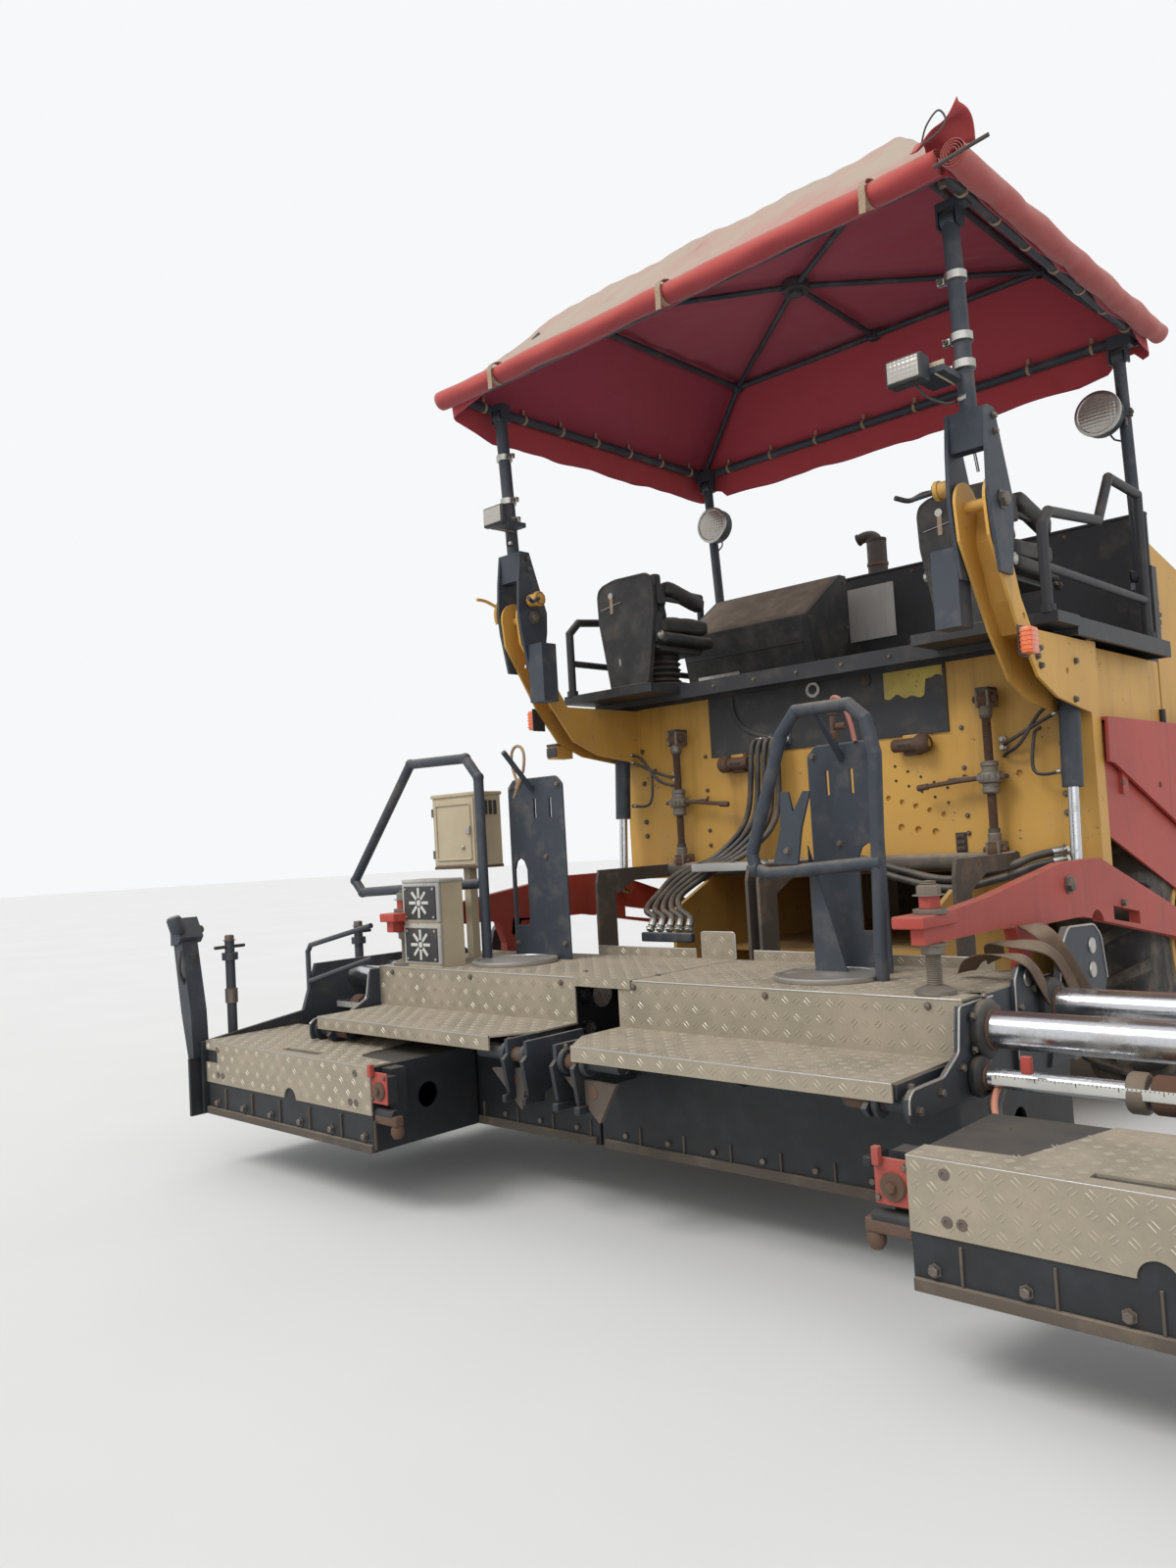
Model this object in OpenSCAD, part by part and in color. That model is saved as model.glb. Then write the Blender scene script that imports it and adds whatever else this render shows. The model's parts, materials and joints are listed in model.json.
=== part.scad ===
/* [Chassis] */
// Width over the two side plates of the chassis
chassis_w = 1280; // [1200:10:1400]
// Thickness of the chassis side plates
plate_t = 20; // [12:1:30]
// Height of the chassis underside above the ground
belly_z = 330; // [280:5:360]
// Height of the low frame, where the rear wall ends
frame_z = 1029; // [950:1:1100]
// Height of the roof of the conveyor tunnel
tunnel_z = 690; // [640:5:740]
// Underside of the plate above the rear tyres
arch_z = 1440; // [1420:5:1500]
// Thickness of the plate above the rear tyres
arch_t = 20; // [10:1:30]
// Front end of the chassis, from the riser of the screed walkway
nose_y = 5560; // [5400:10:5700]
// Front end of the tractor body, where the hopper starts
body_front_y = 3950; // [3850:10:4050]

// Diameter of the tie-down holes
tie_d = 44; // [30:1:60]

/* [Body] */
// Distance of the rear wall from the riser of the screed walkway
wall_y = 1470; // [1400:5:1550]
// Width of the rear wall
wall_w = 2290; // [2200:10:2300]
// Thickness of the rear wall
wall_t = 20; // [10:1:30]
// Width of the tank box and of the engine hood
upper_w = 2180; // [2100:10:2240]
// Height of the underside of the operator's deck
deck_z = 1869; // [1800:1:1950]
// Thickness of the operator's deck
deck_t = 66; // [50:1:90]
// Distance of the deck's front wall from the riser of the walkway
front_wall_y = 2460; // [2400:5:2550]
// Height of the top of the deck's front wall
front_wall_z = 2530; // [2450:5:2600]
// Thickness of the deck's front wall
front_wall_t = 20; // [10:1:30]
// Height of the engine hood at its rear end
hood_rear_z = 2395; // [2300:5:2440]
// Height of the engine hood at its front end
hood_front_z = 2120; // [2050:5:2200]
// Wall of the hood panels
hood_t = 12; // [6:1:20]
// Height of the top edge of the red side covers
cowl_z = 1588; // [1550:1:1620]
// Outer face of the red side covers from the centre plane
cowl_x = 1170; // [1160:1:1180]

// Distance of a seat's swivel from the centre plane
seat_x = 835; // [820:5:840]

/* [Wheels] */
// Outer diameter of a rear tyre
tyre_d = 1380; // [1340:10:1400]
// Width of a rear tyre
tyre_w = 385; // [360:5:390]
// Distance of a rear tyre's middle from the centre plane
tyre_x = 937; // [930:1:940]
// Distance of the rear axle from the riser of the walkway
rear_axle_y = 2570; // [2540:5:2600]
// Diameter of the rim under a rear tyre
rim_d = 636; // [600:4:660]
// Diameter of the hub that carries a rear wheel
hub_d = 220; // [180:5:240]
// Diameter of a front wheel
front_d = 560; // [520:10:580]
// Width of a front wheel
front_w = 300; // [260:10:310]
// Distance of a front wheel's middle from the centre plane
front_x = 930; // [925:1:960]
// Diameter of a front axle pin
front_pin_d = 60; // [50:1:70]
// Distance of the kingpins from the centre plane
kingpin_x = 735; // [730:1:740]
// Distance of the bogie pivots from the riser of the walkway
bogie_y = 4900; // [4850:10:4920]
// Distance of a kingpin from its bogie pivot along the machine
bogie_half = 330; // [320:5:345]
// Height of the bogie pivots
bogie_z = 450; // [430:5:470]

/* [Tow arms] */
// Distance of the tow point from the riser of the walkway
tow_y = 3480; // [3420:5:3520]
// Height of the tow point
tow_z = 470; // [450:5:490]
// Diameter of the tow point pin
tow_pin_d = 70; // [50:2:90]
// Inner face of a tow arm from the centre plane
arm_x = 1150; // [1150:1:1160]
// Thickness of a tow arm
arm_t = 40; // [30:1:50]
// Distance of the lift cylinders from the centre plane
lift_x = 1095; // [1093:1:1097]
// Diameter of a lift cylinder's barrel
barrel_d = 74; // [64:1:80]
// Diameter of a lift cylinder's rod
rod_d = 40; // [30:1:46]

/* [Screed] */
// Half the basic working width of the screed
screed_half = 1275; // [1250:5:1300]
// Height of the screed's sole plates as the machine parks
sole_z = 220; // [200:5:240]
// Height of the top of the screed's box frame
box_z = 520; // [500:5:540]
// Front face of the screed's box frame
box_front_y = 680; // [660:5:700]
// Height of the upper walkway
walk_z = 766; // [750:1:790]
// Height of the lower walkway
step_z = 609; // [590:1:630]
// Depth of the lower walkway
step_depth = 331; // [300:1:360]
// Depth of the upper walkway
walk_depth = 590; // [560:5:595]
// Thickness of the walkway sheet
tread_t = 6; // [4:1:8]
// Height of the telescoping tubes
tube_z = 680; // [675:1:685]
// Diameter of the telescoping tubes
tube_d = 100; // [80:2:104]
// Diameter of the rams that run the extensions out
ram_d = 50; // [40:2:52]
// How far the right extension is run out
out_right = 1200; // [600:10:1250]
// How far the left extension is run out
out_left = 430; // [200:10:1250]
// Height of the top of the extension frames
ext_z = 505; // [480:1:508]
// Rear face of the extension frames behind the riser of the walkway
ext_rear = 540; // [500:5:580]

/* [Canopy] */
// Distance of the rear post pivots from the riser of the walkway
pivot_y = 752; // [740:1:765]
// Height of the rear post pivots
pivot_z = 2260; // [2240:5:2280]
// Distance of the rear posts from the centre plane
post_x = 1095; // [1093:1:1097]
// Length of a canopy post between its pivots
post_len = 930; // [880:5:980]
// Lean of the canopy posts to the rear
post_lean = 70; // [40:5:90]
// Distance from the rear posts to the front posts
post_gap = 1560; // [1520:5:1580]
// Diameter of the canopy posts
post_d = 56; // [44:2:60]
// Half the width of the canopy frame
roof_x = 1160; // [1155:1:1170]
// Height of the canopy's perimeter tubes
roof_z = 3250; // [3245:1:3260]
// Height of the raised canopy ring
ring_z = 3630; // [3500:10:3700]
// Diameter of the canopy's perimeter tubes
roof_d = 42; // [34:1:44]

/* [Hopper] */
// Distance of a wing hinge from the centre plane
wing_x = 650; // [645:1:660]
// Height of the wing hinges
wing_z = 720; // [710:5:740]
// Length of a wing's floor from its hinge
wing_len = 919; // [850:5:930]
// Angle by which the wings are folded up as the machine parks
wing_fold = 48; // [40:1:52]
// Diameter of a wing's hinge pin
wing_pin_d = 40; // [30:1:44]

/* [Augers] */
// Diameter of the augers
auger_d = 400; // [360:10:400]
// Distance of the auger shafts from the riser of the walkway
auger_y = 940; // [935:1:945]
// Height of the auger shafts
auger_z = 480; // [460:5:500]
// Distance between two turns of an auger
auger_pitch = 300; // [240:10:360]

/* [Hidden] */
$fn = 48;
half = chassis_w / 2;
run = 0.4;
slot = 6;
end_plate_x = screed_half + 35;
end_plate_t = 20;
gate_t = 15;
gate_gap = 15;
end_x = end_plate_x + end_plate_t + gate_gap + gate_t;
roller_d = 150;
roller_y = nose_y + 200;
x_mid = (out_right - out_left) / 2;
y_mid = (roller_y + roller_d / 2 - ext_rear - 60) / 2;
deck_top = deck_z + deck_t;
barrel_y = 1395;
barrel_z = 1740;
eye_y = 1345;
eye_z = 1000;
lift_tilt = atan2(eye_y - barrel_y, barrel_z - eye_z);
lift_len = norm([eye_y - barrel_y, barrel_z - eye_z]);
front_post_x = 1100;
arm_top = deck_z - 6;

module place() { translate([-x_mid, -y_mid, 0]) children(); }
module both() { children(); mirror([1, 0, 0]) children(); }
module side(s) { if (s > 0) children(); else mirror([1, 0, 0]) children(); }
module box(a, b) { translate(a) cube(b - a); }
module profile(x0, x1, pts) {
  translate([x0, 0, 0]) rotate([90, 0, 90]) linear_extrude(x1 - x0) polygon(pts);
}
module section(y0, y1, pts) {
  translate([0, y1, 0]) rotate([90, 0, 0]) linear_extrude(y1 - y0) polygon(pts);
}
module rod(a, b, d) {
  v = b - a;
  l = norm(v);
  translate(a) rotate([0, acos(v[2] / l), atan2(v[1], v[0])]) cylinder(h = l, d = d);
}
module pipe(pts, d, knob = 1) {
  for (i = [0 : len(pts) - 2]) rod(pts[i], pts[i + 1], d);
  for (i = [1 : len(pts) - 2]) translate(pts[i]) sphere(d = d + knob);
}
module along_x(x0, x1, y, z, d) {
  translate([x0, y, z]) rotate([0, 90, 0]) cylinder(h = x1 - x0, d = d);
}
module along_y(y0, y1, x, z, d) {
  translate([x, y0, z]) rotate([-90, 0, 0]) cylinder(h = y1 - y0, d = d);
}
module spin_x(x, y, z) {
  translate([x, y, z]) rotate([0, 90, 0]) rotate_extrude($fn = 64) children();
}

module chassis() {
  color("goldenrod") place() {
    both() difference() {
      profile(half - plate_t, half, [
        [1150, belly_z + 90], [1400, belly_z], [4300, belly_z], [nose_y, belly_z + 70],
        [nose_y, wing_z - 100], [4100, wing_z - 30], [body_front_y, wing_z + 280],
        [body_front_y, arch_z], [wall_y + wall_t, arch_z], [wall_y + wall_t, frame_z],
        [wall_y - 30, frame_z], [1150, 900]]);
      for (p = [[1260, 600], [nose_y - 65, 490]])
        along_x(half - plate_t - 1, half + 1, p[0], p[1], tie_d);
    }
    box([plate_t - half, 1400, belly_z], [half - plate_t, 4300, belly_z + 15]);
    box([plate_t - half, wall_y, tunnel_z],
        [half - plate_t, body_front_y, tunnel_z + 15]);
    box([plate_t - half, nose_y - 20, belly_z + 70],
        [half - plate_t, nose_y, wing_z - 100]);
    box([plate_t - half, 4700, belly_z + 15], [half - plate_t, 5100, 440 - run]);
    both() {
      box([half, tow_y - 80, tow_z - 70], [arm_x - 15, tow_y + 80, tow_z + 70]);
      along_x(half, arm_x + arm_t + 20, tow_y, tow_z, tow_pin_d);
      along_x(half, half + 55, bogie_y, bogie_z, 110);
      for (y = [4130, 4780, 5480]) difference() {
        union() {
          box([half - plate_t, y, wing_z - 90], [wing_x + 15, y + 40, wing_z]);
          along_y(y, y + 40, wing_x, wing_z, 70);
        }
        along_y(y - 1, y + 41, wing_x, wing_z, wing_pin_d);
      }
      along_y(4120, 5530, wing_x, wing_z, wing_pin_d);
    }
    for (z = [belly_z + 40, belly_z + 200])
      box([-80, nose_y, z], [80, nose_y + 90, z + 15]);
    translate([0, nose_y + 50, belly_z + 40]) cylinder(h = 175, d = 50);
  }
}

module fenders() {
  color("goldenrod") place() difference() {
    box([-upper_w / 2, wall_y + wall_t, arch_z],
        [upper_w / 2, body_front_y, arch_z + arch_t]);
    box([-450, 2680, arch_z - 1], [450, 3920, arch_z + arch_t + 1]);
  }
}

module rear_axle() {
  color("dimgray") place() both() {
    along_x(half, half + 120, rear_axle_y, tyre_d / 2, 380);
    along_x(half + 120, tyre_x - 70, rear_axle_y, tyre_d / 2, hub_d);
  }
}

module rear_body() {
  color("goldenrod") place() difference() {
    union() {
      box([-wall_w / 2, wall_y, frame_z], [wall_w / 2, wall_y + wall_t, deck_z]);
      both() box([wall_w / 2 - 20, wall_y + wall_t, frame_z],
                 [wall_w / 2, wall_y + 90, deck_z]);
      box([-upper_w / 2, wall_y + wall_t, arch_z + arch_t],
          [upper_w / 2, front_wall_y, deck_z]);
      both() {
        along_x(370, 520, 1424, 1550, 48);
        box([430, 1424, 1530], [460, wall_y + 1, 1570]);
      }
    }
    box([15 - upper_w / 2, wall_y + wall_t + 15, arch_z + arch_t + 15],
        [upper_w / 2 - 15, front_wall_y - 15, deck_z - 15]);
    along_y(front_wall_y - 20, front_wall_y + 1, 0, 1660, 300);
    for (x = [-860, -640, 640, 860]) along_y(wall_y - 1, wall_y + 12, x, 1400, 26);
    for (i = [0 : 4]) along_y(wall_y - 1, wall_y + 12, 300 + i * 60, 1340 - i * 20, 22);
    for (i = [0 : 2]) along_y(wall_y - 1, wall_y + 12, 350 + i * 75, 1215 - i * 12, 30);
  }
}

module platform() {
  color([0.12, 0.12, 0.14]) place() {
    difference() {
      box([-1180, 1300, deck_z], [1180, 2350, deck_top]);
      box([-1165, 1495, deck_z - 1], [1165, 2335, deck_top - 14]);
      box([-1165, 1315, deck_z - 1], [1165, 1445, deck_top - 14]);
    }
    box([-upper_w / 2, 2350, deck_z], [upper_w / 2, front_wall_y + 20, deck_top]);
    both() box([640, 1095, deck_top - 40], [1190, 1300, deck_top]);
    box([-upper_w / 2, front_wall_y, deck_top],
        [upper_w / 2, front_wall_y + front_wall_t, front_wall_z]);
    box([-600, wall_y - 8, 1590], [590, wall_y, deck_z]);
    both() difference() {
      union() {
        box([front_post_x - 50, pivot_y + post_gap - 30, deck_top],
            [front_post_x + 50, pivot_y + post_gap + 30, pivot_z - 90]);
        for (x = [front_post_x - 50, front_post_x + 38]) profile(x, x + 12, [
          [pivot_y + post_gap - 30, pivot_z - 91], [pivot_y + post_gap + 30, pivot_z - 91],
          [pivot_y + post_gap + 30, pivot_z], [pivot_y + post_gap - 30, pivot_z]]);
      }
    }
    both() along_x(front_post_x - 50, front_post_x + 50, pivot_y + post_gap,
                   pivot_z - 30, 24);
    box([-1060, 1880, deck_top], [660, 2080, deck_top + 20]);
  }
}

module hood() {
  color("goldenrod") place() difference() {
    profile(-upper_w / 2, upper_w / 2, [
      [front_wall_y + front_wall_t, arch_z + arch_t],
      [front_wall_y + front_wall_t, hood_rear_z],
      [body_front_y, hood_front_z], [body_front_y, arch_z + arch_t]]);
    profile(hood_t - upper_w / 2, upper_w / 2 - hood_t, [
      [front_wall_y + front_wall_t + hood_t, arch_z + arch_t - 1],
      [front_wall_y + front_wall_t + hood_t, hood_rear_z - hood_t - 3],
      [body_front_y - hood_t, hood_front_z - hood_t + 1],
      [body_front_y - hood_t, arch_z + arch_t - 1]]);
    box([-350, 2560, 2000], [1000, 3870, 2500]);
    translate([-500, 3000, 2000]) cylinder(h = 500, d = 130);
    for (i = [0 : 8]) box([-upper_w / 2 - 1, 2950 + i * 90, 1750],
                          [upper_w / 2 + 1, 2985 + i * 90, 2050]);
  }
}

module hood_lid() {
  hinge_y = 3900;
  hinge_z = 2140.5;
  rise = (hood_front_z - hood_rear_z) / (body_front_y - front_wall_y - front_wall_t);
  function on_hood(y) = hood_rear_z + rise * (y - front_wall_y - front_wall_t);
  color("gold") place() {
    profile(-370, 1020, [
      [2535, on_hood(2535) + run], [3895, on_hood(3895) + run],
      [3895, on_hood(3895) + 12], [2535, on_hood(2535) + 12]]);
    along_x(-300, 950, hinge_y, hinge_z, 20);
  }
}

module engine() {
  color("dimgray") place() {
    box([-400, 2780, tunnel_z + 15], [400, 3900, 1700]);
    box([-560, 2940, 1500], [-400, 3060, 1600]);
    translate([-500, 3000, 1600]) cylinder(h = 1255, d = 110);
  }
}

module side_cowls() {
  color("firebrick") place() both() {
    profile(cowl_x - 12, cowl_x, [
      [1560, cowl_z], [1545, 1420], [1600, 1414], [2267, 1181], [2900, 960], [3950, 960],
      [3950, cowl_z]]);
    box([upper_w / 2, 1560, cowl_z - 12], [cowl_x, 3950, cowl_z]);
    profile(arm_x - 15, arm_x - 5, [
      [wall_y + 91, 1380], [wall_y + 91, 1141], [2270, 903], [2900, 700], [3300, 700], [3300, 1100],
      [1600, cowl_z - 12]]);
    for (y = [1700, 3200])
      box([arm_x - 15, y, 1300], [cowl_x - 11, y + 60, cowl_z - 11]);
  }
}

module hopper_back() {
  color("firebrick") place() difference() {
    box([-upper_w / 2 - 10, body_front_y, 620], [upper_w / 2 + 10, body_front_y + 15, 1500]);
    box([-560, body_front_y - 1, 455], [560, body_front_y + 30, 1000]);
    both() box([560, body_front_y - 1, 455], [half + 60, body_front_y + 30, wing_z + 300]);
  }
}

module conveyor() {
  color("gray") place() {
    box([plate_t - half, wall_y, belly_z + 15], [half - plate_t, 4290, belly_z + 25]);
    box([plate_t - half, body_front_y + 20, 440], [half - plate_t, nose_y - 20, 455]);
    for (i = [0 : 9]) box([-590, 4020 + i * 150, 455], [590, 4060 + i * 150, 480]);
  }
}

module canopy_arms() {
  color("goldenrod") place() {
    both() difference() {
      union() {
        for (x = [1040, 1140]) profile(x, x + 10, [
          [pivot_y - 85, pivot_z], [681, 2139], [858, 1856], [990, 1702], [1150, 1640],
          [1373, 1610], [wall_y - 12, 1600], [wall_y - 12, arm_top], [960, arm_top],
          [890, 1960], [815, 2150], [pivot_y + 85, pivot_z],
          for (a = [15 : 15 : 165]) [pivot_y + 85 * cos(a), pivot_z + 85 * sin(a)]]);
        profile(1050, 1140, [
          [pivot_y + 73, pivot_z], [803, 2150], [878, 1954], [950, arm_top - 12],
          [wall_y - 12, arm_top - 12], [wall_y - 12, arm_top], [960, arm_top], [890, 1960],
          [815, 2150], [pivot_y + 85, pivot_z]]);
        box([1035, wall_y - 12, 1590], [1149, wall_y, arm_top]);
      }
      for (p = [[800, 2060], [905, 1900], [1250, 1740]]) along_x(1130, 1160, p[0], p[1], 22);
    }
    both() {
      along_x(1020, 1170, pivot_y, pivot_z, 40);
      along_x(1040, 1150, barrel_y, barrel_z, 36);
      box([1150, 845, 1768], [1190, 905, 1853]);
    }
    box([-1215, 985, 1632], [-1150, 1090, 1702]);
  }
}

module auger_frame() {
  color("dimgray") place() {
    along_x(-850, 850, 1410, 1070, 70);
    box([-310, 1080, 1084], [-34, 1300, 1096]);
    both() difference() {
      union() {
      rod([770, 1410, 1090], [770, 1410, 1700], 30);
      rod([770, 1410, 1330], [770, 1410, 1450], 58);
      for (z = [1135, 1620]) rod([770, 1410, z], [770, 1410, z + 60], 44);
      along_x(600, 770, 1410, 1392, 18);
      box([745, 1385, 1690], [795, wall_y, 1740]);
      for (x = [20, 840]) profile(x, x + 14, [
        [1430, 1040], [1430, 1100], [auger_y - 40, 1100], [auger_y - 60, 1040],
        [auger_y - 60, auger_z - 60], [auger_y + 60, auger_z - 60],
        [auger_y + 60, 980], [1130, 1040]]);
      }
      along_x(836, 860, auger_y, auger_z, 90 + 2 * run);
    }
    box([-34, auger_y - 60, auger_z - 60], [34, auger_y + 60, auger_z + 160]);
  }
}

module guard_rails() {
  color([0.12, 0.12, 0.14]) place() both() {
    pipe([[1150, 1115, deck_top], [1150, 1115, 2240], [1150, 1180, 2300],
          [1150, 1680, 2350], [1150, 1830, 2547], [1150, 2170, 2540],
          [1150, 2170, deck_top]], 38);
    rod([1150, 1115, 2095], [1150, 2170, 2095], 32);
  }
}

module hoses() {
  color([0.1, 0.1, 0.1]) place() for (i = [0 : 4]) pipe([
    [-180 - i * 34, wall_y - 8 - run, 1640], [-180 - i * 34, 1435, 1640],
    [-180 - i * 34, 1395, 1600],
    [-200 - i * 40, 1380, 1300], [-300 - i * 46, 1300, 1150 - i * 4],
    [-420 - i * 46, 1160, 1060]], 26);
}

module console() {
  color([0.15, 0.15, 0.16]) place() {
    profile(-1000, -240, [[1850, 2000], [1790, 2250], [2120, 2480], [2180, 2480],
                          [2180, 2200], [2100, 2000]]);
    box([-720, 1890, deck_top + 20 + run], [-520, 2070, 2001]);
  }
}

module seat(s) {
  color([0.1, 0.1, 0.11]) place() translate([s * seat_x, 1400, 0]) {
    translate([0, 0, deck_top + run]) cylinder(h = 24, d = 300);
    translate([0, 0, deck_top + 20]) cylinder(h = 190, d = 150);
    box([-140, -140, deck_top + 200], [140, 140, 2200]);
    box([-200, -180, 2200], [200, 220, 2300]);
    profile(-190, 190, [[-150, 2240], [-110, 2240], [-160, 2580], [-220, 2580],
                        [-230, 2500]]);
  }
}
module seat_left() { seat(-1); }
module seat_right() { seat(1); }

module rear_posts() {
  top_y = pivot_y - post_lean;
  top_z = pivot_z + post_len;
  color([0.18, 0.22, 0.27]) place() both() {
    difference() {
      union() {
        for (x = [1022, 1155]) profile(x, x + 13, [
          [710, 2020], [800, 2020], [835, 2200], [840, 2290], [790, 2430], [745, 2560],
          [690, 2560], [672, 2430], [662, 2290], [672, 2200]]);
        profile(1034, 1156, [[690, 2430], [745, 2430], [745, 2560], [690, 2560]]);
        rod([post_x, pivot_y - 35, 2550], [post_x, top_y, top_z], post_d);
        along_x(post_x - 24, post_x + 24, top_y, top_z, 60);
        box([932, 705, 1868], [1023, 795, 2130]);
        along_x(950, 1023, 735, 2335, 56);
        rod([965, 735, 2335], [905, 640, 2300], 16);
        for (z = [2700, 2790, 2990]) let (t = (z - 2550) / (top_z - 2550))
          translate([post_x, pivot_y - 35 - t * (post_lean - 35), z])
            cylinder(h = 26, d = post_d + 16);
      }
      along_x(1010, 1180, pivot_y, pivot_z, 40 + 2 * run);
      along_x(post_x - 32, post_x + 32, top_y, top_z, 24 + 2 * run);
    }
    box([post_x - 170, 500, 2640], [post_x - 50, 560, 2720]);
    box([post_x - 110, 555, 2660], [post_x, 700, 2680]);
  }
}

module front_posts() {
  base_y = pivot_y + post_gap;
  base_z = pivot_z - 30;
  top_y = base_y - post_lean;
  top_z = base_z + post_len;
  color([0.18, 0.22, 0.27]) place() both() difference() {
    union() {
      rod([front_post_x, base_y, base_z], [front_post_x, top_y, top_z], 50);
      along_x(front_post_x - 33, front_post_x + 33, base_y, base_z, 54);
      along_x(front_post_x - 24, front_post_x + 24, top_y, top_z, 60);
      along_y(2160, 2220, front_post_x - 75, 2919, 180);
      box([front_post_x - 80, 2200, 2905], [front_post_x, 2270, 2930]);
    }
    along_x(front_post_x - 40, front_post_x + 40, base_y, base_z, 24 + 2 * run);
    along_x(front_post_x - 40, front_post_x + 40, top_y, top_z, 24 + 2 * run);
  }
}

module post_lug(x, y, z) {
  difference() {
    union() {
      for (s = [-1, 1])
        box([x + s * 34 - 4, y - 25, z - 25], [x + s * 34 + 4, y + 25, roof_z]);
      box([x - 38, y - 25, z + 34], [roof_x, y + 25, roof_z]);
    }
  }
  along_x(x - 38, x + 38, y, z, 24);
}
module roof_frame() {
  rear_y = 500;
  front_y = 2290;
  hub = [0, 1500, ring_z + 25];
  color([0.16, 0.18, 0.2]) place() {
    both() {
      along_y(rear_y, front_y, roof_x, roof_z, roof_d);
      post_lug(post_x, pivot_y - post_lean, pivot_z + post_len);
      post_lug(front_post_x, pivot_y + post_gap - post_lean, pivot_z - 30 + post_len);
      along_y(900, 2190, 820, ring_z, 30);
      rod([820, 900, ring_z], [roof_x, rear_y, roof_z], 28);
      rod([820, 2190, ring_z], [roof_x, front_y, roof_z], 28);
      rod(hub, [820, 2190, ring_z], 26);
      rod(hub, [820, 900, ring_z], 26);
      for (y = [900, 2190]) translate([820, y, ring_z - 4]) sphere(d = 50);
      for (y = [rear_y, front_y]) translate([roof_x, y, roof_z]) sphere(d = roof_d + 12);
    }
    for (y = [rear_y, front_y]) along_x(-roof_x, roof_x, y, roof_z, roof_d);
    for (y = [900, 2190]) along_x(-820, 820, y, ring_z, 30);
    rod(hub, [0, 2190, ring_z], 26);
    translate(hub - [0, 0, 24]) cylinder(h = 40, d = 120);
  }
}

module roof_form(g) {
  hull() {
    box([-roof_x - 28 - g, 472 - g, roof_z - 20], [roof_x + 28 + g, 2318 + g, roof_z + 20]);
    box([-845 - g, 880 - g, ring_z], [845 + g, 2210 + g, ring_z + 22 + g]);
  }
  hull() {
    box([-845 - g, 880 - g, ring_z], [845 + g, 2210 + g, ring_z + 22 + g]);
    box([-60 - g, 1440 - g, ring_z + 40 + g], [60 + g, 1560 + g, ring_z + 45 + g]);
  }
}
module canopy_cloth() {
  skirt_z = roof_z - 140;
  roll = 96;
  color("firebrick") place() {
    difference() {
      union() {
        roof_form(9);
        box([-roof_x - 37, 463, skirt_z], [-roof_x - 28, 2327, roof_z]);
        box([-roof_x - 37, 2318, skirt_z], [roof_x + 37, 2327, roof_z]);
      }
      roof_form(run);
      box([-roof_x - 28 - run, 472 - run, skirt_z - 1],
          [roof_x + 28 + run, 2318 + run, roof_z + 1]);
      for (s = [-1, 1]) box([s * front_post_x - 45, 2310, skirt_z - 1],
                            [s * front_post_x + 45, 2330, skirt_z + 42]);
    }
    along_x(-roof_x - 37, roof_x + 37, 420, roof_z - 10, roll);
    along_y(400, 2330, roof_x + 32 + roll / 2, roof_z - 10, roll);
  }
}

module rim(s) {
  w = tyre_w / 2;
  color("goldenrod") place() side(s) spin_x(tyre_x, rear_axle_y, tyre_d / 2) polygon([
    [hub_d / 2 + run, -95], [hub_d / 2 + run, -64], [0, -64], [0, -30], [90, -30],
    [120, -50], [240, -50], [rim_d / 2 - 18, -20], [rim_d / 2 - 18, w - 3],
    [rim_d / 2 + 20, w - 3], [rim_d / 2 + 20, w - 18], [rim_d / 2, w - 18],
    [rim_d / 2, 18 - w], [rim_d / 2 + 20, 18 - w], [rim_d / 2 + 20, 3 - w],
    [rim_d / 2 - 18, 3 - w], [rim_d / 2 - 18, -60], [240, -80], [150, -80], [150, -95]]);
}
module rear_rim_left() { rim(-1); }
module rear_rim_right() { rim(1); }

module tyre(s) {
  w = tyre_w / 2;
  r = rim_d / 2 + run;
  color([0.1, 0.1, 0.1]) place() side(s) spin_x(tyre_x, rear_axle_y, tyre_d / 2) polygon([
    [r, 19 - w], [r + 20, 19 - w], [r + 24, 8 - w], [r + 90, -w], [r + 230, -w],
    [tyre_d / 2 - 30, 22 - w], [tyre_d / 2, 50 - w], [tyre_d / 2, w - 50],
    [tyre_d / 2 - 30, w - 22], [r + 230, w], [r + 90, w], [r + 24, w - 8],
    [r + 20, w - 19], [r, w - 19]]);
}
module rear_tyre_left() { tyre(-1); }
module rear_tyre_right() { tyre(1); }

module bogie(s) {
  color([0.2, 0.2, 0.22]) place() side(s) difference() {
    union() {
      profile(half + 10, kingpin_x - 40, [
        [bogie_y - bogie_half - 40, 180], [bogie_y + bogie_half + 40, 180],
        [bogie_y + bogie_half + 40, 380], [bogie_y + 120, 540], [bogie_y - 120, 540],
        [bogie_y - bogie_half - 40, 380]]);
      for (e = [-1, 1]) for (z = [190, 350]) {
        box([kingpin_x - 41, bogie_y + e * bogie_half - 30, z],
            [kingpin_x, bogie_y + e * bogie_half + 30, z + 20]);
        translate([kingpin_x, bogie_y + e * bogie_half, z]) cylinder(h = 20, d = 60);
      }
    }
    along_x(half - 1, half + 80, bogie_y, bogie_z, 110 + 2 * run);
    for (e = [-1, 1]) translate([kingpin_x, bogie_y + e * bogie_half, 180])
      cylinder(h = 200, d = 30 + 2 * run);
  }
}
module bogie_left() { bogie(-1); }
module bogie_right() { bogie(1); }

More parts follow.
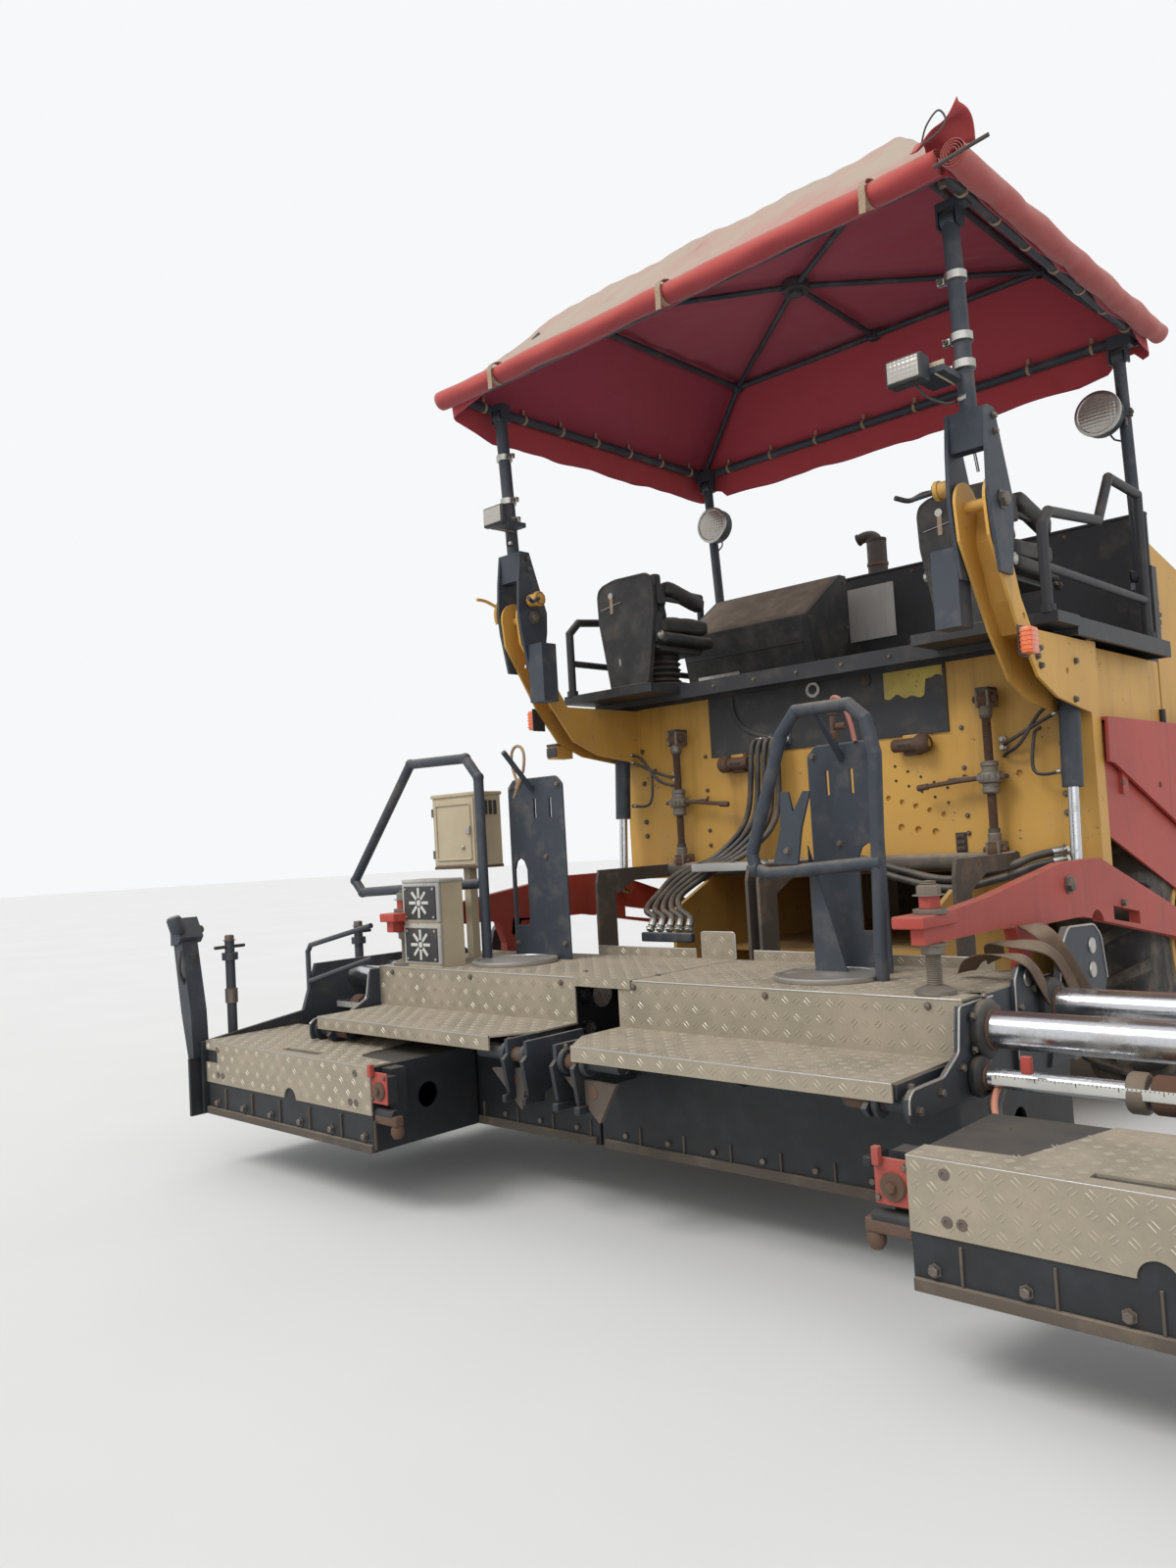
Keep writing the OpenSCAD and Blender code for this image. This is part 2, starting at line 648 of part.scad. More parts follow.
module knuckle(s, e) {
  color("dimgray") place() side(s) {
    translate([kingpin_x, bogie_y + e * bogie_half, 210 + run])
      cylinder(h = 140 - 2 * run, d = 54);
    translate([kingpin_x, bogie_y + e * bogie_half, 190]) cylinder(h = 180, d = 30);
    along_x(kingpin_x, front_x + 70, bogie_y + e * bogie_half, front_d / 2, front_pin_d);
  }
}
module knuckle_left_rear() { knuckle(-1, -1); }
module knuckle_left_front() { knuckle(-1, 1); }
module knuckle_right_rear() { knuckle(1, -1); }
module knuckle_right_front() { knuckle(1, 1); }

module front_wheel(s, e) {
  w = front_w / 2;
  r = front_d / 2;
  b = front_pin_d / 2 + run;
  color([0.12, 0.12, 0.12]) place() side(s)
    spin_x(front_x, bogie_y + e * bogie_half, r) polygon([
      [b, -60], [b, 60], [70, 60], [70, 15], [r - 100, 15], [r - 100, w], [r - 10, w],
      [r, w - 10], [r, 10 - w], [r - 10, -w], [r - 100, -w], [r - 100, -15],
      [70, -15], [70, -60]]);
}
module front_wheel_left_rear() { front_wheel(-1, -1); }
module front_wheel_left_front() { front_wheel(-1, 1); }
module front_wheel_right_rear() { front_wheel(1, -1); }
module front_wheel_right_front() { front_wheel(1, 1); }

module wing(s) {
  color("firebrick") place() side(s) translate([wing_x, 0, wing_z])
    rotate([0, -wing_fold, 0]) {
      difference() {
        union() {
          for (y = [[4175, 4775], [4825, 5475]]) along_y(y[0], y[1], 0, 0, 64);
          section(4175, 4775, [[20, -14], [60, 8], [60, 30], [0, 30]]);
          section(4825, 5475, [[20, -14], [60, 8], [60, 30], [0, 30]]);
          section(3990, 5530, [
            [55, 8], [wing_len, 128], [wing_len + 85, 520], [wing_len + 73, 523],
            [wing_len - 9, 140], [55, 21]]);
        }
        along_y(4100, 5540, 0, 0, wing_pin_d + 2 * run);
      }
    }
}
module wing_left() { wing(-1); }
module wing_right() { wing(1); }

module auger(s) {
  turns = 3.7;
  color("gray") place() side(s) difference() {
    union() {
      along_x(34 + run, 1200, auger_y, auger_z, 90);
      translate([60, auger_y, auger_z]) rotate([0, 90, 0])
        linear_extrude(auger_pitch * turns, twist = -360 * turns, slices = 36)
          translate([0, -9]) square([auger_d / 2, 18]);
    }
    difference() {
      box([832, 0, 0], [862, 3000, 2000]);
      along_x(800, 900, auger_y, auger_z, 90);
    }
  }
}
module auger_left() { auger(-1); }
module auger_right() { auger(1); }

module push_beam() {
  color("firebrick") place() {
    difference() {
      box([-60, nose_y + 10, belly_z + 55 + run], [60, nose_y + 91, belly_z + 200 - run]);
      translate([0, nose_y + 50, 0]) cylinder(h = 1000, d = 50 + 2 * run);
    }
    box([-900, nose_y + 90, belly_z + 55 + run], [900, nose_y + 120, belly_z + 200 - run]);
    both() for (x = [60, 880])
      box([x, nose_y + 119, belly_z + 70], [x + 15, roller_y + 30, belly_z + 170]);
    both() along_x(60, 895, roller_y, belly_z + 120, 40);
  }
}
module push_roller(s) {
  color("dimgray") place() side(s) difference() {
    along_x(80, 875, roller_y, belly_z + 120, roller_d);
    along_x(70, 885, roller_y, belly_z + 120, 40 + 2 * run);
  }
}
module push_roller_left() { push_roller(-1); }
module push_roller_right() { push_roller(1); }

module lift_barrel(s) {
  color([0.16, 0.17, 0.19]) place() side(s) translate([lift_x, barrel_y, barrel_z])
    rotate([lift_tilt, 0, 0]) difference() {
      union() {
        translate([0, 0, -410]) cylinder(h = 400, d = barrel_d);
        along_x(-38, 38, 0, 0, 60);
      }
      along_x(-45, 45, 0, 0, 36 + 2 * run);
      translate([0, 0, -411]) cylinder(h = 350, d = rod_d + 2 * run);
    }
}
module lift_barrel_left() { lift_barrel(-1); }
module lift_barrel_right() { lift_barrel(1); }

module lift_rod(s) {
  color("silver") place() side(s) translate([lift_x, barrel_y, barrel_z])
    rotate([lift_tilt, 0, 0]) difference() {
      union() {
        translate([0, 0, -lift_len + 20]) cylinder(h = lift_len - 190, d = rod_d);
        translate([-25, 0, -lift_len]) rotate([0, 90, 0]) cylinder(h = 50, d = 76);
      }
      translate([-30, 0, -lift_len]) rotate([0, 90, 0]) cylinder(h = 60, d = 38 + 2 * slot);
    }
}
module lift_rod_left() { lift_rod(-1); }
module lift_rod_right() { lift_rod(1); }

module tow_arms() {
  color("firebrick") place() both() difference() {
    union() {
      profile(arm_x, arm_x + arm_t, [
        [-20, 906], [430, 906], [700, 890], [1109, 885], [2077, 722], [3300, 420],
        [3420, 400], [tow_y + 40, 390], [tow_y + 85, tow_z], [tow_y + 40, 550],
        [3400, 560], [2107, 837], [1306, 1074], [973, 1075], [398, 1005], [-20, 972]]);
      profile(arm_x, arm_x + arm_t, [[560, 900], [600, 800], [600, box_z], [660, box_z],
                                     [660, 800], [700, 900]]);
      along_x(lift_x - 35, arm_x + 1, eye_y, eye_z, 38);
      translate([arm_x + arm_t / 2, 60, walk_z + run]) cylinder(h = 290, d = 38);
      translate([arm_x + arm_t / 2, 60, 1000]) cylinder(h = 34, d = 64, $fn = 6);
    }
    along_x(arm_x - 1, arm_x + arm_t + 1, tow_y, tow_z, tow_pin_d + 2 * run);
    profile(arm_x - 1, arm_x + arm_t + 1, [[1405, 898], [1675, 855], [1675, 808],
                                          [1405, 848]]);
    along_x(arm_x - 1, arm_x + arm_t + 1, 1240, 832, 130);
  }
}

TUBES = [
  // side, distance from the riser, height, diameter, wall round it
  [1, 76, tube_z, tube_d, 18],
  [1, 525, tube_z, tube_d, 18],
  [1, 20, tube_z - 115, ram_d, 10],
  [-1, 200, tube_z, tube_d, 18],
  [-1, 395, tube_z, tube_d, 18],
  [-1, 130, tube_z - 115, ram_d, 10]];
function tubes_of(s) = [for (t = TUBES) if (t[0] == s) t];
module screed_half_frame(s) {
  w = screed_half;
  side(s) {
    difference() {
      profile(6, w, [[-60, sole_z], [box_front_y - 20, sole_z], [box_front_y, sole_z + 40],
                     [box_front_y, box_z], [-60, box_z]]);
      profile(18, w - 12, [[-44, sole_z + 30], [box_front_y - 16, sole_z + 45],
                           [box_front_y - 16, box_z - 16], [-44, box_z - 16]]);
      along_x(w - 20, w + 1, 300, 380, 90);
    }
    difference() {
      union() {
        for (x = [288, w - 12]) profile(x, x + 12, [
          [-50, box_z - 1], [-50, step_z - tread_t], [run, step_z - tread_t],
          [run, walk_z - tread_t], [590, walk_z - tread_t], [590, box_z - 1]]);
        for (t = tubes_of(s)) {
          along_x(288, w, t[1], t[2], t[3] + 2 * t[4]);
          along_x(w, w + 20, t[1], t[2], t[3] + 2 * t[4] + 14);
        }
        profile(w, w + 12, [[-338, 517], [-345, 540], [-345, 575], [-322, 594],
                            [-160, 594], [-70, 640], [-50, 755], [150, 755], [150, 517]]);
        profile(w, w + 12, [[290, box_z - 20], [300, 780], [330, 815], [430, 815],
                            [475, 785], [500, 700], [500, box_z - 20]]);
        profile(w, w + 22, [[490, box_z - 20], [590, 700], [640, 850], [690, 890],
                            [900, 880], [955, 840], [985, 700], [950, 640], [670, 560],
                            [670, box_z - 20]]);
      }
      for (t = tubes_of(s)) along_x(200, w + 30, t[1], t[2], t[3] + 2 * run);
      for (p = [[870, 815], [862, 740], [385, 775]]) along_x(w - 1, w + 30, p[0], p[1], 34);
    }
    for (x = [700, w - 40]) profile(x, x + 12, [
      [-59, box_z - 1], [-59, step_z - tread_t], [-325, step_z - tread_t],
      [-325, step_z - 40], [-220, box_z]]);
    for (x = [60, 150, w - 120]) profile(x, x + 15, [
      [-59, x > 1000 ? 517 : box_z - 60], [-59, step_z - tread_t],
      [-325, step_z - tread_t], [-325, 557], [-345, 540], [-325, x > 1000 ? 517 : 430], [-290, x > 1000 ? 517 : 400],
      [-250, x > 1000 ? 517 : 430], [-150, x > 1000 ? 517 : box_z - 60]]);
    along_x(60, 320, -290, 550, 44);
    along_x(w - 190, w + 10, -290, 550, 44);
  }
}
module screed_frame() {
  color([0.17, 0.19, 0.22]) place() {
    screed_half_frame(1);
    screed_half_frame(-1);
    box([-7, 100, 300], [7, 600, 500]);
  }
}

module walkway(s) {
  inner = s > 0 ? 60 : 142;
  lip = s > 0 ? 150 : 232;
  top = s > 0 ? 126 : -120;
  outer = screed_half;
  kerb = s > 0 ? [200, 1107] : [66, 575];
  color("silver") place() side(s) {
    difference() {
      box([top, 0, walk_z - tread_t], [outer, walk_depth, walk_z]);
      translate([0, 0, walk_z - tread_t - 1]) linear_extrude(tread_t + 2) {
        polygon([[outer - 35, walk_depth + 1], [outer + 1, walk_depth - 60],
                 [outer + 1, walk_depth + 1]]);
        polygon([[outer + 1, 95], [outer - 45, 95], [outer - 45, 150], [outer + 1, 175]]);
      }
    }
    box([inner, -tread_t, step_z - tread_t], [outer, 0, walk_z - (s > 0 ? tread_t + run : 0)]);
    if (s > 0) box([top, -tread_t, walk_z - 2 * tread_t], [outer, 0, walk_z]);
    if (s < 0) box([top, -12.4, walk_z - 30], [inner, -tread_t - run, walk_z]);
    if (s < 0) box([top, -tread_t - 1, walk_z - tread_t], [inner, 0, walk_z]);
    translate([0, 0, step_z - tread_t]) linear_extrude(tread_t) polygon([
      [inner, -1], [inner, -190], [lip, -step_depth], [outer - 35, -step_depth],
      [outer - 35, -30], [outer, -1]]);
    box([lip, -step_depth - tread_t, step_z - 48],
        [outer - 35, -step_depth + 1, step_z]);
    box([kerb[0], walk_depth - tread_t, walk_z - 1], [kerb[1], walk_depth, walk_z + 34]);
    if (s < 0) box([-118, walk_depth - tread_t, walk_z - 1], [38, walk_depth, walk_z + 100]);
  }
}
module walkway_left() { walkway(-1); }
module walkway_right() { walkway(1); }

module rack(s, plate, loop, knob) {
  side(s) {
    difference() {
      translate([719, 250, walk_z]) cylinder(h = 16, d = 340);
      translate([719, 250, walk_z + 5]) cylinder(h = 20, d = 300);
    }
    difference() {
      section(400, 412, [
        [plate[0], walk_z], [plate[0], 1470], [plate[0] + 30, 1500], [plate[1] - 30, 1500],
        [plate[1], 1470], [plate[1], walk_z]]);
      section(399, 413, [[plate[1] - 90, 900], [plate[1] - 90, 1130], [plate[1] - 75, 1165],
        [plate[1] - 50, 1180], [plate[1] - 25, 1165], [plate[1] - 12, 1130],
        [plate[1] - 12, 900]]);
      for (x = [plate[0] + 60, plate[0] + 150])
        box([x, 399, 1340], [x + 14, 413, 1420]);
    }
    pipe(loop, 42, knob);
    rod([725, 250, 1610], [725, 406, 1450], 22);
  }
}
module gas_rack_right() {
  color([0.2, 0.22, 0.25]) place() {
    rack(1, [600, 850], [
      [905, 250, walk_z], [905, 250, 850], [930, 250, 1450], [905, 250, 1560],
      [850, 250, 1610], [660, 250, 1610], [600, 250, 1540], [458, 250, 1160],
      [470, 250, 1110], [520, 250, 1095], [915, 250, 1121]], 1);
    section(300, 306, [[640, walk_z], [640, 1180], [760, walk_z]]);
  }
}
module gas_rack_left() {
  color([0.2, 0.22, 0.25]) place() rack(-1, [560, 870], [
    [885, 250, walk_z], [885, 250, 1520], [960, 250, 1605], [1330, 250, 1612],
    [1785, 250, 1110], [1730, 250, 1055], [895, 250, 1085]], 5);
}

module screed_cabinet() {
  color("beige") place() {
    box([-1240, 290, 1150], [-960, 430, 1460]);
    box([-1120, 345, walk_z], [-1080, 385, 1151]);
    box([-1135, 30, walk_z], [-905, 150, 1110]);
  }
}

module extension(s, out) {
  e = end_plate_x;
  color([0.15, 0.17, 0.2]) place() side(s) translate([out, 0, 0]) {
    difference() {
      profile(180, e, [[-ext_rear, sole_z], [-75, sole_z], [-75, ext_z - 30],
                       [-100, ext_z], [-ext_rear, ext_z]]);
      profile(192, e, [[16 - ext_rear, sole_z + 30], [-91, sole_z + 30], [-91, ext_z - 37],
                       [-107, ext_z - 16], [16 - ext_rear, ext_z - 16]]);
      along_x(179, 193, -300, 370, 90);
    }
    difference() {
      profile(e, e + end_plate_t, [
        [-ext_rear - 20, sole_z], [640, sole_z], [640, 420], [600, walk_z - 6],
        [-10, walk_z - 6], [-80, ext_z + 60], [-ext_rear - 20, ext_z]]);
      along_x(e - 1, e + end_plate_t + 1, 300, 560, 90);
    }
    for (y = [-400, 250]) {
      box([e + end_plate_t - 1, y - 30, 300],
          [e + end_plate_t + gate_gap + 1, y + 30, 420]);
      translate([e + end_plate_t + gate_gap + 6, y, 400]) cylinder(h = 500, d = 40);
      translate([e + end_plate_t + gate_gap + 6, y, 820]) cylinder(h = 30, d = 66);
    }
    difference() {
      box([end_x - gate_t, -ext_rear - 60, sole_z - 10], [end_x, 720, 440]);
      for (y = [-260, 140]) for (z = [280, 380])
        along_x(end_x - gate_t - 1, end_x + 1, y, z, 18);
    }
    section(-ext_rear - 50, -ext_rear + 20, [
      [end_x - 15, 380], [end_x, 380], [end_x + 60, 620], [end_x + 105, 900],
      [end_x + 35, 912], [end_x - 20, 630], [end_x - 30, 441], [end_x - 15, 441]]);
    section(-ext_rear - 60, -ext_rear + 40, [
      [end_x + 20, 930], [end_x + 44, 905], [end_x + 110, 895], [end_x + 110, 950],
      [end_x + 70, 1010]]);
    box([98, -535, 390], [181, -495, 480]);
    box([120, -500, 330], [181, -440, 500]);
    along_x(80, 181, -515, 350, 42);
  }
}
module end_rail(out) {
  x = -end_plate_x - end_plate_t / 2 - out;
  color([0.15, 0.17, 0.2]) place() {
    pipe([[x, -42, 560], [x, -42, 815], [x + 25, -42, 845], [x + 480, -42, 935],
          [x + 480, -42, 800], [x + 25, -42, 690], [x, -42, 684]], 22);
  }
}
module extension_left() {
  extension(-1, out_left);
  end_rail(out_left);
}
module extension_right() { extension(1, out_right); }

module tubes(s, out) {
  color("silver") place() side(s) translate([out, 0, 0])
    for (t = tubes_of(s)) along_x(screed_half - 1500, end_plate_x, t[1], t[2], t[3]);
}
module tubes_left() { tubes(-1, out_left); }
module tubes_right() { tubes(1, out_right); }

module cover(s, out) {
  color("silver") place() side(s) translate([out, 0, 0]) difference() {
    union() {
      translate([0, 0, ext_z]) linear_extrude(tread_t) polygon([
        [180, -ext_rear], [180, -455], [395, -440], [480, -110], [end_plate_x, -110],
        [end_plate_x, -ext_rear]]);
      box([180, -ext_rear - tread_t, ext_z - 160], [end_plate_x, -ext_rear, ext_z + tread_t]);
    }
    box([560, -506, ext_z - 1], [800, -472, ext_z + 20]);
    box([end_plate_x - 90, -ext_rear - 20, ext_z - 80],
        [end_plate_x + 1, -ext_rear + 1, ext_z - 30]);
    along_y(-ext_rear - 20, -ext_rear + 1, 690, ext_z - 160, 80);
  }
}
module cover_left() { cover(-1, out_left); }
module cover_right() { cover(1, out_right); }

chassis();
fenders();
rear_axle();
rear_body();
platform();
hood();
hood_lid();
engine();
side_cowls();
hopper_back();
conveyor();
canopy_arms();
auger_frame();
guard_rails();
hoses();
console();
seat_left();
seat_right();
rear_posts();
roof_frame();
canopy_cloth();
front_posts();
rear_rim_left();
rear_rim_right();
rear_tyre_left();
rear_tyre_right();
bogie_left();
bogie_right();
knuckle_left_rear();
knuckle_left_front();
knuckle_right_rear();
knuckle_right_front();
front_wheel_left_rear();
front_wheel_left_front();
front_wheel_right_rear();
front_wheel_right_front();
wing_left();
wing_right();
auger_left();
auger_right();
push_beam();
push_roller_left();
push_roller_right();
lift_barrel_left();
lift_barrel_right();
lift_rod_left();
lift_rod_right();
tow_arms();
screed_frame();
walkway_left();
walkway_right();
gas_rack_left();
gas_rack_right();
screed_cabinet();
extension_left();
extension_right();
tubes_left();
tubes_right();
cover_left();
cover_right();
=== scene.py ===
"""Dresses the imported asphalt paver: stage, finishes, and the pieces that the CAD leaves plain.

Lengths in the classes are millimetres of the machine's own drawing: x to the right from the
centre plane, y forwards from the riser of the screed's walkway, z up from the ground. The
function metres() turns them into Blender's frame.
"""

import json
import logging
import math
from dataclasses import dataclass, field
from enum import Enum
from typing import Optional, Sequence, Union

import bmesh
import bpy
import numpy as np
from mathutils import Matrix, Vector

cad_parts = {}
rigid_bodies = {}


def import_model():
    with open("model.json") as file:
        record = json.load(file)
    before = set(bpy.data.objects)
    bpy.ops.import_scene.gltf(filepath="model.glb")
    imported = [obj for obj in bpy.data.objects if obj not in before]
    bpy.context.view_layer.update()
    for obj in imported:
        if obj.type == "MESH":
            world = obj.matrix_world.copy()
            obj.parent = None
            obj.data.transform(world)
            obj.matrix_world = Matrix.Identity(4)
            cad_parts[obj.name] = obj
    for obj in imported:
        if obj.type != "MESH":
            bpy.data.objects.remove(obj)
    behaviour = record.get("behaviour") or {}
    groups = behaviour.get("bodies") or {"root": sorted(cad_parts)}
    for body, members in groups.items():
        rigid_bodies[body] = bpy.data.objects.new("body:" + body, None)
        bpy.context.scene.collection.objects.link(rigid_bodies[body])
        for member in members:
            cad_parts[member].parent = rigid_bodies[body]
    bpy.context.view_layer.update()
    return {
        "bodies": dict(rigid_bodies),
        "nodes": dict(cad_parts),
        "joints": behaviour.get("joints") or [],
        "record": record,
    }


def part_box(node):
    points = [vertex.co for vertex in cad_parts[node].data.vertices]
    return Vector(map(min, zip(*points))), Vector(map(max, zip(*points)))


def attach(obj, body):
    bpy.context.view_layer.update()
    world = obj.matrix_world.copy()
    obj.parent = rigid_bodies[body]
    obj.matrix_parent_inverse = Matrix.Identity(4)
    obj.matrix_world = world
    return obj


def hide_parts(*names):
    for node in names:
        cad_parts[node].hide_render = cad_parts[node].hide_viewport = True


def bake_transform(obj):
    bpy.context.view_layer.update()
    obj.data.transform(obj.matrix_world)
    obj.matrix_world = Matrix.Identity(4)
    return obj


LOG = logging.getLogger("paver")
Number = Union[int, float]
Triple = Sequence[float]
Pair = tuple[float, float]

X_MID, Y_MID = 385.0, 2617.5
RIGHT, AHEAD, UP = (1.0, 0.0, 0.0), (0.0, 1.0, 0.0), (0.0, 0.0, 1.0)
BACK, DOWN = (0.0, -1.0, 0.0), (0.0, 0.0, -1.0)
SIDES = (("left", -1), ("right", 1))
# Each side with the distance that its extension stands out at rest.
EXTENDED = (("left", -1, 430.0), ("right", 1, 1200.0))
REAR_WALL_Y = 1470.0
SMOOTH_BELOW = 35.0
THREAD_STEP = 3.0


def metres(points: Sequence) -> np.ndarray:
    """Turns drawing millimetres into Blender metres: less the middle of the box, over 1000.

    Args:
        points: one point or an array of points, in drawing millimetres.
    Returns:
        The same points in metres in the shared frame.
    """
    return (np.asarray(points, float) - np.array([X_MID, Y_MID, 0.0])) / 1000.0


# ---------------------------------------------------------------- shader graphs


class Wire:
    """A shader socket on which Python's operators add Math nodes."""

    def __init__(self, graph: "Graph", socket: Optional[bpy.types.NodeSocket]) -> None:
        """Keeps the graph and the output socket, which an output node hasn't got."""
        self.graph, self.socket = graph, socket

    def _math(self, operation: str, a: Union["Wire", Number], b: Union["Wire", Number]) -> "Wire":
        """Adds one Math node for operation on a and b."""
        return self.graph.add("ShaderNodeMath", {"operation": operation}, {0: a, 1: b})

    def __add__(self, other: Union["Wire", Number]) -> "Wire":
        """Sum."""
        return self._math("ADD", self, other)

    __radd__ = __add__

    def __sub__(self, other: Union["Wire", Number]) -> "Wire":
        """Difference."""
        return self._math("SUBTRACT", self, other)

    def __rsub__(self, other: Union["Wire", Number]) -> "Wire":
        """Difference, reflected."""
        return self._math("SUBTRACT", other, self)

    def __mul__(self, other: Union["Wire", Number]) -> "Wire":
        """Product."""
        return self._math("MULTIPLY", self, other)

    __rmul__ = __mul__

    def max(self, other: Union["Wire", Number]) -> "Wire":
        """The larger of the two."""
        return self._math("MAXIMUM", self, other)

    def sine(self) -> "Wire":
        """Sine of the value in radians."""
        return self._math("SINE", self, 0.0)

    def step(self, low: float, high: float) -> "Wire":
        """Smooth step: 0 below low, 1 above high, an s-curve between them."""
        settings = {"interpolation_type": "SMOOTHSTEP"}
        return self.graph.add("ShaderNodeMapRange", settings, {0: self, 1: low, 2: high, 3: 0.0,
                                                               4: 1.0})


class Graph:
    """The node tree of one material, or of a world."""

    def __init__(self, name: str, world: Optional[bpy.types.World] = None) -> None:
        """Takes the world, or makes a material of that name, and empties its tree.

        Args:
            name: the name.
            world: the world, if it isn't a material's tree.
        """
        self.owner = world or bpy.data.materials.new(name)
        self.owner.use_nodes = True
        self.tree = self.owner.node_tree
        self.tree.nodes.clear()

    def add(self, kind: str, settings: Optional[dict] = None, inputs: Optional[dict] = None,
            out: Union[int, str] = 0) -> Wire:
        """Adds a node, sets it up, and fills its sockets.

        Args:
            kind: the node's type name.
            settings: its properties.
            inputs: socket name or number to a value or a Wire.
            out: the output socket wanted.
        Returns:
            The output as a Wire; an output node's Wire has no socket.
        """
        node = self.tree.nodes.new(kind)
        for key, value in (settings or {}).items():
            setattr(node, key, value)
        for key, value in (inputs or {}).items():
            if isinstance(value, Wire):
                self.tree.links.new(value.socket, node.inputs[key])
            else:
                node.inputs[key].default_value = value
        return Wire(self, node.outputs[out] if len(node.outputs) else None)

    def place(self, scale: Triple = (1.0, 1.0, 1.0)) -> Wire:
        """Object coordinates in metres, stretched by scale.

        Args:
            scale: stretch along x, y and z.
        Returns:
            The result.
        """
        spot = self.add("ShaderNodeTexCoord", out="Object")
        if tuple(scale) == (1.0, 1.0, 1.0):
            return spot
        return self.add("ShaderNodeMapping", {}, {"Vector": spot, "Scale": tuple(scale)})

    def noise(self, scale: float, detail: float = 4.0, rough: float = 0.55,
              stretch: Triple = (1.0, 1.0, 1.0), seed: float = 0.0) -> Wire:
        """Fractal noise from 0 to 1 with `scale` blobs to the metre.

        Args:
            scale: blobs to the metre.
            detail: number of finer layers.
            rough: strength of the finer layers.
            stretch: stretch of the place along x, y and z.
            seed: shifts the pattern.
        Returns:
            The result.
        """
        vector = self.place(stretch)
        if seed:
            vector = self.add("ShaderNodeVectorMath", {"operation": "ADD"},
                              {0: vector, 1: (seed, seed * 0.7, seed * 1.3)})
        return self.add("ShaderNodeTexNoise", {"noise_dimensions": "3D"},
                        {"Vector": vector, "Scale": scale, "Detail": detail, "Roughness": rough})

    def facing_up(self) -> Wire:
        """The z part of the surface normal, 1 on a floor and -1 on a ceiling."""
        normal = self.add("ShaderNodeNewGeometry", out="Normal")
        return self.add("ShaderNodeSeparateXYZ", {}, {0: normal}, 2)

    def part(self, axis: int) -> Wire:
        """One coordinate, 0 to 2, of the place in metres."""
        return self.add("ShaderNodeSeparateXYZ", {}, {0: self.place()}, axis)

    def mix(self, factor: Union[Wire, Number], a: Union[Wire, Triple],
            b: Union[Wire, Triple]) -> Wire:
        """Colour between a and b.

        Args:
            factor: 0 for a, 1 for b.
            a: first colour.
            b: second colour.
        Returns:
            The result.
        """
        wide = [v if isinstance(v, Wire) else (*v, 1.0) for v in (a, b)]
        return self.add("ShaderNodeMix", {"data_type": "RGBA", "clamp_factor": True},
                        {0: factor, 6: wide[0], 7: wide[1]}, 2)

    def bump(self, height: Wire, distance: float, strength: float = 1.0) -> Wire:
        """Normal bent by height, where 1 stands `distance` metres high."""
        return self.add("ShaderNodeBump", {}, {"Height": height, "Distance": distance,
                                               "Strength": strength})

    def shade(self, base: Union[Wire, Triple], rough: Union[Wire, Number],
              metal: Union[Wire, Number] = 0.0, normal: Optional[Wire] = None,
              **fixed: float) -> bpy.types.Material:
        """Ends the graph in one Principled shader.

        Args:
            base: base colour.
            rough: roughness.
            metal: metallic share.
            normal: bent normal, if any.
            fixed: other sockets by name with _ for a space, as plain values.
        Returns:
            The finished material.
        """
        inputs: dict = {"Base Color": base if isinstance(base, Wire) else (*base, 1.0),
                        "Roughness": rough, "Metallic": metal}
        if normal is not None:
            inputs["Normal"] = normal
        for key, value in fixed.items():
            inputs[key.replace("_", " ")] = value
        surface = self.add("ShaderNodeBsdfPrincipled", {}, inputs)
        self.add("ShaderNodeOutputMaterial", {}, {"Surface": surface})
        return self.owner


# --------------------------------------------------------------------- finishes

DUST = (0.36, 0.29, 0.21)
RUST = (0.16, 0.065, 0.03)


@dataclass(frozen=True)
class Paint:
    """Sprayed paint after years on site: uneven tone, dirt streaks, dust, chips to rust, and where
    set, painted shade low down.
    """

    name: str
    color: Triple
    shade: Triple
    dust: float = 0.5
    chips: float = 0.5
    rough: float = 0.5
    # strength of the painted shade near the ground; it also thins the dust low down
    low_shade: float = 0.0

    def build(self) -> bpy.types.Material:
        """Tone, dirt, dust, chips and painted low shade, one over the other.

        The tone is a slow noise, streaks are a noise drawn out in height, dust lies where the
        normal points up and low down, chips are the peaks of two noises, and painted shade darkens
        the lowest part.

        Returns:
            The material.
        """
        g = Graph(self.name)
        tone = g.noise(1.7, 5.0)
        grime = g.noise(9.0, 7.0, 0.62)
        streak = g.noise(11.0, 4.0, 0.6, (1.0, 1.0, 0.09))
        speck = g.noise(70.0, 3.0, 0.6)
        up = g.facing_up()
        base = g.mix(tone.step(0.3, 0.72), self.color, self.shade)
        base = g.mix(streak.step(0.5, 0.78) * 0.4, base, tuple(0.45 * c for c in self.shade))
        lying = up.step(0.35, 0.95) * (0.45 + grime.step(0.3, 0.6) * 0.55)
        hanging = grime.step(0.48, 0.72) * 0.35
        low = (1.0 - g.part(2).step(0.2, 1.5)) * (0.3 - 0.3 * self.low_shade)
        film = (lying + hanging + low) * self.dust
        base = g.mix(film, base, DUST)
        chip = (speck * 0.45 + grime * 0.55).step(0.66 - 0.07 * self.chips,
                                                  0.69 - 0.06 * self.chips)
        base = g.mix(chip * min(1.0, 0.3 + self.chips), base, RUST)
        rough = self.rough + film * 0.4 + chip * 0.3 + tone * 0.08
        height = grime * 0.4 + speck * 0.25 - chip * 0.5
        # painted shade: below about half a metre the colour goes nearly black, darker towards the
        # bottom
        if self.low_shade > 0.0:
            pitch = (1.0 - g.part(2).step(0.42, 0.66)) * (0.75 + grime.step(0.35, 0.6)
                                                          * 0.25) * self.low_shade
            base = g.mix(pitch, base, (0.007, 0.007, 0.008))
        return g.shade(base, rough, 0.0, g.bump(height, 0.0012, 0.6), Specular_IOR_Level=0.45)


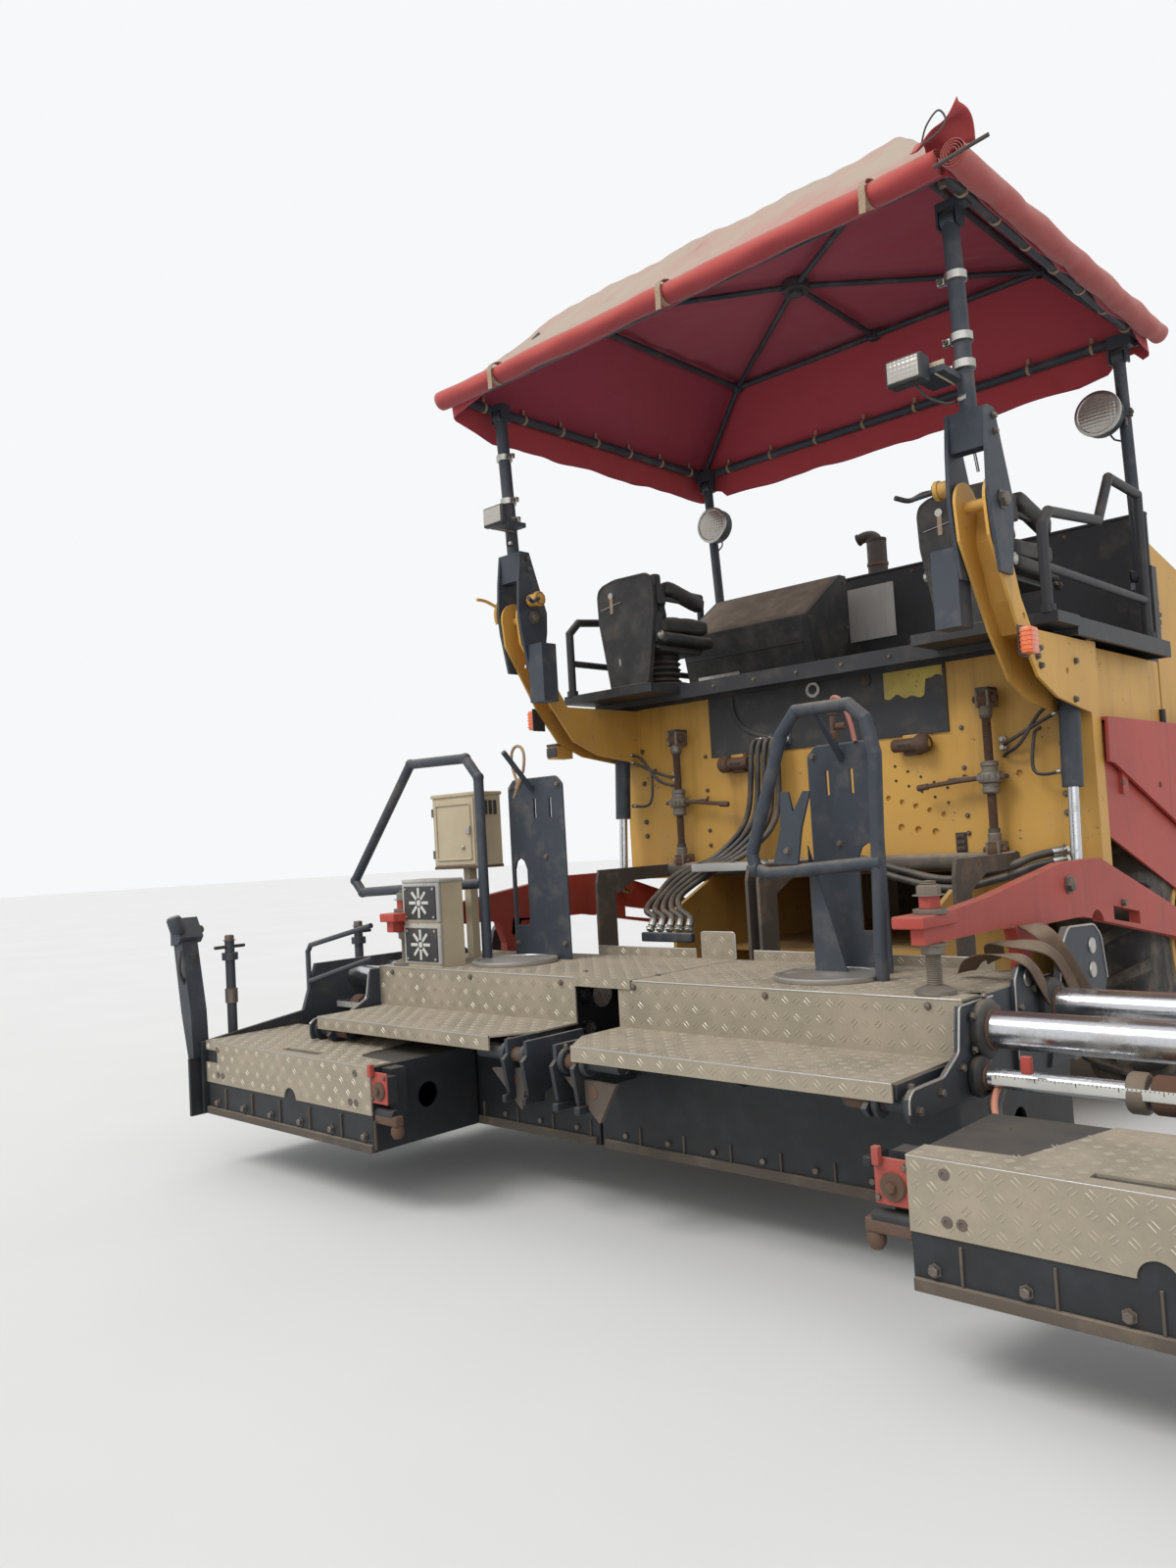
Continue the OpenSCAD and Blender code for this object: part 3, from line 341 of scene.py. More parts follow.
@dataclass(frozen=True)
class Steel:
    """Bare metal: chrome, worn aluminium or rusty steel."""

    name: str
    color: Triple
    worn: Triple
    rough: float = 0.3
    wear: float = 0.4
    metal: float = 1.0
    grain: Triple = (1.0, 1.0, 1.0)

    def build(self) -> bpy.types.Material:
        """Metal under patches of the worn colour, with fine grain along one direction.

        Returns:
            The material.
        """
        g = Graph(self.name)
        patch = g.noise(6.0, 7.0, 0.65).step(0.62 - 0.3 * self.wear, 0.75)
        fine = g.noise(90.0, 3.0, 0.6, self.grain)
        film = g.facing_up().step(0.4, 1.0) * 0.25 * self.wear
        dull = patch * (0.35 + 0.65 * self.wear) + film
        base = g.mix(dull, g.mix(fine, self.color, tuple(0.8 * c for c in self.color)), self.worn)
        metal = self.metal * (1.0 - dull * 0.85)
        rough = self.rough + dull * 0.45 + fine * 0.1
        return g.shade(base, rough, metal, g.bump(fine + patch * 0.5, 0.0008, 0.5))


@dataclass(frozen=True)
class Rubber:
    """Tyre, hose and edging rubber, greyed by dust."""

    name: str
    color: Triple = (0.022, 0.022, 0.023)
    dust: float = 0.5
    rough: float = 0.75

    def build(self) -> bpy.types.Material:
        """Black with dust on top and in the noise's hollows.

        Returns:
            The material.
        """
        g = Graph(self.name)
        grime = g.noise(8.0, 7.0, 0.65)
        fine = g.noise(120.0, 3.0)
        film = (g.facing_up().step(-0.1, 0.9) * 0.5 + grime.step(0.4, 0.7) * 0.5) * self.dust
        base = g.mix(film, self.color, DUST)
        return g.shade(base, self.rough + film * 0.2, 0.0, g.bump(grime * 0.4 + fine * 0.3, 0.001,
                                                                  0.6))


@dataclass(frozen=True)
class Tarpaulin:
    """Coated cloth: red where it is turned down, on the canopy with painted light shining through
    it; bleached and dusty on its upper side.
    """

    name: str
    # painted light: this underside red is brightened to stand for light shining through the cloth
    under: Triple = (0.32, 0.034, 0.068)
    edge: Triple = (0.47, 0.05, 0.062)
    top: Triple = (0.36, 0.28, 0.205)
    bleach: float = 1.0

    def build(self) -> bpy.types.Material:
        """The normal's z picks under (on the canopy, with painted through-light), edge and top;
        noise makes stains and wrinkles.

        Returns:
            The material.
        """
        g = Graph(self.name)
        stain = g.noise(2.2, 8.0, 0.62)
        blot = g.noise(7.0, 6.0, 0.6, seed=3.0)
        weave = g.noise(260.0, 2.0)
        up = g.facing_up()
        # faces turned down take the under colour; on the canopy it holds painted light through the
        # cloth
        base = g.mix(up.step(-0.8, 0.1), self.under, self.edge)
        worn = up.step(0.2, 0.7) * (0.62 + stain.step(0.25, 0.6) * 0.38) * self.bleach
        base = g.mix(worn, base, self.top)
        base = g.mix(blot.step(0.56, 0.78) * 0.35, base, tuple(0.55 * c for c in self.edge))
        base = g.mix(stain.step(0.6, 0.72) * worn * 0.6, base, (0.2, 0.13, 0.1))
        wrinkle = g.noise(5.0, 5.0, 0.55, (1.0, 2.4, 1.0), 5.0)
        normal = g.bump(wrinkle * 0.9 + weave * 0.05, 0.01, 0.5)
        return g.shade(base, 0.62 + stain * 0.2, 0.0, normal, Sheen_Weight=0.15)


@dataclass(frozen=True)
class Hide:
    """Grained artificial leather of seats and console, cracked and dusty."""

    name: str
    color: Triple
    dust: float = 0.4
    rough: float = 0.5

    def build(self) -> bpy.types.Material:
        """Small cells for the grain, dust in them and on top.

        Returns:
            The material.
        """
        g = Graph(self.name)
        cell = g.add("ShaderNodeTexVoronoi", {"feature": "DISTANCE_TO_EDGE"},
                     {"Vector": g.place(), "Scale": 260.0}, 0)
        grain = cell.step(0.0, 0.12)
        grime = g.noise(10.0, 7.0, 0.65)
        film = (g.facing_up().step(0.0, 0.9) * 0.6 + grime.step(0.4, 0.7) * 0.4) * self.dust
        base = g.mix(film, g.mix(grain, tuple(0.5 * c for c in self.color), self.color), DUST)
        return g.shade(base, self.rough + film * 0.35, 0.0, g.bump(grain + grime * 0.8, 0.0009,
                                                                   0.5))


@dataclass(frozen=True)
class Lens:
    """Glass or plastic in front of a lamp, fluted in rings."""

    name: str
    color: Triple
    rough: float = 0.12
    metal: float = 0.0

    def build(self) -> bpy.types.Material:
        """Dusty shine with a fine ripple.

        Returns:
            The material.
        """
        g = Graph(self.name)
        grime = g.noise(30.0, 5.0)
        ripple = (g.part(0) * 420.0).sine() * 0.5 + (g.part(2) * 420.0).sine() * 0.5
        base = g.mix(grime.step(0.45, 0.7) * 0.5, self.color, DUST)
        return g.shade(base, self.rough + grime * 0.25, self.metal, g.bump(ripple, 0.001, 0.5),
                       Coat_Weight=0.6)


class Slot(Enum):
    """The record's material slots."""

    YELLOW = "yellow_paint"
    BLACK = "black_paint"
    DARK = "dark_steel"
    RED = "red_paint"
    SLATE = "slate_paint"
    HOSE = "hose_rubber"
    CONSOLE = "console_black"
    SEAT = "seat_black"
    SHEET = "canopy_sheet"
    TYRE = "tyre_rubber"
    CHROME = "rod_chrome"
    TREAD = "tread_plate"
    CREAM = "cabinet_cream"
    ROLLER = "roller_steel"


class Small(Enum):
    """Finishes of small parts, for which the record has no slot."""

    BARS = "Tread bars"
    BOLT = "Bolt steel"
    RUST = "Rusty steel"
    AMBER = "Amber lens"
    GLASS = "Lamp glass"
    STRAP = "Strap webbing"
    PALE_STRAP = "Pale strap"
    WHITE = "White face"
    SILVER = "Silver fittings"
    PINK = "Red hose"
    CURTAIN = "Curtain"
    FADED_CURTAIN = "Faded curtain"
    CORD = "Dark cord"
    CORD_TAN = "Tan rope"
    CONSOLE_TOP = "Console top"
    WORN_EDGE = "Worn edge"
    # dark steel for real soot, and for painted shade in slots
    CAST = "Cast steel"
    SOOT = "Soot and shade steel"
    WORN_YELLOW = "Worn yellow"
    SALMON = "Salmon hose"
    MODULE = "Module face"


Finish = Union[Paint, Steel, Rubber, Tarpaulin, Hide, Lens]
Key = Union[Slot, Small]

FINISHES: dict[Key, Finish] = {Slot.YELLOW: Paint("Yellow paint", (0.60, 0.335, 0.065),
                                                  (0.5, 0.27, 0.06), 0.35, 0.55),
                               Slot.BLACK: Paint("Black paint", (0.018, 0.019, 0.022),
                                                 (0.035, 0.035, 0.038), 0.3, 0.2, low_shade=0.8),
                               Slot.DARK: Paint("Dark steel", (0.05, 0.045, 0.042),
                                                (0.09, 0.07, 0.055), 0.7, 0.9, 0.7),
                               Slot.RED: Paint("Red paint", (0.42, 0.045, 0.03),
                                               (0.31, 0.042, 0.03), 0.22, 0.35),
                               Slot.SLATE: Paint("Slate paint", (0.024, 0.032, 0.045),
                                                 (0.04, 0.048, 0.06), 0.4, 0.35, low_shade=0.85),
                               Slot.HOSE: Rubber("Hose rubber", (0.02, 0.02, 0.021), 0.4, 0.5),
                               Slot.CONSOLE: Hide("Console black", (0.022, 0.022, 0.024), 0.35),
                               Slot.SEAT: Hide("Seat hide", (0.02, 0.02, 0.021), 0.3),
                               Slot.SHEET: Tarpaulin("Canopy tarpaulin"),
                               Slot.TYRE: Rubber("Tyre rubber", dust=0.65),
                               Slot.CHROME: Steel("Rod chrome", (0.62, 0.63, 0.65),
                                                  (0.2, 0.15, 0.1), 0.16, 0.25),
                               Slot.TREAD: Steel("Tread plate", (0.345, 0.3, 0.225),
                                                 (0.36, 0.3, 0.225), 0.5, 1.0, 0.5),
                               Slot.CREAM: Paint("Cabinet cream", (0.5, 0.43, 0.3),
                                                 (0.38, 0.31, 0.2), 0.3, 0.5),
                               Slot.ROLLER: Steel("Roller steel", (0.25, 0.22, 0.2),
                                                  (0.12, 0.07, 0.045), 0.5, 0.7),
                               Small.BARS: Steel("Tread bars", (0.5, 0.455, 0.37),
                                                 (0.33, 0.27, 0.19), 0.36, 1.0, 0.75),
                               Small.BOLT: Steel("Bolt steel", (0.22, 0.195, 0.17),
                                                 (0.12, 0.08, 0.055), 0.5, 0.7),
                               Small.RUST: Steel("Rusty steel", (0.14, 0.09, 0.065),
                                                 (0.11, 0.055, 0.033), 0.65, 0.9, 0.4),
                               Small.AMBER: Lens("Amber lens", (0.75, 0.14, 0.03), 0.25),
                               Small.GLASS: Lens("Lamp glass", (0.42, 0.4, 0.36), 0.12, 0.55),
                               Small.STRAP: Hide("Strap webbing", (0.14, 0.085, 0.05), 0.5, 0.8),
                               Small.PALE_STRAP: Hide("Pale strap", (0.42, 0.3, 0.2), 0.3, 0.8),
                               Small.WHITE: Paint("White face", (0.6, 0.6, 0.56), (0.45, 0.44, 0.4),
                                                  0.3, 0.2), Small.SILVER: Steel("Silver fittings",
                                                                                 (0.5, 0.49, 0.46),
                                                                                 (0.25, 0.2, 0.15),
                                                                                 0.3, 0.4),
                               Small.PINK: Rubber("Red hose", (0.35, 0.12, 0.09), 0.3, 0.5),
                               Small.CURTAIN: Tarpaulin("Curtain", (0.3, 0.03, 0.035),
                                                        (0.42, 0.055, 0.042), (0.36, 0.12, 0.085),
                                                        0.6),
                               Small.FADED_CURTAIN: Tarpaulin("Faded curtain", (0.34, 0.06, 0.055),
                                                              (0.42, 0.115, 0.09),
                                                              (0.42, 0.24, 0.18), 0.7),
                               Small.CORD: Rubber("Dark cord", (0.06, 0.05, 0.045), 0.3, 0.8),
                               Small.CORD_TAN: Rubber("Tan rope", (0.33, 0.22, 0.13), 0.3, 0.85),
                               Small.CONSOLE_TOP: Hide("Console top", (0.06, 0.05, 0.042), 0.9,
                                                       0.7), Small.WORN_EDGE: Steel("Worn edge",
                                                                                    (0.5, 0.48,
                                                                                     0.45),
                                                                                    (0.3, 0.25,
                                                                                     0.19), 0.32,
                                                                                    0.5, 0.85),
                               Small.CAST: Steel("Cast steel", (0.24, 0.22, 0.19),
                                                 (0.2, 0.14, 0.09), 0.5, 0.7, 0.7),
                               Small.SOOT: Paint("Soot and shade steel", (0.03, 0.026, 0.024),
                                                 (0.06, 0.045, 0.035), 0.35, 0.6, 0.8),
                               Small.WORN_YELLOW: Paint("Worn yellow", (0.62, 0.47, 0.08),
                                                        (0.16, 0.12, 0.04), 0.1, 1.0),
                               Small.SALMON: Rubber("Salmon hose", (0.55, 0.2, 0.13), 0.25, 0.5),
                               Small.MODULE: Paint("Module face", (0.42, 0.42, 0.4),
                                                   (0.3, 0.29, 0.27), 0.35, 0.3),}


class Palette:
    """Every finish, built once and looked up by its key."""

    def __init__(self) -> None:
        """Builds the slots' finishes and the small parts' own ones."""
        self.made = {key: finish.build() for key, finish in FINISHES.items()}

    def __getitem__(self, key: Key) -> bpy.types.Material:
        """The finish of a slot or of a small part."""
        return self.made[key]

    def dress(self, frame: dict) -> None:
        """Gives every CAD node its slot's finish.
        """
        for row in frame["record"]["subparts"]:
            node = frame["nodes"][row["node"]]
            for slot in node.material_slots:
                slot.material = self.made[Slot(row["material_slot"])]


# ------------------------------------------------------------------- mesh maths


def unit(v: np.ndarray) -> np.ndarray:
    """The vectors scaled to length 1 along their last axis."""
    return v / np.maximum(np.linalg.norm(v, axis=-1, keepdims=True), 1e-9)


def smooth_path(points: Sequence[Triple], count: int) -> np.ndarray:
    """Runs a Catmull-Rom curve through points, at `count` even places.

    Args:
        points: two or more points.
        count: how many points come back.
    Returns:
        (count, 3) array.
    """
    p = np.asarray(points, float)
    ends = np.vstack([2 * p[0] - p[1], p, 2 * p[-1] - p[-2]])
    t = np.linspace(0, len(p) - 1 - 1e-6, 24 * len(p))
    i = t.astype(int)
    u = (t - i)[:, None]
    a, b, c, d = ends[i], ends[i + 1], ends[i + 2], ends[i + 3]
    fine = 0.5 * (2 * b + (c - a) * u + (2 * a - 5 * b + 4 * c - d) * u**2
                  + (3 * b - 3 * c + d - a) * u**3)
    run = np.concatenate([[0], np.cumsum(np.linalg.norm(np.diff(fine, axis=0), axis=1))])
    want = np.linspace(0, run[-1], count)
    return np.stack([np.interp(want, run, fine[:, k]) for k in range(3)], 1)


def bent_path(points: Sequence[Triple], radius: float, steps: int = 6) -> np.ndarray:
    """Straight runs whose corners are turned on a curve, as a tube is bent.

    Args:
        points: the corners.
        radius: how far from each corner the bend starts.
        steps: points in a bend.
    Returns:
        (n, 3) array.
    """
    p = np.asarray(points, float)
    out = [p[:1]]
    u = np.linspace(0, 1, steps)[:, None]
    for a, b, c in zip(p[:-2], p[1:-1], p[2:]):
        r = min(radius, 0.45 * np.linalg.norm(b - a), 0.45 * np.linalg.norm(c - b))
        s, e = b + unit(a - b) * r, b + unit(c - b) * r
        out.append((1 - u) ** 2 * s + 2 * u * (1 - u) * b + u**2 * e)
    return np.vstack(out + [p[-1:]])


def frames_along(path: np.ndarray, up: Triple) -> tuple[np.ndarray, np.ndarray]:
    """Two crosswise unit vectors at each point of a path, carried without twist from `up`.

    Args:
        path: (n, 3) middle line.
        up: where the first vectors point at the start.
    Returns:
        Two (n, 3) arrays.
    """
    tangent = unit(np.gradient(path, axis=0))
    side = np.zeros_like(path)
    last = np.asarray(up, float)
    for k, t in enumerate(tangent):
        last = last - t * (last @ t)
        if np.linalg.norm(last) < 1e-6:
            last = np.cross(t, [0.3, 0.5, 0.8])
        last = last / np.linalg.norm(last)
        side[k] = last
    return side, np.cross(tangent, side)


def grid_faces(rows: int, cols: int, wrap: bool, flip: bool = False) -> list:
    """Quads over a rows by cols grid of points; wrap joins the last column to the first.

    Args:
        rows: rows of points.
        cols: columns of points.
        wrap: whether the last column joins the first.
        flip: whether the quads are turned round.
    Returns:
        Lists of four point numbers.
    """
    i, j = np.meshgrid(np.arange(rows - 1), np.arange(cols if wrap else cols - 1), indexing="ij")
    k = (j + 1) % cols
    quads = np.stack([i * cols + j, i * cols + k, (i + 1) * cols + k, (i + 1) * cols + j], -1)
    quads = quads.reshape(-1, 4)
    return (quads[:, ::-1] if flip else quads).tolist()


def twin_faces(rows: int, cols: int) -> list:
    """Quads over two grids of one size, the second grid's turned the other way."""
    faces = grid_faces(rows, cols, False)
    return faces + [[c + rows * cols for c in f[::-1]] for f in faces]


def even_angles(count: int, start: float = 0.0) -> np.ndarray:
    """Radians of `count` even places round a circle."""
    return np.linspace(start, start + 2 * np.pi, count, endpoint=False)


def thread(low: float, high: float, root: float, crest: float, ends: Optional[Pair] = None) -> list:
    """Outline of a threaded rod: its radius zigzags between root and crest every THREAD_STEP.

    Args:
        low: where the thread starts along the rod.
        high: where it stops.
        root: radius between two threads.
        crest: radius of a thread.
        ends: the rod's own ends, where they lie beyond the thread.
    Returns:
        (radius, along) pairs for Bag.lathe.
    """
    z = np.arange(low, high, THREAD_STEP)
    r = np.where(np.arange(len(z)) % 2 == 0, root, crest)
    first, last = ends or (z[0], z[-1])
    return [(0, first)] + list(zip(r, z)) + [(0, last)]


class Bag:
    """Gathers shapes in drawing millimetres and makes one mesh object of them."""

    def __init__(self, name: str) -> None:
        """Starts empty.

        Args:
            name: the name.
        """
        self.name = name
        self.points: list[np.ndarray] = []
        self.faces: list[list[int]] = []
        self.paint: list[int] = []
        self.materials: list[bpy.types.Material] = []
        self.count = 0

    def put(self, points: np.ndarray, faces: list, material: bpy.types.Material) -> "Bag":
        """Adds one shape.

        Args:
            points: (n, 3) array in drawing millimetres.
            faces: corner numbers into points.
            material: its finish.
        Returns:
            The bag itself.
        """
        if material not in self.materials:
            self.materials.append(material)
        index = self.materials.index(material)
        self.points.append(points.reshape(-1, 3))
        self.faces += [[c + self.count for c in f] for f in faces]
        self.paint += [index] * len(faces)
        self.count += points.reshape(-1, 3).shape[0]
        return self

    def sweep(self, path: np.ndarray, profile: np.ndarray, material: bpy.types.Material,
              up: Triple = (0.0, 0.0, 1.0), scale: Optional[np.ndarray] = None) -> "Bag":
        """Carries a closed profile along a path and caps both ends.

        Args:
            path: (n, 3) middle line.
            profile: (m, 2) closed outline, its first axis along `up`.
            material: its finish.
            up: where the profile's first axis points.
            scale: size of the profile at each path point, if it changes.
        Returns:
            The bag itself.
        """
        side, other = frames_along(path, up)
        size = np.ones(len(path)) if scale is None else np.asarray(scale, float)
        ring = (profile[None, :, 0, None] * side[:, None] + profile[None, :, 1, None]
                * other[:, None])
        grid = path[:, None] + ring * size[:, None, None]
        rows, cols = grid.shape[:2]
        faces = grid_faces(rows, cols, True)
        faces += [list(range(cols)), list(range((rows - 1) * cols, rows * cols))]
        return self.put(grid, faces, material)

    def tube(self, points: Sequence[Triple], diameter: float, material: bpy.types.Material,
             bend: float = 0.0, sides: int = 16, count: int = 0) -> "Bag":
        """A round bar through points: bent at its corners, or smooth if count is given.

        Args:
            points: its way.
            diameter: in millimetres.
            material: its finish.
            bend: how far from a corner its bend starts, 0 for sharp corners.
            sides: flat faces round it.
            count: points along a smooth way, 0 for straight runs.
        Returns:
            The bag itself.
        """
        if count:
            path = smooth_path(points, count)
        elif bend:
            path = bent_path(points, bend)
        else:
            path = np.asarray(points, float)
        a = even_angles(sides)
        circle = np.stack([np.cos(a), np.sin(a)], 1) * diameter / 2
        first = unit(path[1] - path[0])
        up = (0.0, 0.0, 1.0) if abs(first[2]) < 0.9 else (1.0, 0.0, 0.0)
        return self.sweep(path, circle, material, up)

    def lathe(self, outline: Sequence[tuple[float, float]], centre: Triple, axis: Triple,
              material: bpy.types.Material, sides: int = 48) -> "Bag":
        """Turns an outline of (radius, along) round an axis; radius 0 at an end closes it.

        Args:
            outline: (radius, along) pairs.
            centre: where along is 0.
            axis: its direction.
            material: its finish.
            sides: flat faces round it.
        Returns:
            The bag itself.
        """
        rz = np.asarray(outline, float)
        w = unit(np.asarray(axis, float))
        u = unit(np.cross(w, [0.31, 0.74, 0.52]))
        v = np.cross(w, u)
        a = even_angles(sides)
        around = np.cos(a)[:, None] * u + np.sin(a)[:, None] * v
        grid = (np.asarray(centre, float) + rz[:, None, 1, None] * w
                + rz[:, None, 0, None] * around[None])
        faces = grid_faces(len(rz), sides, True)
        if rz[0, 0] > 1e-6:
            faces.append(list(range(sides))[::-1])
        if rz[-1, 0] > 1e-6:
            faces.append(list(range((len(rz) - 1) * sides, len(rz) * sides)))
        return self.put(grid, faces, material)

    def block(self, low: Triple, high: Triple, material: bpy.types.Material,
              round_by: float = 4.0, turn: Optional[np.ndarray] = None) -> "Bag":
        """A box with rounded edges: each face's points are clipped to an inner box, then stand
        off it by the radius along the line from the clipped point.

        Args:
            low: lowest corner.
            high: highest corner.
            material: its finish.
            round_by: edge radius.
            turn: 3 by 3 rotation about the box's middle.
        Returns:
            The bag itself.
        """
        low, high = np.minimum(low, high).astype(float), np.maximum(low, high).astype(float)
        half, mid = (high - low) / 2, (high + low) / 2
        r = min(round_by, 0.9 * half.min())
        inner = half - r
        for axis in range(3):
            u, v = (axis + 1) % 3, (axis + 2) % 3
            lines = [np.array([-half[k], -inner[k] - 0.41 * r, -inner[k], inner[k],
                               inner[k] + 0.41 * r, half[k]]) for k in (u, v)]
            for sign in (-1, 1):
                p = np.zeros((6, 6, 3))
                p[..., u], p[..., v] = np.meshgrid(*lines, indexing="ij")
                p[..., axis] = sign * half[axis]
                core = np.clip(p, -inner, inner)
                q = core + unit(p - core) * r
                self.put((q if turn is None else q @ turn.T) + mid, grid_faces(6, 6, False),
                         material)
        return self

    def plate(self, outline: Sequence[tuple[float, float]], low: float, high: float,
              axis: int, material: bpy.types.Material) -> "Bag":
        """A flat plate: an outline in the other two axes, from low to high along axis.

        Args:
            outline: its corners in the other two axes, in their order.
            low: lowest place.
            high: highest place.
            axis: 0, 1 or 2, the axis across the plate.
            material: its finish.
        Returns:
            The bag itself.
        """
        flat = np.asarray(outline, float)
        n = len(flat)
        points = np.zeros((2 * n, 3))
        first, second = [k for k in range(3) if k != axis]
        for half, level in ((slice(0, n), low), (slice(n, 2 * n), high)):
            points[half, first], points[half, second] = flat[:, 0], flat[:, 1]
            points[half, axis] = level
        sides = [[i, (i + 1) % n, n + (i + 1) % n, n + i] for i in range(n)]
        return self.put(points, [list(range(n)), list(range(n, 2 * n))] + sides, material)

    def bolt(self, centre: Triple, axis: Triple, width: float, material: bpy.types.Material,
             height: float = 0.0) -> "Bag":
        """A hexagon head with a chamfer, standing on centre along axis.

        Args:
            centre: middle of its seat.
            axis: its direction.
            width: across its corners.
            material: its finish.
            height: of the head, 0 for 0.6 of its width.
        Returns:
            The bag itself.
        """
        h = height or 0.6 * width
        r = width / 2
        washer = 1.35 * r
        return self.lathe([(washer, 0), (washer, 0.12 * h), (r, 0.12 * h), (r, 0.85 * h),
                           (0.8 * r, h), (0, h)], centre, axis, material, 6)

    def bolt_ring(self, centre: Triple, s: int, radius: float, angles: np.ndarray, width: float,
                  material: bpy.types.Material, height: float = 0.0) -> "Bag":
        """Bolts on a circle in a plane across x.

        Args:
            centre: the circle's middle.
            s: -1 for heads to the left, 1 for heads to the right.
            radius: the circle's radius.
            angles: each bolt's place in radians, from straight ahead upwards.
            width: across a head's corners.
            material: their finish.
            height: of a head, 0 for 0.6 of its width.
        Returns:
            The bag itself.
        """
        x, y, z = centre
        for a in angles:
            self.bolt((x, y + radius * math.cos(a), z + radius * math.sin(a)), (s, 0, 0), width,
                      material, height)
        return self

    def build(self, body: Optional[str]) -> bpy.types.Object:
        """Makes the mesh object and lets it ride on a body.

        Args:
            body: the CAD body it moves with, or None to leave it without one.
        Returns:
            The object.
        """
        mesh = bpy.data.meshes.new(self.name)
        points = metres(np.vstack(self.points))
        mesh.from_pydata(points.tolist(), [], self.faces)
        mesh.polygons.foreach_set("material_index", np.asarray(self.paint, np.int32))
        for material in self.materials:
            mesh.materials.append(material)
        tidy_mesh(mesh)
        return shown(self.name, mesh, body, SMOOTH_BELOW)


def tidy_mesh(mesh: bpy.types.Mesh) -> None:
    """Merges points that lie on each other and turns every closed form's faces outwards.

    Args:
        mesh: the mesh, which is changed.
    """
    work = bmesh.new()
    work.from_mesh(mesh)
    bmesh.ops.remove_doubles(work, verts=work.verts, dist=5e-6)
    bmesh.ops.recalc_face_normals(work, faces=work.faces)
    work.to_mesh(mesh)
    work.free()


def shown(name: str, mesh: bpy.types.Mesh, body: Optional[str], angle: float) -> bpy.types.Object:
    """Links a mesh as an object that rides on a body.

    Args:
        name: the object's name.
        mesh: its mesh, in the shared frame.
        body: the CAD body it moves with, or None to leave it without one.
        angle: degrees below which edges are smooth, 0 for flat faces.
    Returns:
        The object.
    """
    if angle:
        mesh.shade_smooth()
        mesh.set_sharp_from_angle(angle=math.radians(angle))
    obj = bpy.data.objects.new(name, mesh)
    bpy.context.scene.collection.objects.link(obj)
    if body:
        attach(obj, body)
    LOG.info("%s: %d points on %s", name, len(mesh.vertices), body)
    return obj


def sheet_mesh(name: str, grid: np.ndarray, wrap: bool, material: bpy.types.Material,
               outward: np.ndarray) -> bpy.types.Mesh:
    """An open sheet over a grid of points, its faces turned to the side of `outward`.

    Args:
        name: the mesh's name.
        grid: (rows, columns, 3) points in drawing millimetres.
        wrap: whether the last column joins the first.
        material: its finish.
        outward: (rows, columns, 3) rough outward directions.
    Returns:
        The mesh.
    """
    rows, cols = grid.shape[:2]
    i, j = rows // 2, cols // 3
    normal = np.cross(grid[i, j + 1] - grid[i, j], grid[i + 1, j] - grid[i, j])
    mesh = bpy.data.meshes.new(name)
    faces = grid_faces(rows, cols, wrap, float(normal @ outward[i, j]) < 0)
    mesh.from_pydata(metres(grid).reshape(-1, 3).tolist(), [], faces)
    mesh.materials.append(material)
    return mesh


def mesh_area(mesh: bpy.types.Mesh) -> float:
    """The mesh's area in square metres.

    Args:
        mesh: the mesh.
    Returns:
        The area.
    """
    area = np.zeros(len(mesh.polygons), np.float32)
    mesh.polygons.foreach_get("area", area)
    return float(area.sum())


def solidify(obj: bpy.types.Object, thickness: float) -> None:
    """Gives an open sheet its thickness, inwards from its outer face."""
    wall = obj.modifiers.new("Thickness", "SOLIDIFY")
    wall.thickness, wall.offset = thickness, -1.0


def ripple(x: np.ndarray, y: np.ndarray, wave: float, seed: float) -> np.ndarray:
    """Soft folds between -1 and 1: a mean of five sines, each turned by the golden angle.

    Args:
        x: places along the first axis.
        y: places along the second axis.
        wave: about the length of a fold, in the same unit.
        seed: turns and shifts the pattern.
    Returns:
        Heights, in the shape that x and y have together.
    """
    sines, golden_angle, gain = 5, 2.39996, 1.6
    total = np.zeros(np.broadcast(x, y).shape)
    for k in range(sines):
        a = seed + golden_angle * k
        w = 2 * np.pi / (wave * (0.55 + 0.28 * k))
        total = total + np.sin((x * np.cos(a) + y * np.sin(a)) * w + 1.7 * k * seed)
    return total / sines * gain


# ------------------------------------------------------------------------ stage


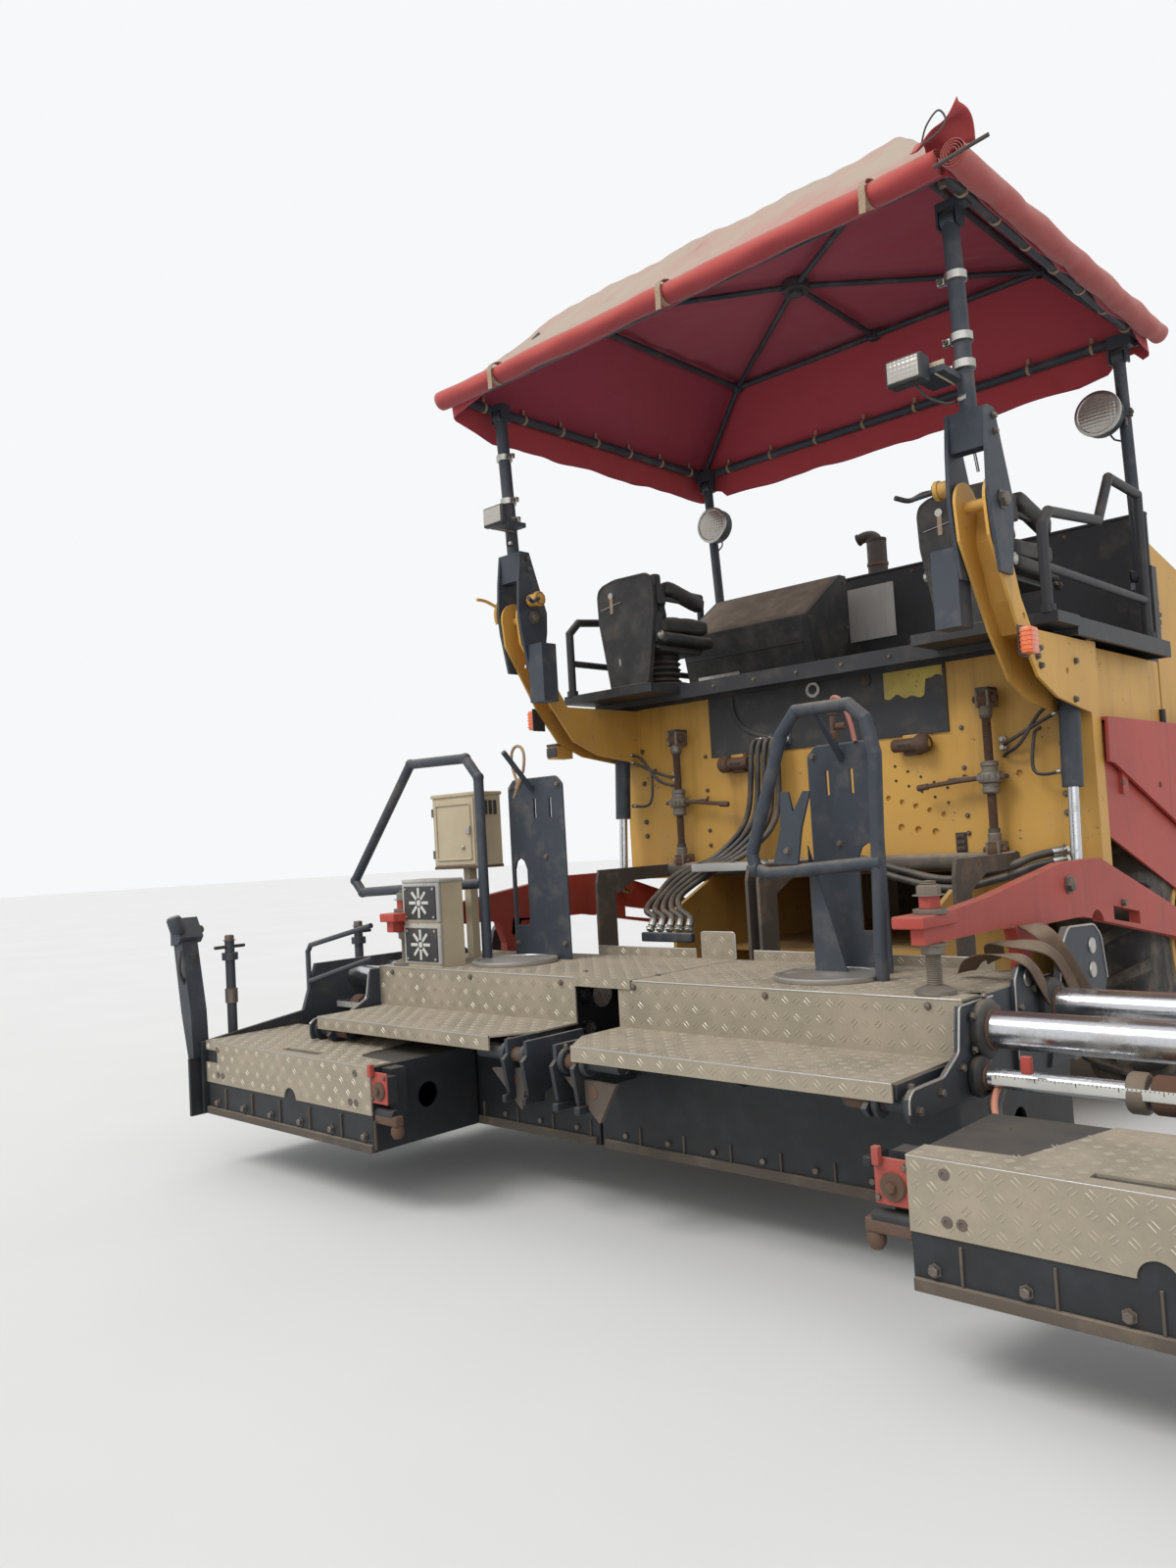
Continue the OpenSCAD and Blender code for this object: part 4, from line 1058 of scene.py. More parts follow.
@dataclass
class Stage:
    """Camera at the photograph's place, pale floor and soft light.

    A lamp is its name, its strength, its width in degrees and its turns about x, y and z.
    """

    eye: Triple = (2.2642, -5.4525, 1.239)
    yaw: float = 43.38
    pitch: float = 2.80
    roll: float = -3.25
    lens: float = 26.08
    sensor: float = 36.0
    clip_end: float = 200.0
    floor_rings: Triple = (0.01, 8.0, 60.0)
    floor_colors: tuple[Triple, Triple] = ((0.62, 0.61, 0.59), (0.68, 0.67, 0.65))
    seen_color: Triple = (0.93, 0.94, 0.95)
    sky_color: Triple = (0.93, 0.96, 1.0)
    sky_strength: float = 0.85
    lamps: tuple = (("Sun", 1.6, 25.0, (38, 12, -35)), ("Fill", 0.5, 60.0, (60, 0, 35)))

    def camera(self) -> None:
        """Turns yaw, pitch and roll into the camera's three axes."""
        yaw, pitch, roll = (math.radians(v) for v in (self.yaw, self.pitch, self.roll))
        ahead = np.array([-math.sin(yaw) * math.cos(pitch), math.cos(yaw) * math.cos(pitch),
                          math.sin(pitch)])
        right = unit(np.cross(ahead, UP))
        up = np.cross(right, ahead)
        across = right * math.cos(roll) + up * math.sin(roll)
        upward = -right * math.sin(roll) + up * math.cos(roll)
        data = bpy.data.cameras.new("Camera")
        data.lens, data.sensor_width, data.clip_end = self.lens, self.sensor, self.clip_end
        cam = bpy.data.objects.new("Camera", data)
        matrix = np.eye(4)
        matrix[:3] = np.stack([across, upward, -ahead, self.eye], 1)
        cam.matrix_world = Matrix(matrix.tolist())
        bpy.context.scene.collection.objects.link(cam)
        bpy.context.scene.camera = cam

    def floor(self) -> None:
        """A wide pale disc with a soft tone."""
        sides = 96
        a = even_angles(sides)
        ring = np.stack([np.cos(a), np.sin(a), 0 * a], 1)
        points = np.vstack([ring * r for r in self.floor_rings])
        mesh = bpy.data.meshes.new("Floor")
        mesh.from_pydata(points.tolist(), [], grid_faces(3, sides, True, True)
                         + [list(range(sides))])
        g = Graph("Floor")
        mesh.materials.append(g.shade(g.mix(g.noise(0.8, 5.0), *self.floor_colors), 0.9))
        obj = bpy.data.objects.new("Floor", mesh)
        bpy.context.scene.collection.objects.link(obj)

    def light(self) -> None:
        """An even sky that camera, shine and glass see paler than it lights, and two lamps."""
        world = bpy.data.worlds.new("Sky")
        bpy.context.scene.world = world
        g = Graph("Sky", world)
        camera, glossy, through = (g.add("ShaderNodeLightPath", out=f"Is {kind} Ray")
                                   for kind in ("Camera", "Glossy", "Transmission"))
        seen = g.add("ShaderNodeBackground", {}, {0: (*self.seen_color, 1)})
        sky = g.add("ShaderNodeBackground", {}, {0: (*self.sky_color, 1), 1: self.sky_strength})
        mixed = g.add("ShaderNodeMixShader", {}, {0: camera.max(glossy).max(through), 1: sky,
                                                  2: seen})
        g.add("ShaderNodeOutputWorld", {}, {0: mixed})
        for name, energy, angle, turn in self.lamps:
            lamp = bpy.data.lights.new(name, "SUN")
            lamp.energy, lamp.angle = energy, math.radians(angle)
            obj = bpy.data.objects.new(name, lamp)
            obj.rotation_euler = [math.radians(v) for v in turn]
            bpy.context.scene.collection.objects.link(obj)

    def build(self) -> None:
        """Sets up camera, floor, light and the view transform."""
        bpy.context.scene.view_settings.view_transform = "Standard"
        self.camera()
        self.floor()
        self.light()


# ----------------------------------------------------------------------- canopy


@dataclass
class Assembly:
    """A group of pieces of the machine, dressed from one palette."""

    palette: Palette


@dataclass
class Canopy(Assembly):
    """The tarpaulin roof: one sheet over hub, ring and edge tubes, two rolled curtains, ties."""

    edge: tuple[float, float, float, float] = (-1197.0, 1197.0, 463.0, 2327.0)
    ring: tuple[float, float, float, float] = (-854.0, 854.0, 871.0, 2219.0)
    hub: tuple[float, float, float, float] = (-75.0, 75.0, 1425.0, 1575.0)
    edge_z: float = 3268.0
    ring_z: float = 3661.0
    hub_z: float = 3683.0
    skirt_z: float = 3112.0
    tuck_z: float = 3216.0
    roll_d: float = 94.0
    roll_y: float = 420.0
    roll_x: float = 1240.0
    roll_z: float = 3240.0
    strap_x: tuple[float, ...] = (952.0, 110.0, -819.0)
    side_pinches: tuple[float, ...] = (0.03, 0.25, 0.5, 0.72, 0.96)
    middle_y: float = 1395.0
    per_side: int = 72
    flat_of: dict[str, Pair] = field(default_factory=dict)

    def loop(self, rect: tuple[float, float, float, float], corner: float) -> np.ndarray:
        """Walks a rectangle counterclockwise with the same number of points on each side.

        A point is clipped to the rectangle less its corner radius, and stands off that by the
        radius, which rounds the corners.

        Args:
            rect: lowest and highest x, lowest and highest y.
            corner: radius of the corners.
        Returns:
            (points, 2) array.
        """
        x0, x1, y0, y1 = rect
        t = np.arange(self.per_side) / self.per_side
        side = [np.stack([x0 + (x1 - x0) * t, y0 + 0 * t], 1),
                np.stack([x1 + 0 * t, y0 + (y1 - y0) * t], 1),
                np.stack([x1 + (x0 - x1) * t, y1 + 0 * t], 1),
                np.stack([x0 + 0 * t, y1 + (y0 - y1) * t], 1)]
        p = np.vstack(side)
        core = np.clip(p, [x0 + corner, y0 + corner], [x1 - corner, y1 - corner])
        return core + unit(p - core) * corner

    def tops(self) -> np.ndarray:
        """The sheet's points: rows from the hub out over ring and edge and down the skirt.

        From hub to ring and from ring to edge, place and height run evenly and hang through by
        a half sine, most in the middle of a side; the edge's middle is pulled in as well. The
        skirt falls straight to its hem, whose height is averaged round the corners. Ripples
        raise the roof away from the tubes, and sines of the angle round the machine sway the
        skirt in and out.

        Returns:
            (rows, points round, 3) array in drawing millimetres.
        """
        hub, ring, edge = self.loop(self.hub, 40), self.loop(self.ring, 30), self.loop(self.edge,
                                                                                       26)
        n = self.per_side
        along = (np.arange(4 * n) % n) / n
        belly = np.sin(np.pi * along)
        middle = np.array([0.0, 1500.0])
        rows = [np.column_stack([middle + (hub - middle) * s, np.full(4 * n, self.hub_z)])
                for s in (0.02, 0.5, 1.0)]
        for t in np.linspace(0, 1, 13)[1:]:
            z = self.hub_z + (self.ring_z - self.hub_z) * t - 9 * np.sin(np.pi * t) * belly
            rows.append(np.column_stack([hub + (ring - hub) * t, z]))
        for t in np.linspace(0, 1, 23)[1:]:
            sag = 16 * np.sin(np.pi * t) * belly
            flat = ring + (edge - ring) * t
            pull = unit(middle - flat) * (sag * 0.5)[:, None]
            z = self.ring_z + (self.edge_z - self.ring_z) * t + 5 * np.sin(np.pi * t) - sag * 0.2
            rows.append(np.column_stack([flat + pull, z]))
        low = np.repeat([self.tuck_z, self.tuck_z, self.skirt_z, self.skirt_z], n).astype(float)
        low = np.convolve(np.concatenate([low[-9:], low, low[:9]]), np.ones(19) / 19, "valid")
        low = low + 46 * np.exp(-((np.abs(edge[:, 0]) - 1100) / 42) ** 8) * (edge[:, 1] > 2300)
        for t in np.linspace(0, 1, 12)[1:]:
            z = self.edge_z - 6 - (self.edge_z - 6 - low) * t
            rows.append(np.column_stack([edge, z]))
        grid = np.stack(rows)
        x, y, z = grid[..., 0], grid[..., 1], grid[..., 2]
        out = unit(grid[..., :2] - middle)
        level = np.arange(len(rows))[:, None]
        roof = np.clip((level - 4) / 6, 0, 1) * np.clip((37 - level) / 5, 0, 1)
        grid[..., 2] = z + roof * (5 + 8 * ripple(x, y, 460, 1.3) + 3.5 * ripple(x, y, 140, 4.0))
        hang = np.clip((level - 38) / 10, 0, 1)
        around = np.arctan2(y - self.middle_y, x)
        wave = np.sin(around * 31 + np.sin(around * 9) * 1.5) * 7 + np.sin(around * 11 + 1) * 6
        grid[..., :2] += out * (hang * np.clip(wave, -9, 9) * (z < self.tuck_z + 30))[..., None]
        grid[..., 2] -= hang * (2 + 5 * np.sin(around * 17 + 2)) * (z < self.tuck_z)
        return grid

    def rolled(self, name: str, start: Triple, finish: Triple, material: bpy.types.Material,
               pinches: Sequence[float], turns: float = 4.0) -> bpy.types.Object:
        """A curtain rolled up along an edge.

        Its section is a spiral whose radius grows evenly with the angle; the radius shrinks near
        each tie and swells between them, and the middle line sags a little between the ties.

        Args:
            name: the new object's name.
            start: one end of its middle line.
            finish: the other end.
            material: its finish.
            pinches: places of the ties, as shares of the length.
            turns: turns of the spiral.
        Returns:
            The object.
        """
        start, finish = np.asarray(start, float), np.asarray(finish, float)
        length = float(np.linalg.norm(finish - start))
        ahead = (finish - start) / length
        side = np.cross([0, 0, 1.0], ahead)
        s = np.linspace(0, 1, 110)
        pinch = sum(np.exp(-((s - p) * length / 34) ** 2) for p in pinches)
        size = 1 - 0.07 * pinch + 0.025 * np.sin(s * 23) + 0.02 * np.sin(s * 61 + 1)
        sag = -5 * np.abs(np.sin(np.pi * s * (len(pinches) + 1)))
        a = np.linspace(0, turns * 2 * np.pi, int(turns * 26))
        r = 12 + (self.roll_d / 2 - 15) * a / a[-1]
        r = r[None] * size[:, None] + 1.6 * np.sin(3 * a)[None] * np.sin(s * 40)[:, None]
        angle = a[None] + 0.35 * np.sin(s * 7)[:, None]
        grid = (start + (finish - start) * s[:, None])[:, None] + np.zeros((1, len(a), 1))
        grid = grid + (r * np.cos(angle))[..., None] * side + (r * np.sin(angle)
                                                               + sag[:, None])[..., None] * [0, 0,
                                                                                             1.0]
        hint = np.cos(angle)[..., None] * side + np.sin(angle)[..., None] * np.array([0, 0, 1.0])
        mesh = sheet_mesh(name, grid, False, material, hint)
        obj = shown(name, mesh, "canopy_roof", 60)
        width = mesh_area(mesh) / (length / 1000)
        solidify(obj, 0.0016)
        self.flat_of[name] = (round(length / 1000, 3), round(width, 3))
        return obj

    def build(self) -> None:
        """Makes the sheet, the rolls, their straps and ties, and the corner flap."""
        grid = self.tops()
        middle = np.array([0.0, self.middle_y, 2600.0])
        mesh = sheet_mesh("Canopy_sheet", grid, True, self.palette[Slot.SHEET], grid - middle)
        work = bmesh.new()
        work.from_mesh(mesh)
        work.verts.ensure_lookup_table()
        work.faces.new([work.verts[k] for k in range(grid.shape[1])])
        bmesh.ops.recalc_face_normals(work, faces=work.faces)
        work.to_mesh(mesh)
        work.free()
        mesh.polygons.foreach_get("normal", flat := np.zeros(3 * len(mesh.polygons), np.float32))
        if flat.reshape(-1, 3)[: 4 * self.per_side * 8, 2].mean() < 0:
            mesh.flip_normals()
        sheet = shown("Canopy_sheet", mesh, "canopy_roof", 50)
        step = np.linalg.norm(np.diff(grid, axis=0), axis=2).sum(0) / 1000
        n = self.per_side
        width = float(step[n // 2] + step[2 * n + n // 2])
        length = float(step[n + n // 2] + step[3 * n + n // 2])
        area = min(mesh_area(mesh), width * length)
        solidify(sheet, 0.003)
        half = self.roll_d / 2
        rear = self.rolled("Rear_curtain_roll", (self.edge[0], self.roll_y, self.roll_z),
                           (1190, self.roll_y, self.roll_z), self.palette[Small.CURTAIN],
                           [(x - self.edge[0]) / 2387 for x in self.strap_x])
        right = self.rolled("Right_curtain_roll", (self.roll_x, 402, self.roll_z),
                            (self.roll_x, 2328, self.roll_z), self.palette[Small.FADED_CURTAIN],
                            self.side_pinches)
        straps = Bag("Roll_straps")
        flat_strap = np.array([[-1.3, -12], [1.3, -12], [1.3, 12], [-1.3, 12]])
        y0, z0 = self.roll_y, self.roll_z
        for x in self.strap_x:
            path = smooth_path([(x, y0 + 140, z0 + 122), (x, y0 + 80, z0 + 76),
                                (x, y0 + 35, z0 + 52), (x, y0, z0 + half + 1),
                                (x, y0 - 35, z0 + 32), (x, y0 - 50, z0), (x, y0 - 48, z0 - 28),
                                (x - 4, y0 - 44, z0 - 75)], 30)
            straps.sweep(path, flat_strap, self.palette[Small.PALE_STRAP], (0, -0.5, 1))
            around = np.linspace(0, 2 * np.pi, 28)
            ring = np.stack([x + 0 * around, y0 + (half - 2) * np.cos(around),
                             z0 + (half - 2) * np.sin(around)], 1)
            straps.sweep(ring, flat_strap * 0.8, self.palette[Small.PALE_STRAP], AHEAD)
            straps.lathe([(13, 0), (15, 3), (9, 6), (0, 7)], (x, y0 + 125, z0 + 112),
                         (0, -0.6, 0.8), self.palette[Small.STRAP], 16)
        straps_obj = straps.build("canopy_roof")
        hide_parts("canopy_cloth")
        self.fittings()
        self.flap()

    def fittings(self) -> None:
        """Tie clips along the edge tubes, the hooked bar's end and the ring's cross fittings."""
        bag = Bag("Canopy_fittings")
        pale = self.palette[Small.PALE_STRAP]
        clip = [(22, -7), (24.5, -6), (24.5, 6), (22, 7)]
        side_x, front_y, tube_z = 1160, 2290, 3250
        for s in (-1, 1):
            x = s * side_x
            for y in np.linspace(640, 2160, 7):
                bag.lathe(clip, (x, y, tube_z), AHEAD, pale, 20)
                bag.block((x - 3, y - 7, tube_z + 22), (x + 3, y + 7, tube_z + 50), pale, 1)
        for x in np.linspace(-980, 980, 8):
            bag.lathe(clip, (x, front_y, tube_z), RIGHT, pale, 20)
            bag.block((x - 7, front_y - 3, tube_z + 22), (x + 7, front_y + 3, tube_z + 50), pale, 1)
        bag.tube([(-810, 900, 3630), (-850, 870, 3606), (-880, 800, 3560), (-895, 740, 3500),
                  (-880, 700, 3475), (-850, 690, 3480), (-835, 705, 3500)], 24,
                 self.palette[Slot.SLATE], count=36, sides=12)
        for x, y in ((820, 900), (-820, 900), (820, 2190), (-820, 2190), (0, 2190), (0, 1500)):
            bag.lathe([(24, -20), (30, -16), (30, 12), (20, 20), (0, 20)], (x, y, 3626), DOWN,
                      self.palette[Slot.SLATE], 20)
        for s in (-1, 1):
            for y in (500, front_y):
                for e in (-1, 1):
                    bag.bolt((s * side_x, y, tube_z + e * 35), (0, 0, e), 24,
                             self.palette[Small.BOLT])
        bag.build("canopy_roof")

    def flap(self) -> None:
        """The sheet's loose rear right corner, drawn up over the tube by a cord.

        A grid over the corner: its height rises with the distance from the diagonal fold, and the
        tip curls inwards.
        """
        u, v = np.meshgrid(np.linspace(0, 1, 22), np.linspace(0, 1, 18), indexing="ij")
        x = 1128 + 150 * u + 8 * np.sin(5 * v)
        y = 470 - 96 * v + 22 * u
        crest = 34 * np.sin(np.pi * np.clip(v * 1.1, 0, 1))
        z = 3285 + crest + 105 * u ** 1.6 * v ** 0.8 + 9 * np.sin(9 * u + 4 * v)
        grid = np.stack([x, y, z], -1)
        mesh = sheet_mesh("Corner_flap", grid, False, self.palette[Small.CURTAIN],
                          np.zeros_like(grid) + [0.2, -0.4, 1.0])
        obj = shown("Corner_flap", mesh, "canopy_roof", 60)
        area = mesh_area(mesh)
        solidify(obj, 0.002)
        cord = Bag("Corner_tie")
        cord.tube([(1150, 392, 3296), (1180, 372, 3335), (1222, 368, 3362), (1240, 376, 3326),
                   (1210, 372, 3296), (1160, 376, 3288)], 6, self.palette[Small.CORD], count=40,
                  sides=8)
        cord.tube([(1196, 366, 3196), (1300, 362, 3206), (1372, 360, 3212)], 13,
                  self.palette[Small.CORD], count=12, sides=8)
        tie = cord.build("canopy_roof")


# ------------------------------------------------------------- posts, arms, lamps


@dataclass
class Posts(Assembly):
    """Rear posts with clamps, gas struts and work lamps; front posts with round lamps."""

    post_x: float = 1095.0
    lamp_z: float = 2680.0

    def build(self) -> None:
        """Dresses both rear posts and both front posts."""
        rear, front = Bag("Rear_post_details"), Bag("Front_post_details")
        for s in (-1, 1):
            self.rear_post(rear, s)
            self.front_post(front, s)
        rear.build("canopy_rear")
        front.build("canopy_front")

    def rear_post(self, bag: Bag, s: int) -> None:
        """Clamps with wing nuts, gas strut, leaf plate bolts, rectangular lamp.

        Args:
            bag: where the shapes go.
            s: -1 on the left, 1 on the right.
        """
        x = s * self.post_x
        for z in (2713, 2803, 3003):
            t = (z - 2550) / 640
            y = 717 - t * 35
            bag.lathe([(31, -15), (37, -13), (37, 13), (31, 15)], (x, y, z), UP,
                      self.palette[Small.SILVER], 28)
            bag.block((x - s * 34, y - 9, z - 11), (x - s * 62, y + 9, z + 11),
                      self.palette[Small.SILVER], 2)
            bag.bolt((x - s * 50, y - 9, z), BACK, 17, self.palette[Small.BOLT])
            bag.block((x - s * 47, y - 32, z - 3), (x - s * 53, y - 16, z + 3),
                      self.palette[Small.BOLT], 1)
        bag.tube([(x - s * 6, 700, 2600), (x - s * 6, 738, 2482)], 24, self.palette[Slot.BLACK],
                 sides=18)
        bag.tube([(x - s * 6, 738, 2482), (x - s * 6, 772, 2375)], 11, self.palette[Slot.CHROME],
                 sides=14)
        bag.lathe([(0, -14), (13, -14), (15, 0), (13, 14), (0, 14)], (x - s * 6, 697, 2606), RIGHT,
                  self.palette[Small.SILVER], 16)
        for side, out in ((1018, -1), (1169, 1)):
            for y, z, width in ((752, 2260, 30), (735, 2480, 20), (730, 2530, 20)):
                bag.bolt((s * side, y, z), (s * out, 0, 0), width, self.palette[Small.BOLT])
        bag.lathe([(20, 0), (29, 2), (29, 46), (34, 48), (34, 62), (22, 70), (0, 70)],
                  (s * 1018, 735, 2335), (-s, 0, 0), self.palette[Slot.YELLOW], 28)
        bag.tube([(s * 962, 735, 2335), (s * 930, 690, 2325), (s * 905, 640, 2300),
                  (s * 880, 590, 2306)], 17, self.palette[Slot.BLACK], count=14, sides=12)
        low, high = sorted((s * 925, s * 1045))
        z = self.lamp_z
        bag.block((low - 4, 497, z - 44), (high + 4, 530, z + 44), self.palette[Slot.BLACK], 10)
        bag.block((low + 6, 492, z - 35), (high - 6, 499, z + 35), self.palette[Small.GLASS], 4)
        for k in range(7):
            bag.block((low + 8 + k * 15, 558, z - 34), (low + 13 + k * 15, 568, z + 34),
                      self.palette[Small.SILVER], 1)
        bag.block((s * 1030, 566, z - 16), (s * 1092, 572, z + 20), self.palette[Slot.CREAM], 2)
        bag.block((s * 1060, 560, z - 24), (s * 1066, 700, z + 16), self.palette[Slot.CREAM], 2)
        bag.bolt((s * 985, 528, z + 43), UP, 16, self.palette[Small.BOLT])
        bag.tube([(s * 985, 562, z - 10), (s * 1000, 600, z - 60), (s * 1050, 640, z - 95),
                  (s * 1066, 700, z - 80)], 9, self.palette[Slot.HOSE], count=20, sides=8)

    def front_post(self, bag: Bag, s: int) -> None:
        """Round lamp: bowl behind, bright rim, fluted glass in front; clamp with wing nut.

        Args:
            bag: where the shapes go.
            s: -1 on the left, 1 on the right.
        """
        cx, cz = s * 1025.0, 2919.0
        bag.lathe([(0, 66), (30, 64), (62, 48), (84, 14), (92, -2), (92, -8), (86, -12), (80, -10)],
                  (cx, 2165, cz), AHEAD, self.palette[Slot.BLACK], 48)
        bag.lathe([(93, -2), (97, -6), (95, -14), (84, -16), (80, -12)], (cx, 2165, cz), AHEAD,
                  self.palette[Small.SILVER], 48)
        bag.lathe([(0, -21), (30, -20), (60, -17), (82, -12)], (cx, 2165, cz), AHEAD,
                  self.palette[Small.GLASS], 48)
        bag.lathe([(27, -18), (34, -16), (34, 16), (27, 18)], (s * 1100, 2255, cz), (0, 0.08, -1),
                  self.palette[Slot.BLACK], 24)
        bag.block((s * 1108, 2225, cz - 60), (s * 1116, 2262, cz - 20), self.palette[Small.BOLT], 2)
        bag.bolt((s * 1130, 2245, cz - 3), (s, 0, 0), 18, self.palette[Small.BOLT])
        bag.tube([(cx, 2228, cz - 20), (cx + s * 20, 2270, cz - 90), (s * 1092, 2285, cz - 130),
                  (s * 1104, 2290, 2600)], 8, self.palette[Slot.HOSE], count=20, sides=8)


@dataclass
class Arms(Assembly):
    """The canopy arms: pivot bolts, flange bolts, lamps, and the left arm's half ring."""

    pivot: tuple[float, float] = (752.0, 2260.0)

    def build(self) -> None:
        """Both arms' fittings in one piece."""
        bag = Bag("Arm_details")
        y, z = self.pivot
        for s in (-1, 1):
            bag.bolt((s * 1170, y, z), (s, 0, 0), 52, self.palette[Small.BOLT], 20)
            bag.bolt((s * 1020, y, z), (-s, 0, 0), 52, self.palette[Small.BOLT], 18)
            for p, q in ((1300, 1640), (1330, 1780), (1010, 1800), (1010, 1740), (985, 1770)):
                bag.bolt((s * 1150, p, q), (s, 0, 0), 22, self.palette[Small.BOLT])
            low, high = sorted((s * 1152, s * 1193))
            bag.block((low, 842, 1765), (high, 908, 1856), self.palette[Small.AMBER], 9)
            for k in range(5):
                bag.block((low - 1, 840, 1778 + k * 15), (high + 1, 910, 1782 + k * 15),
                          self.palette[Small.AMBER], 1.5)
            bag.block((s * 1149, 836, 1758), (s * 1154, 914, 1863), self.palette[Slot.BLACK], 3)
        bag.block((-1219, 981, 1690), (-1149, 1094, 1704), self.palette[Slot.SLATE], 4)
        bag.block((-1217, 979, 1640), (-1151, 985, 1686), self.palette[Slot.BLACK], 3)
        bag.bolt((-1183, 1040, 1704), UP, 16, self.palette[Small.BOLT])
        a = np.linspace(-0.35 * np.pi, 1.15 * np.pi, 30)
        ring = np.stack([-1180 + 0 * a, y + 88 * np.cos(a), z + 30 + 88 * np.sin(a)], 1)
        bag.tube(ring, 17, self.palette[Slot.YELLOW], sides=14)
        bag.tube([(-1180, y - 80, z + 70), (-1200, y - 130, z + 95), (-1205, y - 175, z + 98)], 15,
                 self.palette[Slot.YELLOW], count=10, sides=12)
        bag.build("tractor")


# ------------------------------------------------------------- seats and console


